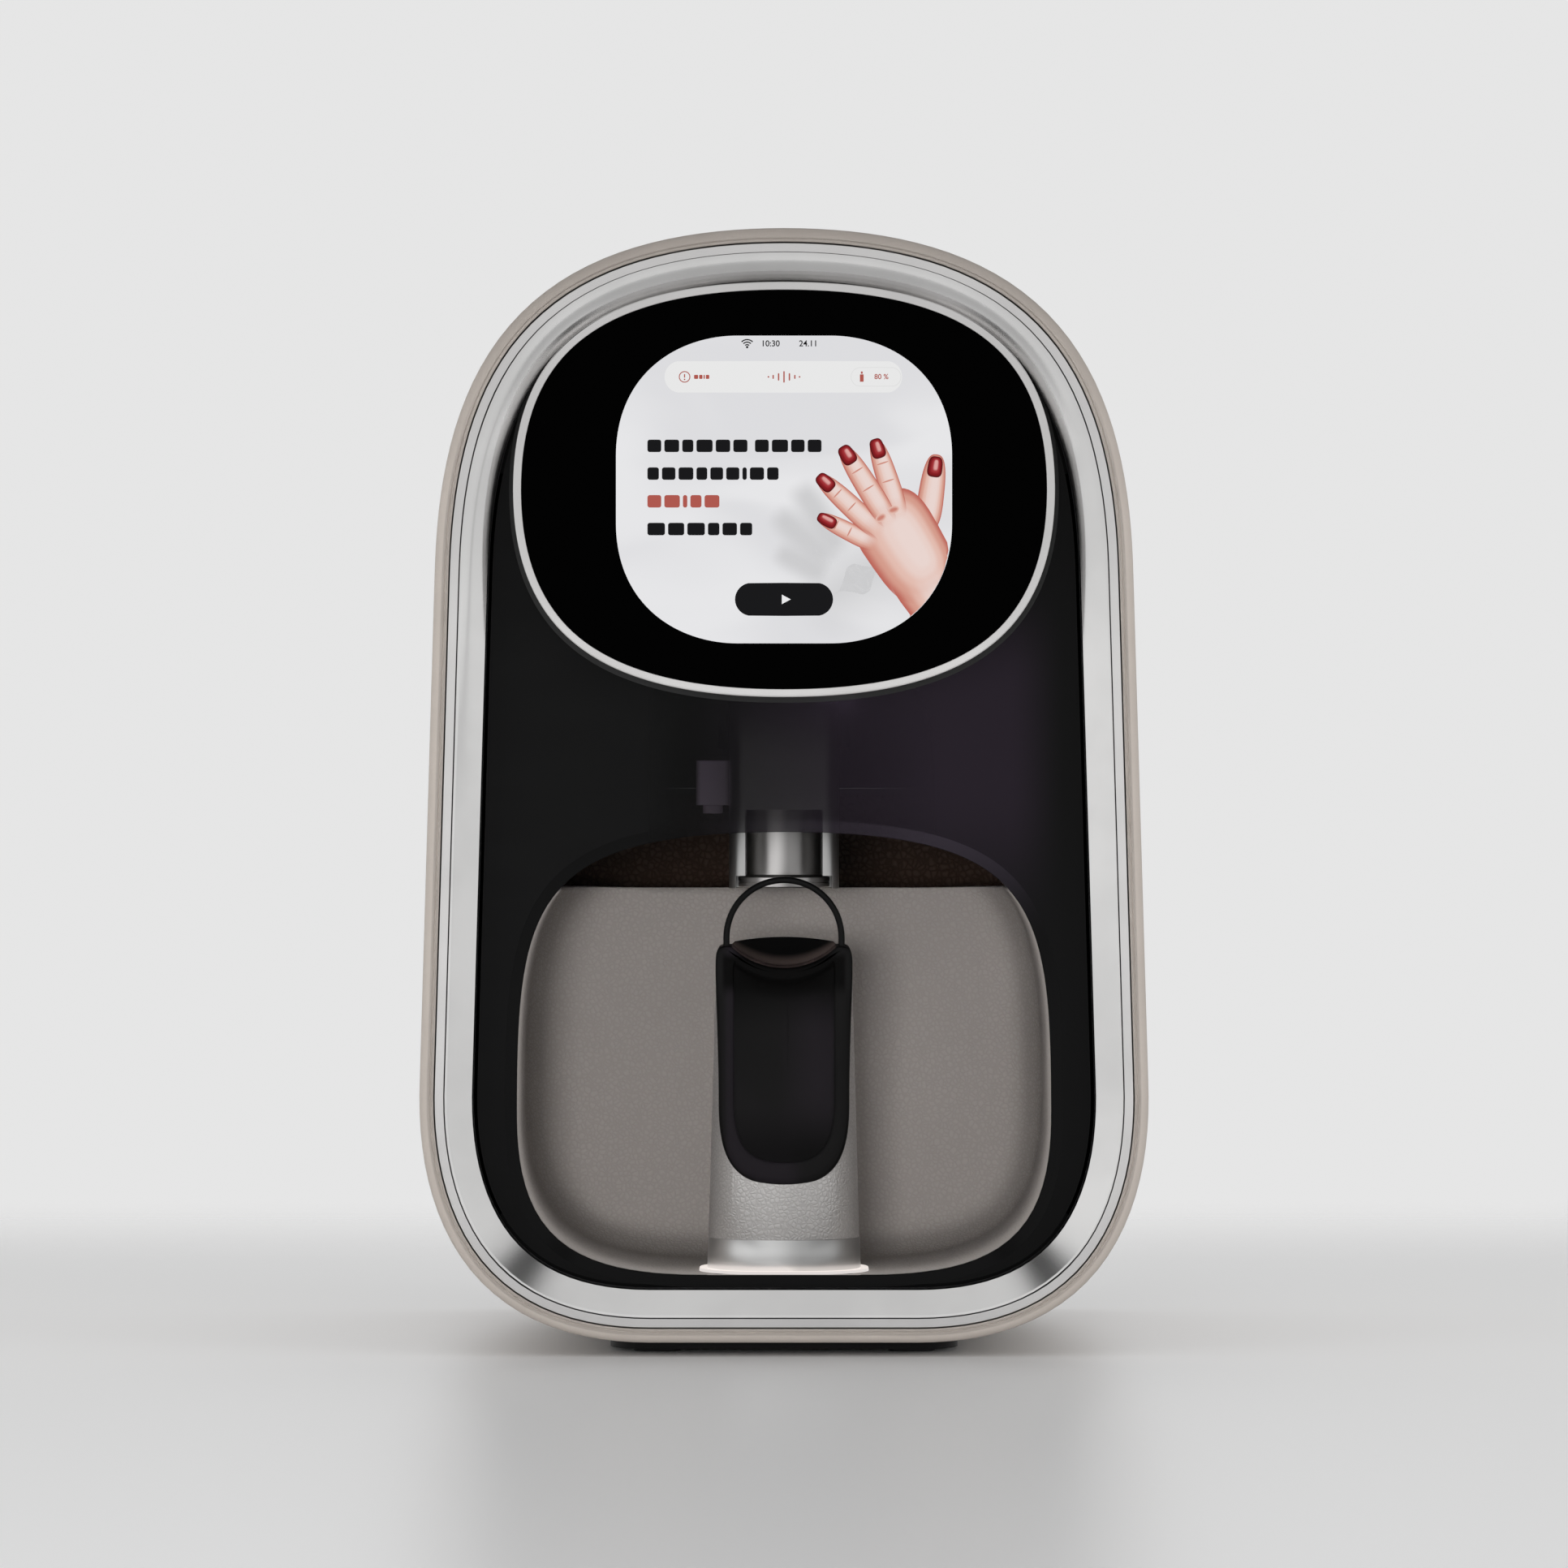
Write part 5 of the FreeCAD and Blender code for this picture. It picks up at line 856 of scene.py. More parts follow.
# Painted highlight on the mouth's bevel faces (index 1), and painted shade on the rim's side faces (index 2):
# black glass there makes the gap at the bezel read black.
for face in visor_piece.data.polygons:
    in_bevel = -0.98 < face.normal.y < -0.3 and face.center.y < (visor.y0 + MOUTH_BEVEL_DEPTH) * MM
    if in_bevel and abs(face.center.x) < MOUTH_REACH * MM:
        face.material_index = 1
    elif abs(face.normal.x) > 0.3 and abs(face.center.x) > RIM_START * MM:
        face.material_index = 2

# %% [markdown]
# ## The display pod
# The pod is a fine metal ring with one sheet of glass over all of it. The lit panel is bonded to the glass
# from behind, so the picture seems to lie in its surface: the loft of the glass crosses from the black border
# to the picture at the screen's outline, and the faces inside take the lit finish.
# %% Pod ring and glass
POD_RING, POD_EDGE, POD_INNER_EDGE = 2.4, 0.4, 0.12
GLASS_INSET, GLASS_EDGE = 2.5, 0.15

pod_section = [(0, pod.y1)] + [(POD_EDGE * (1 - c), pod.y0 + POD_EDGE * (1 - s)) for s, c in quarter(4)]
pod_section += [(POD_RING - POD_INNER_EDGE, pod.y0), (POD_RING, pod.y0 + POD_INNER_EDGE), (POD_RING, pod.y1)]
pod_ring = loft("pod_ring", rings_of(pod_line, pod_section), closed=True, smooth=25)
finish_piece(pod_ring, bright_metal, "display_bezel")

glass_rim = [(GLASS_INSET, glass.y1), (GLASS_INSET, glass.y0 + GLASS_EDGE)]
glass_rim += [(GLASS_INSET + GLASS_EDGE, glass.y0)]
glass_rings = rings_of(pod_line, glass_rim) + [ring(screen_line, 0, glass.y0)]
glass_piece = loft("glass_cover", glass_rings, first_cap=True, last_cap=True)
finish_piece(glass_piece, glass_finish, "touch_glass")

# %% [markdown]
# A soft black gasket is set round the pod where its shadow falls on the visor: painted shade made as a part.
# %% Gasket round the pod
GASKET, GASKET_ROUND = 1.5, 0.3
GASKET_LIP, GASKET_FACE, GASKET_BACK = -0.05, -0.2, 0.3
gasket_section = [(-GASKET, GASKET_BACK), (-GASKET, GASKET_LIP), (-GASKET + GASKET_ROUND, GASKET_FACE)]
gasket_section += [(0.05, GASKET_FACE), (0.05, GASKET_BACK)]
# Painted shade: a black band round the pod, where its shadow on the visor falls.
shade_gasket = loft("pod_shade_gasket", [ring(pod_line, i, visor.y0 + depth) for i, depth in gasket_section], closed=True)
finish_piece(shade_gasket, belt_rubber, slot="black_plastic")

# %% [markdown]
# ## The picture on the screen
# The panel shows a start page: a status line, a header, a greeting, a drawing of a hand with painted nails
# and a start button. All of it is flat pieces laid on the glass like stickers, each a hundredth of a
# millimetre above the last, and all of it glows. There are no words, so lines of small blocks stand where
# words would be.
# %% The lit background
LAYER = 0.012
SCREEN_Y = glass.y0
WALL = (0.79, 0.79, 0.805)


def screen_glow():
    """Daylight on a wall: pale, a little violet, with a soft diagonal shade."""
    material = glowing("screen_glow", WALL)
    place = material.node_tree.nodes["Texture Coordinate"].outputs["Object"]
    turn = {"Vector": place, "Rotation": (0, math.radians(35), 0), "Scale": (9, 1, 22)}
    slant = add_node(material.node_tree, "Mapping", turn)
    drift = noise(slant.outputs[0], 1.6, 1.5, Distortion=0.6).outputs["Fac"]
    glow = blended(remap(drift, 0.38, 0.62, 0.0, 1.0), WALL, (0.715, 0.715, 0.735))
    link(shader_of(material), {"Emission Color": glow})
    return material


lit = glass_piece.data
lit.materials.append(screen_glow())
for face in lit.polygons:
    if len(face.vertices) > 4 and abs(face.center.y - SCREEN_Y * MM) < 1e-6:
        face.material_index = 1
print("lit faces", sum(face.material_index for face in lit.polygons))

# %% [markdown]
# ## Flat pieces
# A sticker is a filled circle whose halves are pulled apart in edit mode until it is as long and as high as
# it should be, which leaves its corners round. Stickers of one colour are joined.
# %% Stickers
CORNER_POINTS = 32


def pull(piece, axis, distance):
    """Moves the points past a mesh's middle on an axis one way, and those on its other side the other way."""
    for side in (-1, 1):
        select_where(piece, lambda vert, band: vert.co[axis] * side > 1e-9)
        step = [0.0, 0.0, 0.0]
        step[axis] = side * distance
        bpy.ops.transform.translate(value=step, orient_type="LOCAL")


def put_on_glass(piece, x, z, layer):
    """Stands a flat piece up in front of the glass; x and z are from the pod's middle, in millimetres."""
    place = Matrix.Translation((x * MM, (SCREEN_Y - layer * LAYER) * MM, (pod.z + z) * MM))
    piece.data.transform(place @ Matrix.Rotation(math.pi / 2, 4, "X"))
    return piece


def sticker(x, z, width, height, layer, corner=None):
    """A flat rounded plate on the glass."""
    corner = min(corner or width, width / 2, height / 2)
    bpy.ops.mesh.primitive_circle_add(vertices=CORNER_POINTS, radius=corner * MM, fill_type="NGON")
    piece = bpy.context.object
    bpy.ops.object.mode_set(mode="EDIT")
    pull(piece, 0, (width / 2 - corner) * MM)
    pull(piece, 1, (height / 2 - corner) * MM)
    bpy.ops.object.mode_set(mode="OBJECT")
    return put_on_glass(piece, x, z, layer)


# %% The greeting, in blocks
INK = glowing("screen_ink", (0.006, 0.006, 0.007))
ROSE = glowing("screen_rose", (0.42, 0.095, 0.075))
WHITE = glowing("screen_white", (0.82, 0.82, 0.83))
LINE_TOP, LINE_PITCH, LINE_LEFT = 12.9, 8.2, -40.4
BLOCK_HEIGHT, BLOCK_GAP, WORD_GAP = 3.7, 0.9, 2.2
GREETING = [
    [4.1, 4.4, 3.3, 4.8, 4.3, 4.2, 0, 4.1, 4.8, 4.0, 4.1],
    [3.4, 4.0, 4.4, 3.2, 3.8, 3.9, 1.3, 4.2, 3.4],
    [4.1, 4.6, 1.3, 3.3, 4.4],
    [5.2, 4.8, 5.2, 3.4, 4.3, 3.6],
]


def block_line(widths, x, z, height, gap, layer=2):
    """A row of blocks; a width of nothing is a space between words."""
    blocks = []
    for width in widths:
        if width:
            blocks.append(sticker(x + width / 2, z, width, height, layer, corner=height / 5))
        x += width + gap if width else WORD_GAP - gap
    return blocks


rows = []
for number, widths in enumerate(GREETING):
    rows.append(block_line(widths, LINE_LEFT, LINE_TOP - number * LINE_PITCH, BLOCK_HEIGHT, BLOCK_GAP))
joined("screen_greeting", rows[0] + rows[1] + rows[3], INK)
joined("screen_greeting_rose", rows[2], ROSE)

# %% [markdown]
# ## Status line and header
# The status line has an aerial sign, made of three arcs, and plain numbers. An arc is a flat turned band, cut
# to a quarter by two bisects. Numbers are text, made a mesh and only then laid on the glass. Under it a pale
# header holds a help sign, a small ornament and a level sign with its percentage.
# %% Arcs and numbers
ARC_SIDES = 48
CAPITAL_SHARE, STROKE_SHARE = 0.7, 0.02


def cut(place, facing):
    """Cuts away what lies beyond a plane from the mesh in hand."""
    bpy.ops.mesh.select_all(action="SELECT")
    bpy.ops.mesh.bisect(plane_co=place, plane_no=facing, clear_outer=True)


def arc(x, z, outer, inner, layer, quarter_only=True):
    """A flat ring, or its upper quarter."""
    at = SCREEN_Y - layer * LAYER
    band = turned("arc", [(outer, at), (inner, at)], (x, 0, pod.z + z), axis="y", steps=ARC_SIDES, caps=False)
    if quarter_only:
        bpy.ops.object.mode_set(mode="EDIT")
        for side in (-1, 1):
            cut((x * MM, 0, (pod.z + z) * MM), (side, 0, -1))
        bpy.ops.object.mode_set(mode="OBJECT")
    return band


def numbers(words, x, z, height, layer):
    """Plain numbers, centred on a point of the screen."""
    bpy.ops.object.text_add(location=(0, 0, 0))
    text = bpy.context.object.data
    text.body = words
    text.size = height / CAPITAL_SHARE * MM
    text.offset = height * STROKE_SHARE * MM
    text.align_x, text.align_y = "CENTER", "CENTER"
    bpy.ops.object.convert(target="MESH")
    return put_on_glass(bpy.context.object, x, z, layer)


# %% Status line and header
STATUS_Z, HEADER_Z = 43.1, 33.3
AERIAL_X, HELP_X, BOTTLE_X, LEVEL_X = -10.9, -29.4, 23.0, 27.2
HELP_MARK, BOTTLE = ((-0.75, 0.45, 0.45), (0.3, 0.35, 1.1)), ((-0.35, 1.1, 2.2), (1.25, 0.55, 0.7))
ORNAMENT = ((-3.2, 1.2), (-1.6, 2.2), (0, 3.4), (1.6, 2.2), (3.2, 1.2))
PALE = glowing("screen_pale", (0.80, 0.80, 0.80))
HAIRLINE = glowing("screen_hairline", (0.70, 0.70, 0.70))

status = [arc(AERIAL_X, STATUS_Z - 1.1, r, r - 0.36, 2) for r in (1.0, 1.75, 2.5)]
status += [sticker(AERIAL_X, STATUS_Z - 1.0, 0.7, 0.7, 2)]
status += [numbers("10:30", -4.0, STATUS_Z, 1.75, 2), numbers("24.11", 7.2, STATUS_Z, 1.75, 2)]
joined("screen_status", status, INK)
joined("screen_header", [sticker(-0.2, HEADER_Z, 70.3, 9.4, 1)], PALE)
joined("screen_level_outline", [sticker(LEVEL_X, HEADER_Z, 14.9, 5.7, 2)], HAIRLINE)
joined("screen_level_field", [sticker(LEVEL_X, HEADER_Z, 14.6, 5.4, 3)], PALE)
signs = [arc(HELP_X, HEADER_Z, 1.7, 1.42, 3, False)]
signs += [sticker(HELP_X, HEADER_Z + z, width, height, 3) for z, width, height in HELP_MARK]
signs += block_line([1.2, 1.0, 0.4, 1.0], -26.6, HEADER_Z, 1.2, 0.3, 3)
signs += [sticker(BOTTLE_X, HEADER_Z + z, width, height, 4, 0.15) for z, width, height in BOTTLE]
signs += [sticker(x, HEADER_Z, 0.42, height, 3) for x, height in ORNAMENT]
signs += [sticker(x, HEADER_Z, 0.5, 0.5, 3) for x in (-4.6, 4.6)]
joined("screen_signs", signs + [numbers("80 %", 28.8, HEADER_Z, 1.5, 4)], ROSE)

# %% Start button
BUTTON_Z = -32.5
PLAY_X, PLAY_SIZE, PLAY_REACH = 0.3, 3.4, 0.85

joined("screen_button", [sticker(0, BUTTON_Z, 29.0, 9.8, 5)], INK)
play = sticker(PLAY_X, BUTTON_Z, PLAY_SIZE, PLAY_SIZE, 6)
bpy.ops.object.mode_set(mode="EDIT")
for angle in (0, 2 * math.pi / 3, -2 * math.pi / 3):
    facing = (math.cos(angle + math.pi), 0, math.sin(angle + math.pi))
    cut((Vector((PLAY_X, 0, pod.z + BUTTON_Z)) + Vector(facing) * PLAY_REACH) * MM, facing)
bpy.ops.mesh.select_all(action="SELECT")
bpy.ops.mesh.edge_face_add()
bpy.ops.object.mode_set(mode="OBJECT")
joined("screen_play", [play], WHITE)

# %% [markdown]
# ## The hand on the screen
# The drawing is an open hand that comes in from the lower right corner. Each finger, the palm and each nail
# is a flat blob: a loft through shrinking outlines that all lie in one plane. Every ring of the loft keeps
# its number, and the finish reads that number to run from a warm red at the rim to pale skin within. No blob
# may leave the screen, so a point outside its outline is drawn back onto it.
# %% Blobs
BLOB_STEPS, BLOB_RINGS = 40, 5
SCREEN_RIM = []
for x, _, z in ring(screen_line, 0.1, 0):
    SCREEN_RIM.append((math.atan2(z / MM - pod.z, x / MM), math.hypot(x / MM, z / MM - pod.z)))


def held_in(x, z):
    """The point itself, or the point of the screen's rim in its direction if it lies outside."""
    angle, reach = math.atan2(z, x), math.hypot(x, z)
    near = sorted(SCREEN_RIM, key=lambda rim: abs(math.remainder(rim[0] - angle, 2 * math.pi)))[:2]
    limit = min(near[0][1], near[1][1])
    share = min(1.0, limit / reach) if reach else 1.0
    return x * share, z * share


def direction(degrees):
    return Vector((math.cos(math.radians(degrees)), math.sin(math.radians(degrees))))


def fuller(value, power):
    """A sine or cosine raised to a power below 1, which squares a round outline a little."""
    return math.copysign(abs(value) ** power, value)


def blob(x, z, length, width, lie, layer, taper=0.0, fullness=0.6, lit=(0.0, 0.0), core=0.15):
    """A flat tapering lozenge; lie is the direction it points in, and lit moves its pale core."""
    along = direction(lie)
    across = Vector((-along.y, along.x))
    rings = []
    for number in range(BLOB_RINGS + 1):
        sunk = (1 - core) * number / BLOB_RINGS
        drawn_in = sunk * width / 2
        points = []
        for i in range(BLOB_STEPS):
            angle = 2 * math.pi * i / BLOB_STEPS
            reach = fuller(math.cos(angle), fullness)
            side = fuller(math.sin(angle), fullness) * (1 - taper * reach)
            spot = along * reach * (length / 2 - drawn_in) + across * side * (width / 2 - drawn_in)
            spot += Vector((x, z)) + Vector(lit) * sunk
            spot = Vector(held_in(spot.x, spot.y))
            points.append(Vector((spot.x, SCREEN_Y - layer * LAYER, pod.z + spot.y)) * MM)
        rings.append(points)
    piece = loft("blob", rings, last_cap=True)
    reach = piece.data.attributes.new("reach", "FLOAT", "POINT")
    flat = [Vector((vert.co.x / MM - x, vert.co.z / MM - pod.z - z)) for vert in piece.data.vertices]
    reach.data.foreach_set("value", [spot.dot(along) * 2 / length for spot in flat])
    return piece


# %% Shadow of the hand
SHADE = glowing_by_band("screen_shade", [(0.58, 0.58, 0.59)], BLOB_RINGS, (0.0, 0.85))
PALM = (36.0, -17.0, 34.0, 23.0, 122.0)
FINGERS = [
    (30.6, 3.0, 25.0, 6.4, 108.0),
    (24.6, 0.8, 28.0, 6.8, 122.0),
    (19.6, -4.8, 26.0, 6.4, 137.0),
    (19.0, -12.4, 20.0, 5.4, 153.0),
]
SHADOW_LEFT, SHADOW_DOWN, SHADOW_SPREAD = 14.0, 9.5, 2.1

shadow = []
for number, (x, z, length, width, lie) in enumerate(FINGERS[1:] + [PALM]):
    layer = 1 + number * 0.2
    shadow.append(blob(x - SHADOW_LEFT, z - SHADOW_DOWN, length, width * SHADOW_SPREAD, lie, layer, core=0.1))
joined("screen_shadow", shadow, SHADE)

# %% Skin
SKIN_STOPS = [(0.50, 0.13, 0.10), (0.66, 0.33, 0.26), (0.76, 0.50, 0.43)]
SKIN_STOPS += [(0.80, 0.62, 0.57), (0.81, 0.66, 0.62)]
SKIN_TONE = glowing_by_band("screen_skin", SKIN_STOPS, BLOB_RINGS)
SKIN_FADED = glowing_by_band("screen_skin_faded", SKIN_STOPS, BLOB_RINGS)
reach = add_node(SKIN_FADED.node_tree, "Attribute", attribute_name="reach").outputs["Fac"]
link(shader_of(SKIN_FADED), {"Alpha": remap(reach, -0.98, -0.42, 0.0, 1.0)})

thumb = blob(43.6, -1.0, 23.0, 7.6, 82.0, 4, 0.12, 0.7, (0.8, 0.6))
wrist = blob(45.0, -31.5, 30.0, 19.0, 126.0, 5, -0.05, 0.6, (2.0, 1.5))
palm = blob(*PALM, 6, -0.08, 0.62, (2.2, 1.6))
fingers = [blob(*FINGERS[i], 7 + n, 0.10, 0.72, (0.8, 0.5)) for n, i in enumerate((0, 3, 2, 1))]
joined("screen_wrist", [thumb, wrist], SKIN_TONE)
joined("screen_hand", [palm] + fingers, SKIN_FADED)

# %% Creases and nails
CREASE = glowing_by_band("screen_crease", [(0.76, 0.50, 0.43), (0.58, 0.22, 0.17)], BLOB_RINGS)
NAIL_STOPS = [(0.075, 0.0035, 0.005), (0.22, 0.008, 0.011), (0.36, 0.03, 0.035), (0.72, 0.36, 0.34)]
NAIL = glowing_by_band("screen_nail", NAIL_STOPS, BLOB_RINGS)
CREASE_FORM = (11, 0, 1.0)
NAIL_FORM = (12, 0.08, 0.62, (0.35, 0.75), 0.12)
NAIL_BACK = 2.9
KNUCKLES = ((32.4, -6.0, 108), (28.6, -8.4, 122))

creases = [blob(x, z, 3.4, 2.2, lie + 90, *CREASE_FORM) for x, z, lie in KNUCKLES]
nails = []
for x, z, length, width, lie in FINGERS:
    way = direction(lie)
    for share in (-0.02, 0.20):
        at_x, at_z = x + way.x * length * share, z + way.y * length * share
        creases.append(blob(at_x, at_z, width * 0.62, 0.55, lie + 90, *CREASE_FORM))
    tip = Vector((x, z)) + way * (length / 2 - NAIL_BACK)
    nails.append(blob(tip.x, tip.y, 6.0, width * 0.66, lie, *NAIL_FORM))
nails.append(blob(44.7, 6.7, 6.2, 4.4, 82.0, *NAIL_FORM))
joined("screen_creases", creases, CREASE)
joined("screen_nails", nails, NAIL)

# %% [markdown]
# ## The chamber's lining
# A soft tub of leather lines the hand chamber. Its walls run straight back and turn into the back wall in a
# wide fillet, which takes the light slowly. The tub is open above, where the print column comes down, so its
# loft is cut there with a bisect, and Solidify gives the hide its thickness.
# %% Chamber lining
LINER_OUTSET, LINER_WALL = 0.2, 1.2
CHAMBER_ROUND, CHAMBER_ROUND_STEPS = 14.2, 16
DIM_START, DIM_FULL = -75, -40


def apply_modifier(piece, kind, **settings):
    """Adds a modifier to a piece and applies it."""
    select_only(piece)
    modifier = piece.modifiers.new(kind.lower(), kind)
    for key, value in settings.items():
        setattr(modifier, key, value)
    bpy.ops.object.modifier_apply(modifier=modifier.name)


def lining_shade(x, y, z):
    """Painted shade: the hide is darkened in the fillet, and it is also a little darker towards the mouth."""
    bent = strip(y, DIM_START, DIM_FULL, chamber_back - 5, chamber_back - 0.2)
    outer = ramp(y, DIM_START, DIM_FULL, 1.0, 0.0)
    return product(scaled(bent, -0.30, 1.0), scaled(outer, -0.16, 1.0))


chamber_back = liner.y1 - LINER_WALL
lining_section = [(-LINER_OUTSET, liner.y0)]
for s, c in quarter(CHAMBER_ROUND_STEPS):
    lining_section.append((CHAMBER_ROUND * (1 - c) - LINER_OUTSET, chamber_back + CHAMBER_ROUND * (s - 1)))
lining = loft("chamber_lining", rings_of(mouth, lining_section), last_cap=True, smooth=60)
bpy.ops.object.mode_set(mode="EDIT")
cut((0, 0, liner.z1 * MM), (0, 0, 1))
bpy.ops.object.mode_set(mode="OBJECT")
apply_modifier(lining, "SOLIDIFY", thickness=LINER_WALL * MM, offset=1.0, use_even_offset=True)
# Painted shade in the lining's fillet, and a little towards its mouth.
toned(chamber_leather, lining_shade)
finish_piece(lining, chamber_leather, "chamber_liner")

# %% [markdown]
# ## The finger post
# The post is a rounded block that narrows as it rises. Its skin is a moulded leather grain, a metal band
# shoes its foot, and under that lies a clear ring that glows. All three are lofts through rounded rectangles,
# whose corners are quarter circles. A pocket for the grip is cut from the post with a Boolean.
# %% Rounded rectangles
CORNER_STEPS = 14


def slab(half_width, half_depth, corner, z, y):
    """A rounded rectangle lying at height z about the axis x = 0 and y."""
    points = []
    for turn, (side, end) in enumerate(((1, -1), (1, 1), (-1, 1), (-1, -1))):
        for i in range(CORNER_STEPS + 1):
            angle = math.pi / 2 * (turn - 1 + i / CORNER_STEPS)
            x = side * (half_width - corner) + corner * math.cos(angle)
            depth = end * (half_depth - corner) + corner * math.sin(angle)
            points.append(Vector((x, y + depth, z)) * MM)
    return points

POST_FOOT, POST_HEAD = (45.8, 41.0), (41.0, 37.0)
POST_CORNER = 18.0
skirt, light = Box("post_skirt"), Box("light_ring")


def post_ring(grow, z):
    """The post's outline at a height, grown outward."""
    share = (z - skirt.z0) / (post.z1 - skirt.z0)
    half_width, half_depth = ((foot + (head - foot) * share) / 2 for foot, head in zip(POST_FOOT, POST_HEAD))
    return slab(half_width + grow, half_depth + grow, POST_CORNER + grow, z, post.y)


# %% Post, skirt and light ring
SOFT_TOP = 1.2
BROKEN, BROKEN_TOP = 0.15, 0.12
SKIRT_PROUD, SKIRT_WALL = 0.15, 2.4
RING_ROUND = 0.35
POCKET, POCKET_AT = (30.0, 16.0, 62.0), (0, -84 * MM, 90 * MM)

post_rings = [post_ring(-BROKEN, skirt.z1), post_ring(0, skirt.z1 + BROKEN)]
post_rings += [post_ring(-SOFT_TOP * (1 - c), post.z1 - SOFT_TOP * (1 - s)) for s, c in quarter(5)]
post_skin = loft("post_skin", post_rings, first_cap=True, last_cap=True, smooth=50)
bpy.ops.mesh.primitive_cube_add(size=1 * MM, location=POCKET_AT, scale=POCKET)
cutter = bpy.context.object
apply_modifier(post_skin, "BOOLEAN", object=cutter, operation="DIFFERENCE", solver="EXACT")
bpy.data.objects.remove(cutter)
select_only(post_skin)
bpy.ops.object.shade_smooth_by_angle(angle=math.radians(50))
finish_piece(post_skin, post_leather, "post_body")

skirt_section = [(-SKIRT_WALL, skirt.z0), (SKIRT_PROUD - BROKEN, skirt.z0), (SKIRT_PROUD, skirt.z0 + BROKEN)]
skirt_section += [(SKIRT_PROUD, skirt.z1 - BROKEN_TOP), (SKIRT_PROUD - BROKEN_TOP, skirt.z1)]
skirt_section += [(-SKIRT_WALL, skirt.z1)]
skirt_piece = loft("post_shoe", [post_ring(grow, z) for grow, z in skirt_section], closed=True, smooth=50)
finish_piece(skirt_piece, shoe_metal, "post_skirt")

ring_half, ring_depth = light.x1, (light.y1 - light.y0) / 2
ring_corner = POST_CORNER + ring_half - POST_FOOT[0] / 2
light_section = [(0, light.z0)]
light_section += [(RING_ROUND * (1 - c), light.z1 - RING_ROUND * (1 - s)) for s, c in quarter(4)]
light_rings = []
for inset, z in light_section:
    light_rings.append(slab(ring_half - inset, ring_depth - inset, ring_corner - inset, z, light.y))
light_piece = loft("glow_ring", light_rings, first_cap=True, last_cap=True, smooth=60)
finish_piece(light_piece, ring_light, "light_ring")

# %% [markdown]
# ## The grip
# The grip is one soft moulding: a tall pad with a thumb groove, shoulders that hold the hoop, and a trough on
# top for the finger. It is easiest to see from the front, so it is lofted from front to back. Every ring has
# the same stretches (foot, side, shoulder and trough), and each stretch always gets the same number of
# points, so the groove lines up with the outline round it.
# %% Outlines of the grip
GRIP_HALF, GRIP_SHOULDER_HALF = 19.5, 20.4
GRIP_FOOT, GRIP_FOOT_RISE = 49.6, 1.25
FOOT_PULL, SIDE_PULL = 0.744, 0.892
TROUGH_HALF, TROUGH_RADIUS, TROUGH_FLOOR = 15.7, 22.457, 114.6
SHOULDER_TOP, SHOULDER_DROP = 121.0, 6
GROOVE_HALF, GROOVE_BOTTOM, GROOVE_TOP_DROP = 14.9, 56.6, 3.0
GRIP_STEPS = (22, 14, 10, 16)
grip = Box("grip_pad")


def trough_run(half, floor, radius):
    """The arc of the trough, from its edge down to its middle."""
    angle = math.asin(half / radius)
    handle = 4 / 3 * math.tan(angle / 4) * radius
    edge = Vector((half, floor + radius * (1 - math.cos(angle))))
    return [edge, edge - Vector((math.cos(angle), math.sin(angle))) * handle, (handle, floor), (0, floor)]


def foot_run(half, foot):
    """The full round foot, from its lowest point to where the side runs straight."""
    rise = foot + GRIP_FOOT_RISE * half
    return [(0, foot), (FOOT_PULL * half, foot), (half, rise - SIDE_PULL * half), (half, rise)]


def grip_runs():
    foot = foot_run(GRIP_HALF, GRIP_FOOT)
    rise = foot[-1][1]
    trough = trough_run(TROUGH_HALF, TROUGH_FLOOR, TROUGH_RADIUS)
    bulge, top = (GRIP_SHOULDER_HALF, SHOULDER_TOP - SHOULDER_DROP), (GRIP_SHOULDER_HALF, SHOULDER_TOP)
    return [
        foot,
        [foot[-1], (GRIP_HALF, rise + 18), (GRIP_SHOULDER_HALF, bulge[1] - 10), bulge],
        [bulge, top, (GRIP_SHOULDER_HALF - 0.6, SHOULDER_TOP), trough[0]],
        trough,
    ]


def groove_runs():
    foot = foot_run(GROOVE_HALF, GROOVE_BOTTOM)
    rise = foot[-1][1]
    trough = trough_run(GROOVE_HALF - 0.5, TROUGH_FLOOR - GROOVE_TOP_DROP, TROUGH_RADIUS)
    side = (GROOVE_HALF, trough[0][1] - 4)
    return [
        foot,
        [foot[-1], (GROOVE_HALF, rise + 12), (GROOVE_HALF, side[1] - 12), side],
        [side, (GROOVE_HALF, side[1] + 2), (GROOVE_HALF, side[1] + 3.4), trough[0]],
        trough,
    ]


grip_line, groove_line = by_runs(grip_runs(), GRIP_STEPS), by_runs(groove_runs(), GRIP_STEPS)
print("grip outline has", len(ring(grip_line, 0, 0)), "points")

# %% The groove's floor
GROOVE_DEPTH, GROOVE_RISE = 1.1, 2.5
SCOOP, SCOOP_NEAR, SCOOP_FAR = 2.4, 7.0, 34.0
GROOVE_EDGE = 1.0
SPINE_LOW, SPINE_HIGH = 74.0, 104.0


def groove_depth(x, z):
    """How deep the thumb groove is: it dives under the lip, and rises slowly to its foot."""
    arch = TROUGH_RADIUS - math.sqrt(max(TROUGH_RADIUS**2 - x * x, 0.0))
    below = TROUGH_FLOOR - GROOVE_TOP_DROP + arch - z
    scoop = eased(below / SCOOP_NEAR) * (1 - eased((below - SCOOP_NEAR) / SCOOP_FAR))
    hollow = 1 - (x / GROOVE_HALF) ** 4 if abs(x) < GROOVE_HALF else 0.0
    return GROOVE_DEPTH * eased(below / GROOVE_RISE) + SCOOP * scoop * hollow


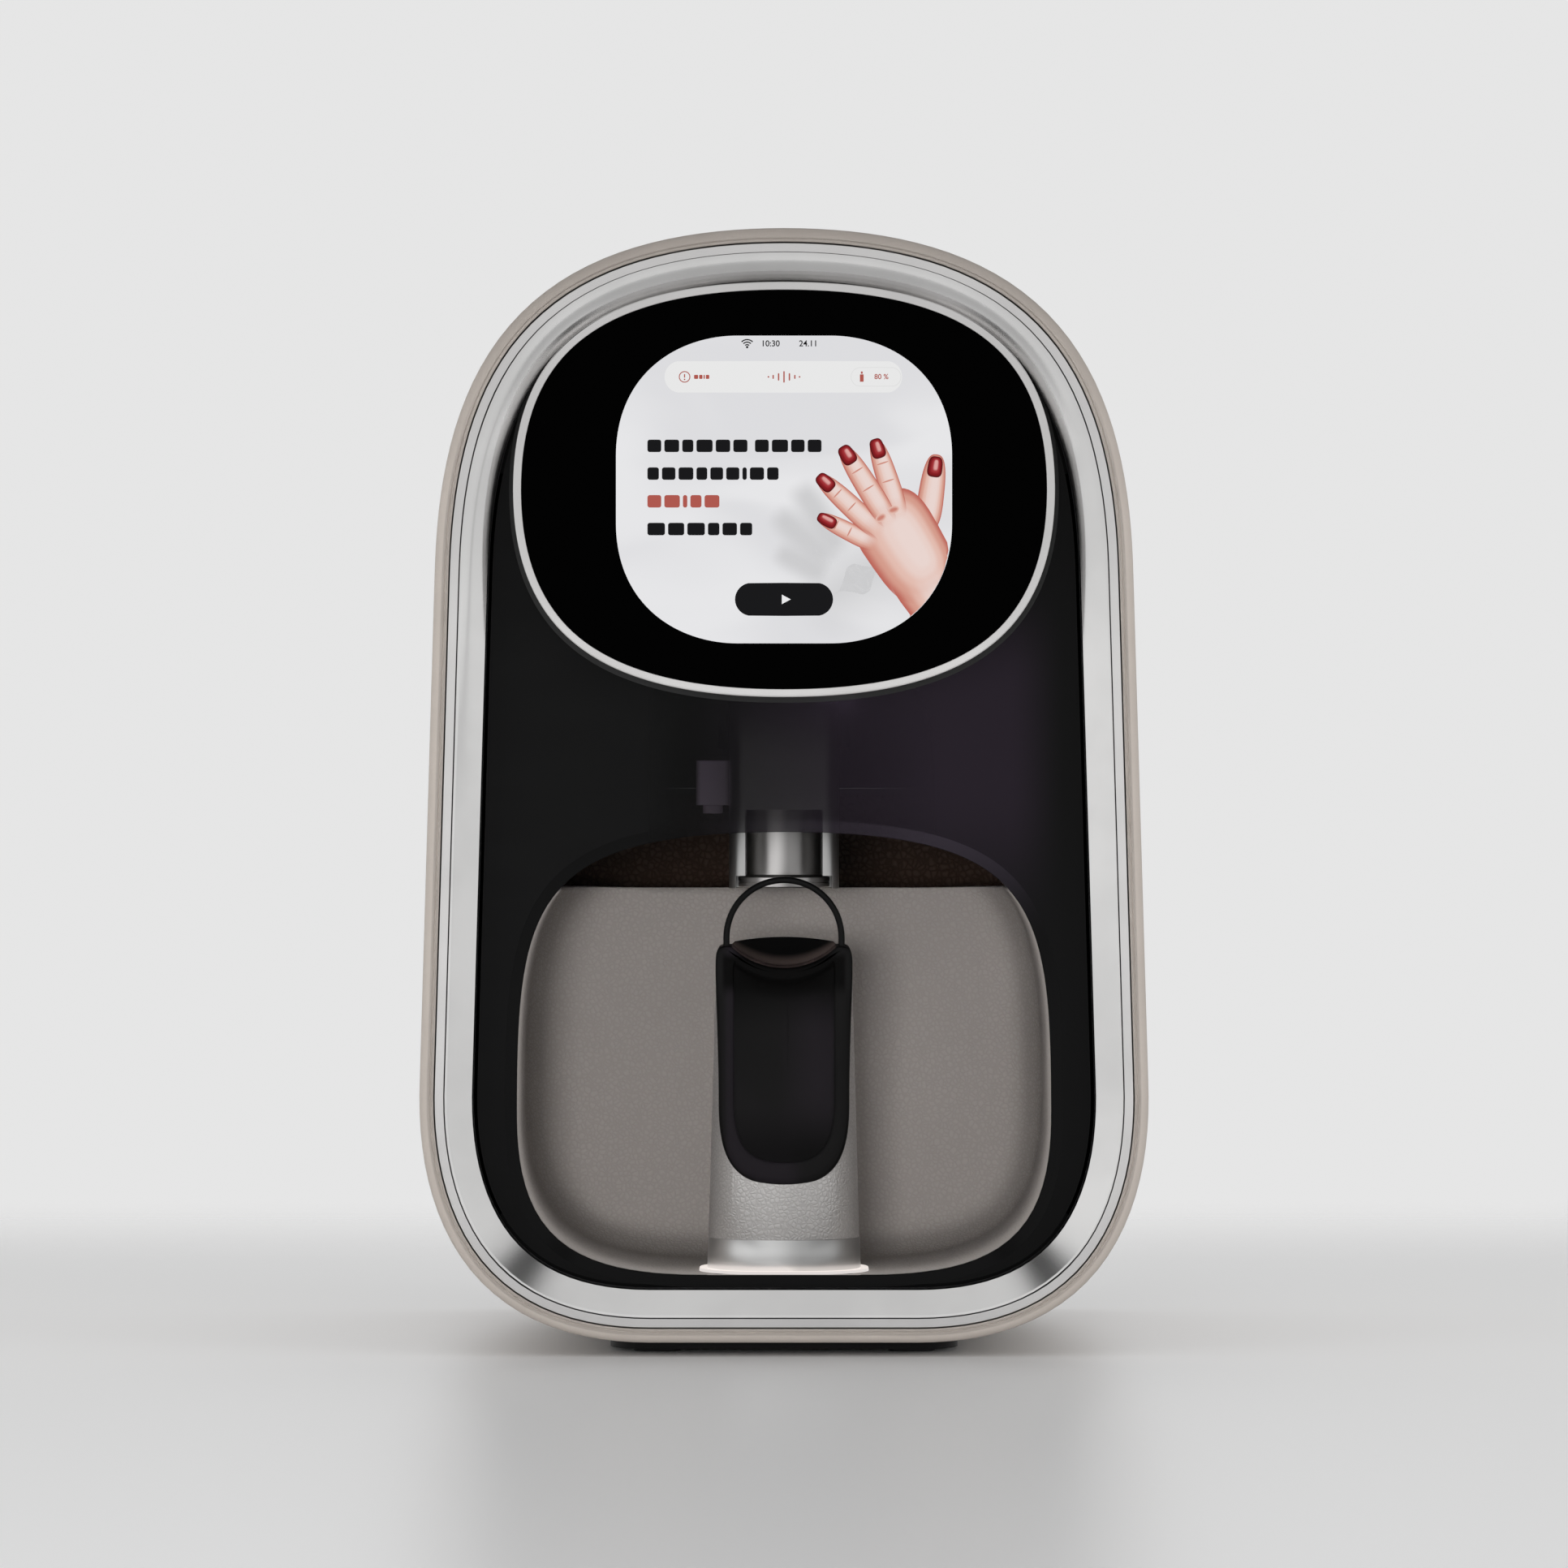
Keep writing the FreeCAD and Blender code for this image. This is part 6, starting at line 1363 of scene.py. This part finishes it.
def groove_ring(inset, share, lift):
    """The groove's outline drawn in towards its spine by a share, on the groove's floor less a lift."""
    points = []
    for point in ring(groove_line, inset, 0):
        x, z = point.x / MM, point.z / MM
        spine = min(max(z, SPINE_LOW), SPINE_HIGH)
        x, z = x * (1 - share), z + (spine - z) * share
        points.append(Vector((x, grip.y0 + max(groove_depth(x, z) - lift, 0.0), z)) * MM)
    return points


# %% The rest of the grip
GRIP_EDGE, SHOULDER_EDGE = 2.6, 1.5
SHOULDER_START, SHOULDER_BLEND = 102, 10
PAD_BACK = -70.0
STOP_TOP, STOP_SAG, STOP_WALL, STOP_ROUND = 123.1, 1.5, 3.0, 0.8
SHELF = 112.0


def rim_ring(s, c):
    """A ring of the groove's rounded rim."""
    points = ring(groove_line, -GROOVE_EDGE * (1 - c) * 1.5, 0)
    for point in points:
        point.y = (grip.y0 + min(groove_depth(point.x / MM, point.z / MM), GROOVE_EDGE) * (1 - s)) * MM
    return points


def border_ring(s, c):
    """A ring of the grip's rounded outer edge, which is tighter at the shoulders."""
    wide = ring(grip_line, GRIP_EDGE * (1 - s), grip.y0 + GRIP_EDGE * (1 - c))
    tight = ring(grip_line, SHOULDER_EDGE * (1 - s), grip.y0 + SHOULDER_EDGE * (1 - c))
    return [a.lerp(b, eased((b.z / MM - SHOULDER_START) / SHOULDER_BLEND)) for a, b in zip(wide, tight)]


def cap_ring(y, stop=False, shrink=0.0):
    """The part of the grip above its shelf; at the stop the trough is filled to a low arch."""
    middle = (SHELF + SHOULDER_TOP) / 2
    points = []
    for point in ring(grip_line, 0, 0):
        x, z = point.x / MM, max(point.z / MM, SHELF)
        if stop and abs(x) < TROUGH_HALF and z > SHELF + 0.1:
            z = STOP_TOP - STOP_SAG * (x / TROUGH_HALF) ** 2
        points.append(Vector((x * (1 - shrink), y, z + (middle - z) * shrink)) * MM)
    return points


# %% Grip
# Painted shade and light on the grip: shade colours, a lit plum and a warm highlight.
GROOVE_SHADE, LIP_SHADE = (0.0012, 0.0012, 0.0012), (0.0006, 0.0005, 0.0005)
TROUGH_SHADE = (0.0003, 0.0003, 0.0003)
DARK, LIT_PLUM, WARM_HIGHLIGHT = (0.0058, 0.0056, 0.0057), (0.0106, 0.0088, 0.0110), (0.072, 0.053, 0.048)


def grip_rubber():
    """Soft-touch rubber with painted light and shade: a lit plum, dark hollows and a warm highlight in the
    trough.
    """
    material = soft_touch.copy()
    material.name = "grip_rubber"
    shader_of(material).inputs["Specular IOR Level"].default_value = 0.08
    x, y, z = axes_of(material)
    # Painted light: a lit plum on the left of the face and on the right of the groove.
    face = blended(strip(x, -18.6, -16.0, 0, 7), DARK, LIT_PLUM)
    hollow = blended(strip(x, -4, 11, 14, 17), DARK, LIT_PLUM)
    # Painted shade at the groove's top and foot, in its recess.
    groove = blended(strip(z, 58, 76, 94, 112), GROOVE_SHADE, hollow)
    sunk = ramp(y, grip.y0 + 0.5, grip.y0 + 1.3, 0.0, 1.0)
    # Painted shade on the band under the trough.
    lip = product(strip(x, -19, -17.5, 17.5, 19), strip(z, 105.5, 110.5, 117, 120))
    rubber = blended(lip, blended(sunk, face, groove), LIP_SHADE)
    bow = scaled(product(x, x), -0.5 / (TROUGH_RADIUS * MM), -TROUGH_FLOOR * MM)
    above = calculated("ADD", z, bow)
    # Painted warm highlight low in the trough, under painted shade higher up.
    trough = blended(ramp(above, 0.4, 3.4, 1.0, 0.0), TROUGH_SHADE, WARM_HIGHLIGHT)
    inside = strip(x, -TROUGH_HALF, -15.4, 15.4, TROUGH_HALF)
    inside = product(inside, ramp(above, -0.6, -0.2, 0.0, 1.0))
    behind = ramp(y, grip.y0 + 1.4, grip.y0 + 2.3, 0.0, 1.0)
    link(shader_of(material), {"Base Color": blended(product(inside, behind), rubber, trough)})
    return material


stop_front = grip.y1 - STOP_WALL
grip_rings = [groove_ring(0, share, 0) for share in (0.93, 0.8, 0.65, 0.5, 0.36, 0.24, 0.14, 0.06)]
grip_rings += [groove_ring(0.3, 0, 0), groove_ring(0.06, 0, 0.12)]
grip_rings += [rim_ring(s, c) for s, c in quarter(5)]
grip_rings += [border_ring(s, c) for s, c in quarter(7)]
grip_rings += [ring(grip_line, 0, PAD_BACK), cap_ring(PAD_BACK), cap_ring(stop_front - 0.3)]
grip_rings += [cap_ring(stop_front, True), cap_ring(grip.y1 - STOP_ROUND, True)]
grip_rings += [cap_ring(grip.y1, True, 0.06)]
grip_piece = loft("grip_moulding", grip_rings, first_cap=True, last_cap=True, smooth=50)
finish_piece(grip_piece, grip_rubber(), "grip_pad", "cradle_insert")

# %% [markdown]
# ## The hoop
# The hoop is bent from one wire: up a leg, over in half a circle and down. A circle primitive is extruded up
# the first leg, spun half a turn about the arch's centre, and extruded down again.
# %% Wire hoop
hoop = Box("finger_hoop")
WIRE_RADIUS, WIRE_SIDES = 0.95, 20
HOOP_RADIUS = 17.2
HOOP_SPIN = 40

hoop_centre = hoop.z1 - HOOP_RADIUS - WIRE_RADIUS
leg = (hoop_centre - hoop.z0) * MM
foot_place = (-HOOP_RADIUS * MM, hoop.y * MM, hoop.z0 * MM)
wire = {"vertices": WIRE_SIDES, "radius": WIRE_RADIUS * MM, "fill_type": "NGON"}
bpy.ops.mesh.primitive_circle_add(location=foot_place, **wire)
hoop_piece = bpy.context.object
hoop_piece.name = hoop_piece.data.name = "wire_hoop"
bpy.ops.object.transform_apply(location=True)
bpy.ops.object.mode_set(mode="EDIT")
bpy.ops.mesh.extrude_region_move(TRANSFORM_OT_translate={"value": (0, 0, leg)})
bpy.ops.mesh.spin(center=(0, hoop.y * MM, hoop_centre * MM), axis=(0, -1, 0), angle=math.pi, steps=HOOP_SPIN)
bpy.ops.mesh.extrude_region_move(TRANSFORM_OT_translate={"value": (0, 0, -leg)})
finish_piece(close_skin(hoop_piece, 50, True), black_wire, "finger_hoop")

# %% [markdown]
# ## The print barrel
# The barrel is one polished turning with a flange at its foot, into which the nozzle disc is let. A fine
# groove runs round the flange.
# %% Print barrel
barrel, nozzle = Box("print_barrel"), Box("nozzle_plate")
BARREL_RADIUS, FLANGE_RADIUS, FLANGE_HEIGHT = 11.25, 13.8, 3.3
FLANGE_GROOVE, FILLET, SMALL = 0.25, 0.6, 0.3
NOZZLE_GAP, NOZZLE_DEPTH = 0.05, 1.2

low, shoulder, top = barrel.z0, barrel.z0 + FLANGE_HEIGHT, barrel.z1
mouth_radius, groove_radius = nozzle.x1 + NOZZLE_GAP, FLANGE_RADIUS - FLANGE_GROOVE
barrel_profile = [
    (mouth_radius, low + NOZZLE_DEPTH), (mouth_radius, low + 0.2), (nozzle.x1 + 0.25, low),
    (FLANGE_RADIUS - SMALL, low), (FLANGE_RADIUS, low + SMALL), (FLANGE_RADIUS, low + 1.4),
    (groove_radius, low + 1.5), (groove_radius, low + 1.8), (FLANGE_RADIUS, low + 1.9),
    (FLANGE_RADIUS, shoulder - SMALL), (FLANGE_RADIUS - SMALL, shoulder), (BARREL_RADIUS + FILLET, shoulder),
    (BARREL_RADIUS, shoulder + FILLET), (BARREL_RADIUS, top - SMALL), (BARREL_RADIUS - SMALL, top),
]
finish_piece(turned("barrel_turning", barrel_profile, (0, barrel.y, 0)), polished_metal, "print_barrel")

# %% [markdown]
# ## Machined and moulded parts
# The carriage, motors, column, covers and boards already have their shapes in the solids, but their edges are
# knife sharp, and no real edge is. A copy of the solid's mesh is merged, its flat faces are dissolved and its
# sharp edges get a fine bevel, so that each edge catches a thread of light. Weighted normals then keep the
# large faces flat.
# %% Soft edges for the solids
OTHER_NAME = {"display_glass": "black_glass", "display_light": "screen_ink", "brass_nut": "brass"}
FINISH = {slot: MADE[OTHER_NAME.get(slot, slot)] for slot in SLOT_OF.values()}
FLAT_ANGLE, SHARP_ANGLE = math.radians(0.5), math.radians(40)


def round_edges(piece, wanted, radius):
    """Gives a wide radius to the edges that are wanted, in the mesh in hand."""
    bpy.ops.mesh.select_all(action="DESELECT")
    bpy.ops.mesh.select_mode(type="EDGE")
    mesh = bmesh.from_edit_mesh(piece.data)
    for edge in mesh.edges:
        edge.select_set(wanted(edge.verts[0].co / MM, edge.verts[1].co / MM))
    bmesh.update_edit_mesh(piece.data)
    bpy.ops.mesh.bevel(offset=radius * MM, segments=6, affect="EDGES")
    bpy.ops.mesh.select_mode(type="VERT")


def softened(name, node, width, material=None, rounded=None, radius=0.0):
    """A copy of a node's solid with its sharp edges bevelled; those that rounded picks get a wide radius."""
    mesh = bpy.data.meshes.new(name)
    shape = bmesh.new()
    shape.from_mesh(frame["nodes"][node].data)
    shape.to_mesh(mesh)
    shape.free()
    piece = bpy.data.objects.new(name, mesh)
    bpy.context.scene.collection.objects.link(piece)
    select_only(piece)
    edit_mode()
    bpy.ops.mesh.remove_doubles(threshold=0.001 * MM)
    bpy.ops.mesh.dissolve_limited(angle_limit=FLAT_ANGLE)
    if rounded:
        round_edges(piece, rounded, radius)
    bpy.ops.object.mode_set(mode="OBJECT")
    bevel = {"width": width * MM, "segments": 2, "limit_method": "ANGLE", "angle_limit": SHARP_ANGLE}
    apply_modifier(piece, "BEVEL", **bevel)
    bpy.ops.object.shade_smooth_by_angle(angle=SHARP_ANGLE)
    apply_modifier(piece, "WEIGHTED_NORMAL", weight=90, keep_sharp=True)
    return finish_piece(piece, material or FINISH[SLOT_OF[node]], node)


sleeve = Box("column_sleeve")


def sleeve_corner(a, b):
    """The tall outer corners of the sleeve."""
    at_side = all(abs(abs(v.x) - sleeve.x1) < 0.05 for v in (a, b))
    at_end = all(min(abs(v.y - sleeve.y0), abs(v.y - sleeve.y1)) < 0.05 for v in (a, b))
    return at_side and at_end and abs(a.z - b.z) > 20


softened("column_case", "column_sleeve", 0.35, material=sleeve_metal, rounded=sleeve_corner, radius=3.4)
softened("camera_case", "camera_module", 0.3, material=camera_grey)
softened("carriage_block", "carriage", 0.4)
softened("bridge_beam", "y_bridge", 0.4)
softened("cover_back", "rear_cover", 0.35)
softened("door_panel", "service_door", 0.4)
# Painted shade: the foot plate takes the darkest soft-touch black, so it reads as the shadow under the
# cabinet.
softened("foot_base", "foot_plate", 0.5, material=soft_touch)
softened("foot_pads", "rubber_pads", 0.25)
softened("socket_shell", "usb_port", 0.06)
softened("switch_cap", "power_button", 0.1)
softened("nozzle_disc", "nozzle_plate", 0.15)
softened("rear_screws", "cover_screws", 0.15, material=screw_metal)

# %% [markdown]
# ## The back
# Nobody looks at a back for long, but it is where the hand finds the button, the socket and the door. A bead
# runs round the cover, low frames stand round the vents, the door, the socket and a rating plate, a turned
# collar holds the button, and a pilot lamp tells that the printer has power. All of them stand out less than
# half a millimetre.
# %% Frames on the back
cover, door, button, fan = Box("rear_cover"), Box("service_door"), Box("power_button"), Box("fan_frame")
PROUD, ROOTED, FRAME_EDGE = 0.4, 0.1, 0.12
FACE = cover.y1
FOOT, TOP = FACE - ROOTED, FACE + PROUD
PLATE_X, PLATE_Z = -28.0, 46.5


def back_ring(x, z, half_width, half_height, corner, y):
    """A rounded rectangle that stands upright at a depth."""
    flat = slab(half_width, half_height, corner, 0, 0)
    return [Vector((point.x + x * MM, y * MM, point.y + z * MM)) for point in flat]


def back_frame(name, spot, halves, corner, width, material, slot="black_plastic", body="cabinet"):
    """A low frame on the back whose edges are broken; its halves are of its width and height."""
    section = [(0, FOOT), (0, TOP - FRAME_EDGE), (FRAME_EDGE, TOP)]
    section += [(width - inset, y) for inset, y in reversed(section)]
    rings = [back_ring(*spot, halves[0] - i, halves[1] - i, corner - i, y) for i, y in section]
    finish_piece(loft(name, rings, closed=True, smooth=40), material, body=body, slot=slot)


BEAD_INSET, BEAD_WIDTH = 14.0, 1.6
bead = [(BEAD_INSET + BEAD_WIDTH / 2 * (1 - c), FOOT + (PROUD + ROOTED) * s) for s, c in quarter(5)]
bead += [(2 * BEAD_INSET + BEAD_WIDTH - inset, y) for inset, y in reversed(bead[:-1])]
bead_piece = loft("cover_bead", rings_of(cabinet, bead), closed=True, smooth=60)
finish_piece(bead_piece, grey_plastic, slot="grey_plastic")

back_frame("vent_frame", (fan.x, fan.z), (25.5, 27.0), 5.0, 1.4, black_plastic)
back_frame("socket_frame", (button.x, 50.0), (8.2, 4.8), 4.7, 1.1, shoe_metal, "satin_metal")
back_frame("door_frame", (1.0, door.z), (44.5, 47.5), 7.0, 1.2, grey_plastic, "grey_plastic", "rear_door")
back_frame("plate_frame", (PLATE_X, PLATE_Z), (25.5, 9.5), 2.5, 0.6, black_plastic)

# %% Button collar and pilot lamp
LAMP_ABOVE, LAMP_SIDES = 15.5, 32

collar = [(7.5, FOOT), (7.5, FACE + 0.28), (7.7, TOP), (9.0, TOP), (9.3, FACE + 0.1), (9.3, FOOT)]
spot = (button.x, 0, button.z)
collar_piece = loft("button_collar", [circle(r, at, spot, "y") for r, at in collar], closed=True)
finish_piece(collar_piece, bright_metal, slot="bright_metal")
lamp_profile = [(1.3, FOOT), (1.3, FACE + 0.1), (1.1, FACE + 0.28), (0.6, FACE + 0.36)]
lamp_spot = (button.x, 0, button.z + LAMP_ABOVE)
pilot = turned("pilot_lamp", lamp_profile, lamp_spot, "y", steps=LAMP_SIDES, smooth=60)
finish_piece(pilot, glowing("pilot_glow", (0.85, 0.80, 0.76)), slot="ring_light")

# %% Power sign and rating plate
BLOCK_ROOT, BLOCK_PROUD = -0.05, 0.1


def arc_bar(x, z, inner, outer, start, end, steps=32):
    """A raised bar bent round a point of the back, from one angle to another in degrees."""
    corners = ((inner, BLOCK_ROOT), (outer, BLOCK_ROOT), (outer, BLOCK_PROUD), (inner, BLOCK_PROUD))
    foot = Vector((x, FACE, z))
    rings = []
    for i in range(steps + 1):
        angle = math.radians(start + (end - start) * i / steps)
        way = Vector((math.cos(angle), 0, math.sin(angle)))
        rings.append([(foot + way * r + Vector((0, lift, 0))) * MM for r, lift in corners])
    return loft("arc_bar", rings, first_cap=True, last_cap=True)


def back_block(x, z, width, height, corner=0.2):
    """A small raised block on the back."""
    lifts = (BLOCK_ROOT, BLOCK_PROUD)
    rings = [back_ring(x, z, width / 2, height / 2, corner, FACE + lift) for lift in lifts]
    return loft("back_block", rings, first_cap=True, last_cap=True)


LABEL_ROWS = [[5.2, 3.0, 4.4, 2.6, 5.6], [3.4, 4.8, 2.2, 5.0], [4.6, 3.2, 6.0, 2.8, 3.6, 4.2]]
LABEL_LEFT, LABEL_TOP, LABEL_PITCH, LABEL_HEIGHT, LABEL_GAP = -6.5, 51.0, 3.6, 1.4, 0.8
BARS = (0.5, 0.3, 0.9, 0.5, 0.3, 0.6, 1.0, 0.3, 0.5, 0.8, 0.3, 0.5)
BAR_LEFT, BAR_PITCH, BAR_HEIGHT = -36.5, 1.25, 9.0

sign = [arc_bar(button.x, button.z, 2.3, 2.75, 125, 415), back_block(button.x, button.z + 2.2, 0.5, 2.6)]
joined("power_sign", sign, black_plastic, "black_plastic", "button")
blocks = []
for row, widths in enumerate(LABEL_ROWS):
    x = LABEL_LEFT
    for width in widths:
        blocks.append(back_block(x - width / 2, LABEL_TOP - row * LABEL_PITCH, width, LABEL_HEIGHT))
        x -= width + LABEL_GAP
for i, width in enumerate(BARS):
    blocks.append(back_block(BAR_LEFT - i * BAR_PITCH, PLATE_Z, width, BAR_HEIGHT, 0.1))
joined("plate_print", blocks, label_grey, "grey_plastic")

# %% [markdown]
# ## The solids that stay
# What is left inside the cabinet keeps its own mesh, which is exact, and takes a finish by its slot.
# %% Finishes on the solids that stay
for name, node in frame["nodes"].items():
    if not node.hide_render:
        node.data.materials.clear()
        node.data.materials.append(FINISH[SLOT_OF[name]])
print("finishes given to the solids that stay")

# %% [markdown]
# ## Floor, room and lamps
# The object stands on a plain pale floor that runs out into a pale room. The floor fades away on all sides,
# so no horizon shows. The room's own light does most of the work, and lamps at the sides and above draw the
# roundings.
# %% Floor
FLOOR_SIZE = 12.0


def floor_finish():
    material, shader, place = new_material("studio_floor", Roughness=0.34, Specular_IOR_Level=0.5)
    x, y, z = axes_of(material)
    far = add_node(material.node_tree, "VectorMath", {0: place}, operation="LENGTH").outputs["Value"]
    # Painted light: the floor is paler towards the camera than near the cabinet.
    near = remap(y, -1.3, -0.35, 1.0, 0.0)
    link(shader, {
        "Base Color": blended(near, (0.87, 0.87, 0.87), (0.95, 0.95, 0.95)),
        "Alpha": product(remap(y, 0.30, 0.72, 1.0, 0.0), remap(far, 0.85, 1.3, 1.0, 0.0)),
    })
    return material


bpy.ops.mesh.primitive_plane_add(size=FLOOR_SIZE)
floor = bpy.context.object
floor.name = "studio_floor"
floor.data.materials.append(floor_finish())


# %% Room
def studio_room():
    """A pale room; what metal mirrors of it is dimmer above and on the right, with three dark cards."""
    world = bpy.data.worlds.new("studio_room")
    bpy.context.scene.world = world
    world.use_nodes = True
    tree = world.node_tree
    tree.nodes.clear()
    axes = add_node(tree, "SeparateXYZ", {0: add_node(tree, "TexCoord").outputs["Generated"]}).outputs
    across, up = axes["X"], axes["Z"]
    tilt = calculated("ARCTAN2", up, calculated("ABSOLUTE", across))
    high_card = product(between(tilt, 0.66, 0.81, 0.96, 1.12), remap(up, 0.25, 0.4, 0.0, 1.0))
    low, ahead = between(up, -0.03, 0.05, 0.2, 0.4), between(across, -0.4, -0.2, 0.2, 0.4)
    front_card = product(ahead, low)
    side_card = product(between(across, 0.56, 0.60, 0.62, 0.70), remap(up, 0.10, 0.35, 1.0, 0.0))
    mirrored = product(remap(up, 0.2, 0.7, 0.97, 0.77), remap(across, 0.2, 0.7, 1.0, 0.92))
    for card, dimming in ((high_card, 0.98), (front_card, 0.08), (side_card, 0.25)):
        mirrored = product(mirrored, scaled(card, -dimming, 1.0))
    colours = ((0.79, 0.79, 0.79, 1), remap(up, 0.0, 0.9, 0.83, 0.43), mirrored)
    seen, lighting, glints = (add_node(tree, "Background", {"Color": tint}).outputs[0] for tint in colours)
    path = add_node(tree, "LightPath").outputs
    direct = calculated("MAXIMUM", path["Is Camera Ray"], path["Is Transmission Ray"])
    mixed = add_node(tree, "MixShader", {0: path["Is Glossy Ray"], 1: lighting, 2: glints}).outputs[0]
    whole = add_node(tree, "MixShader", {0: direct, 1: mixed, 2: seen}).outputs[0]
    link(tree.nodes.new("ShaderNodeOutputWorld"), {"Surface": whole})


studio_room()


# %% Lamps
def lamp(name, spot, target, size, power, spread=180):
    """A soft square lamp that looks at a point; it lights but isn't seen. Spread is its beam in degrees."""
    towards = Vector(target) - Vector(spot)
    bpy.ops.object.light_add(type="AREA", location=spot, rotation=towards.to_track_quat("-Z", "Y").to_euler())
    made = bpy.context.object
    made.name = name
    made.data.size = size
    made.data.energy = power
    made.data.spread = math.radians(spread)
    made.visible_camera = False
    made.visible_glossy = False
    return made


OBJECT_MIDDLE = (0, 0, 0.17)
CHAMBER_MIDDLE = (0, -0.05, 0.085)
lamp("lamp_left", (-1.6, -1.2, 0.35), OBJECT_MIDDLE, 0.9, 6.0)
lamp("lamp_right", (1.7, -1.0, 0.35), OBJECT_MIDDLE, 0.9, 7.0)
lamp("lamp_top", (0, 0.1, 1.9), OBJECT_MIDDLE, 1.2, 3.2)
lamp("lamp_front", (-0.22, -2.1, 0.14), CHAMBER_MIDDLE, 0.35, 0.72, 40)
work_lamp = lamp("lamp_inside", (0.004, -0.086, 0.205), (-0.002, -0.056, 0.172), 0.03, 0.018)
work_lamp.data.color = (0.86, 0.78, 1.0)
print("studio ready")
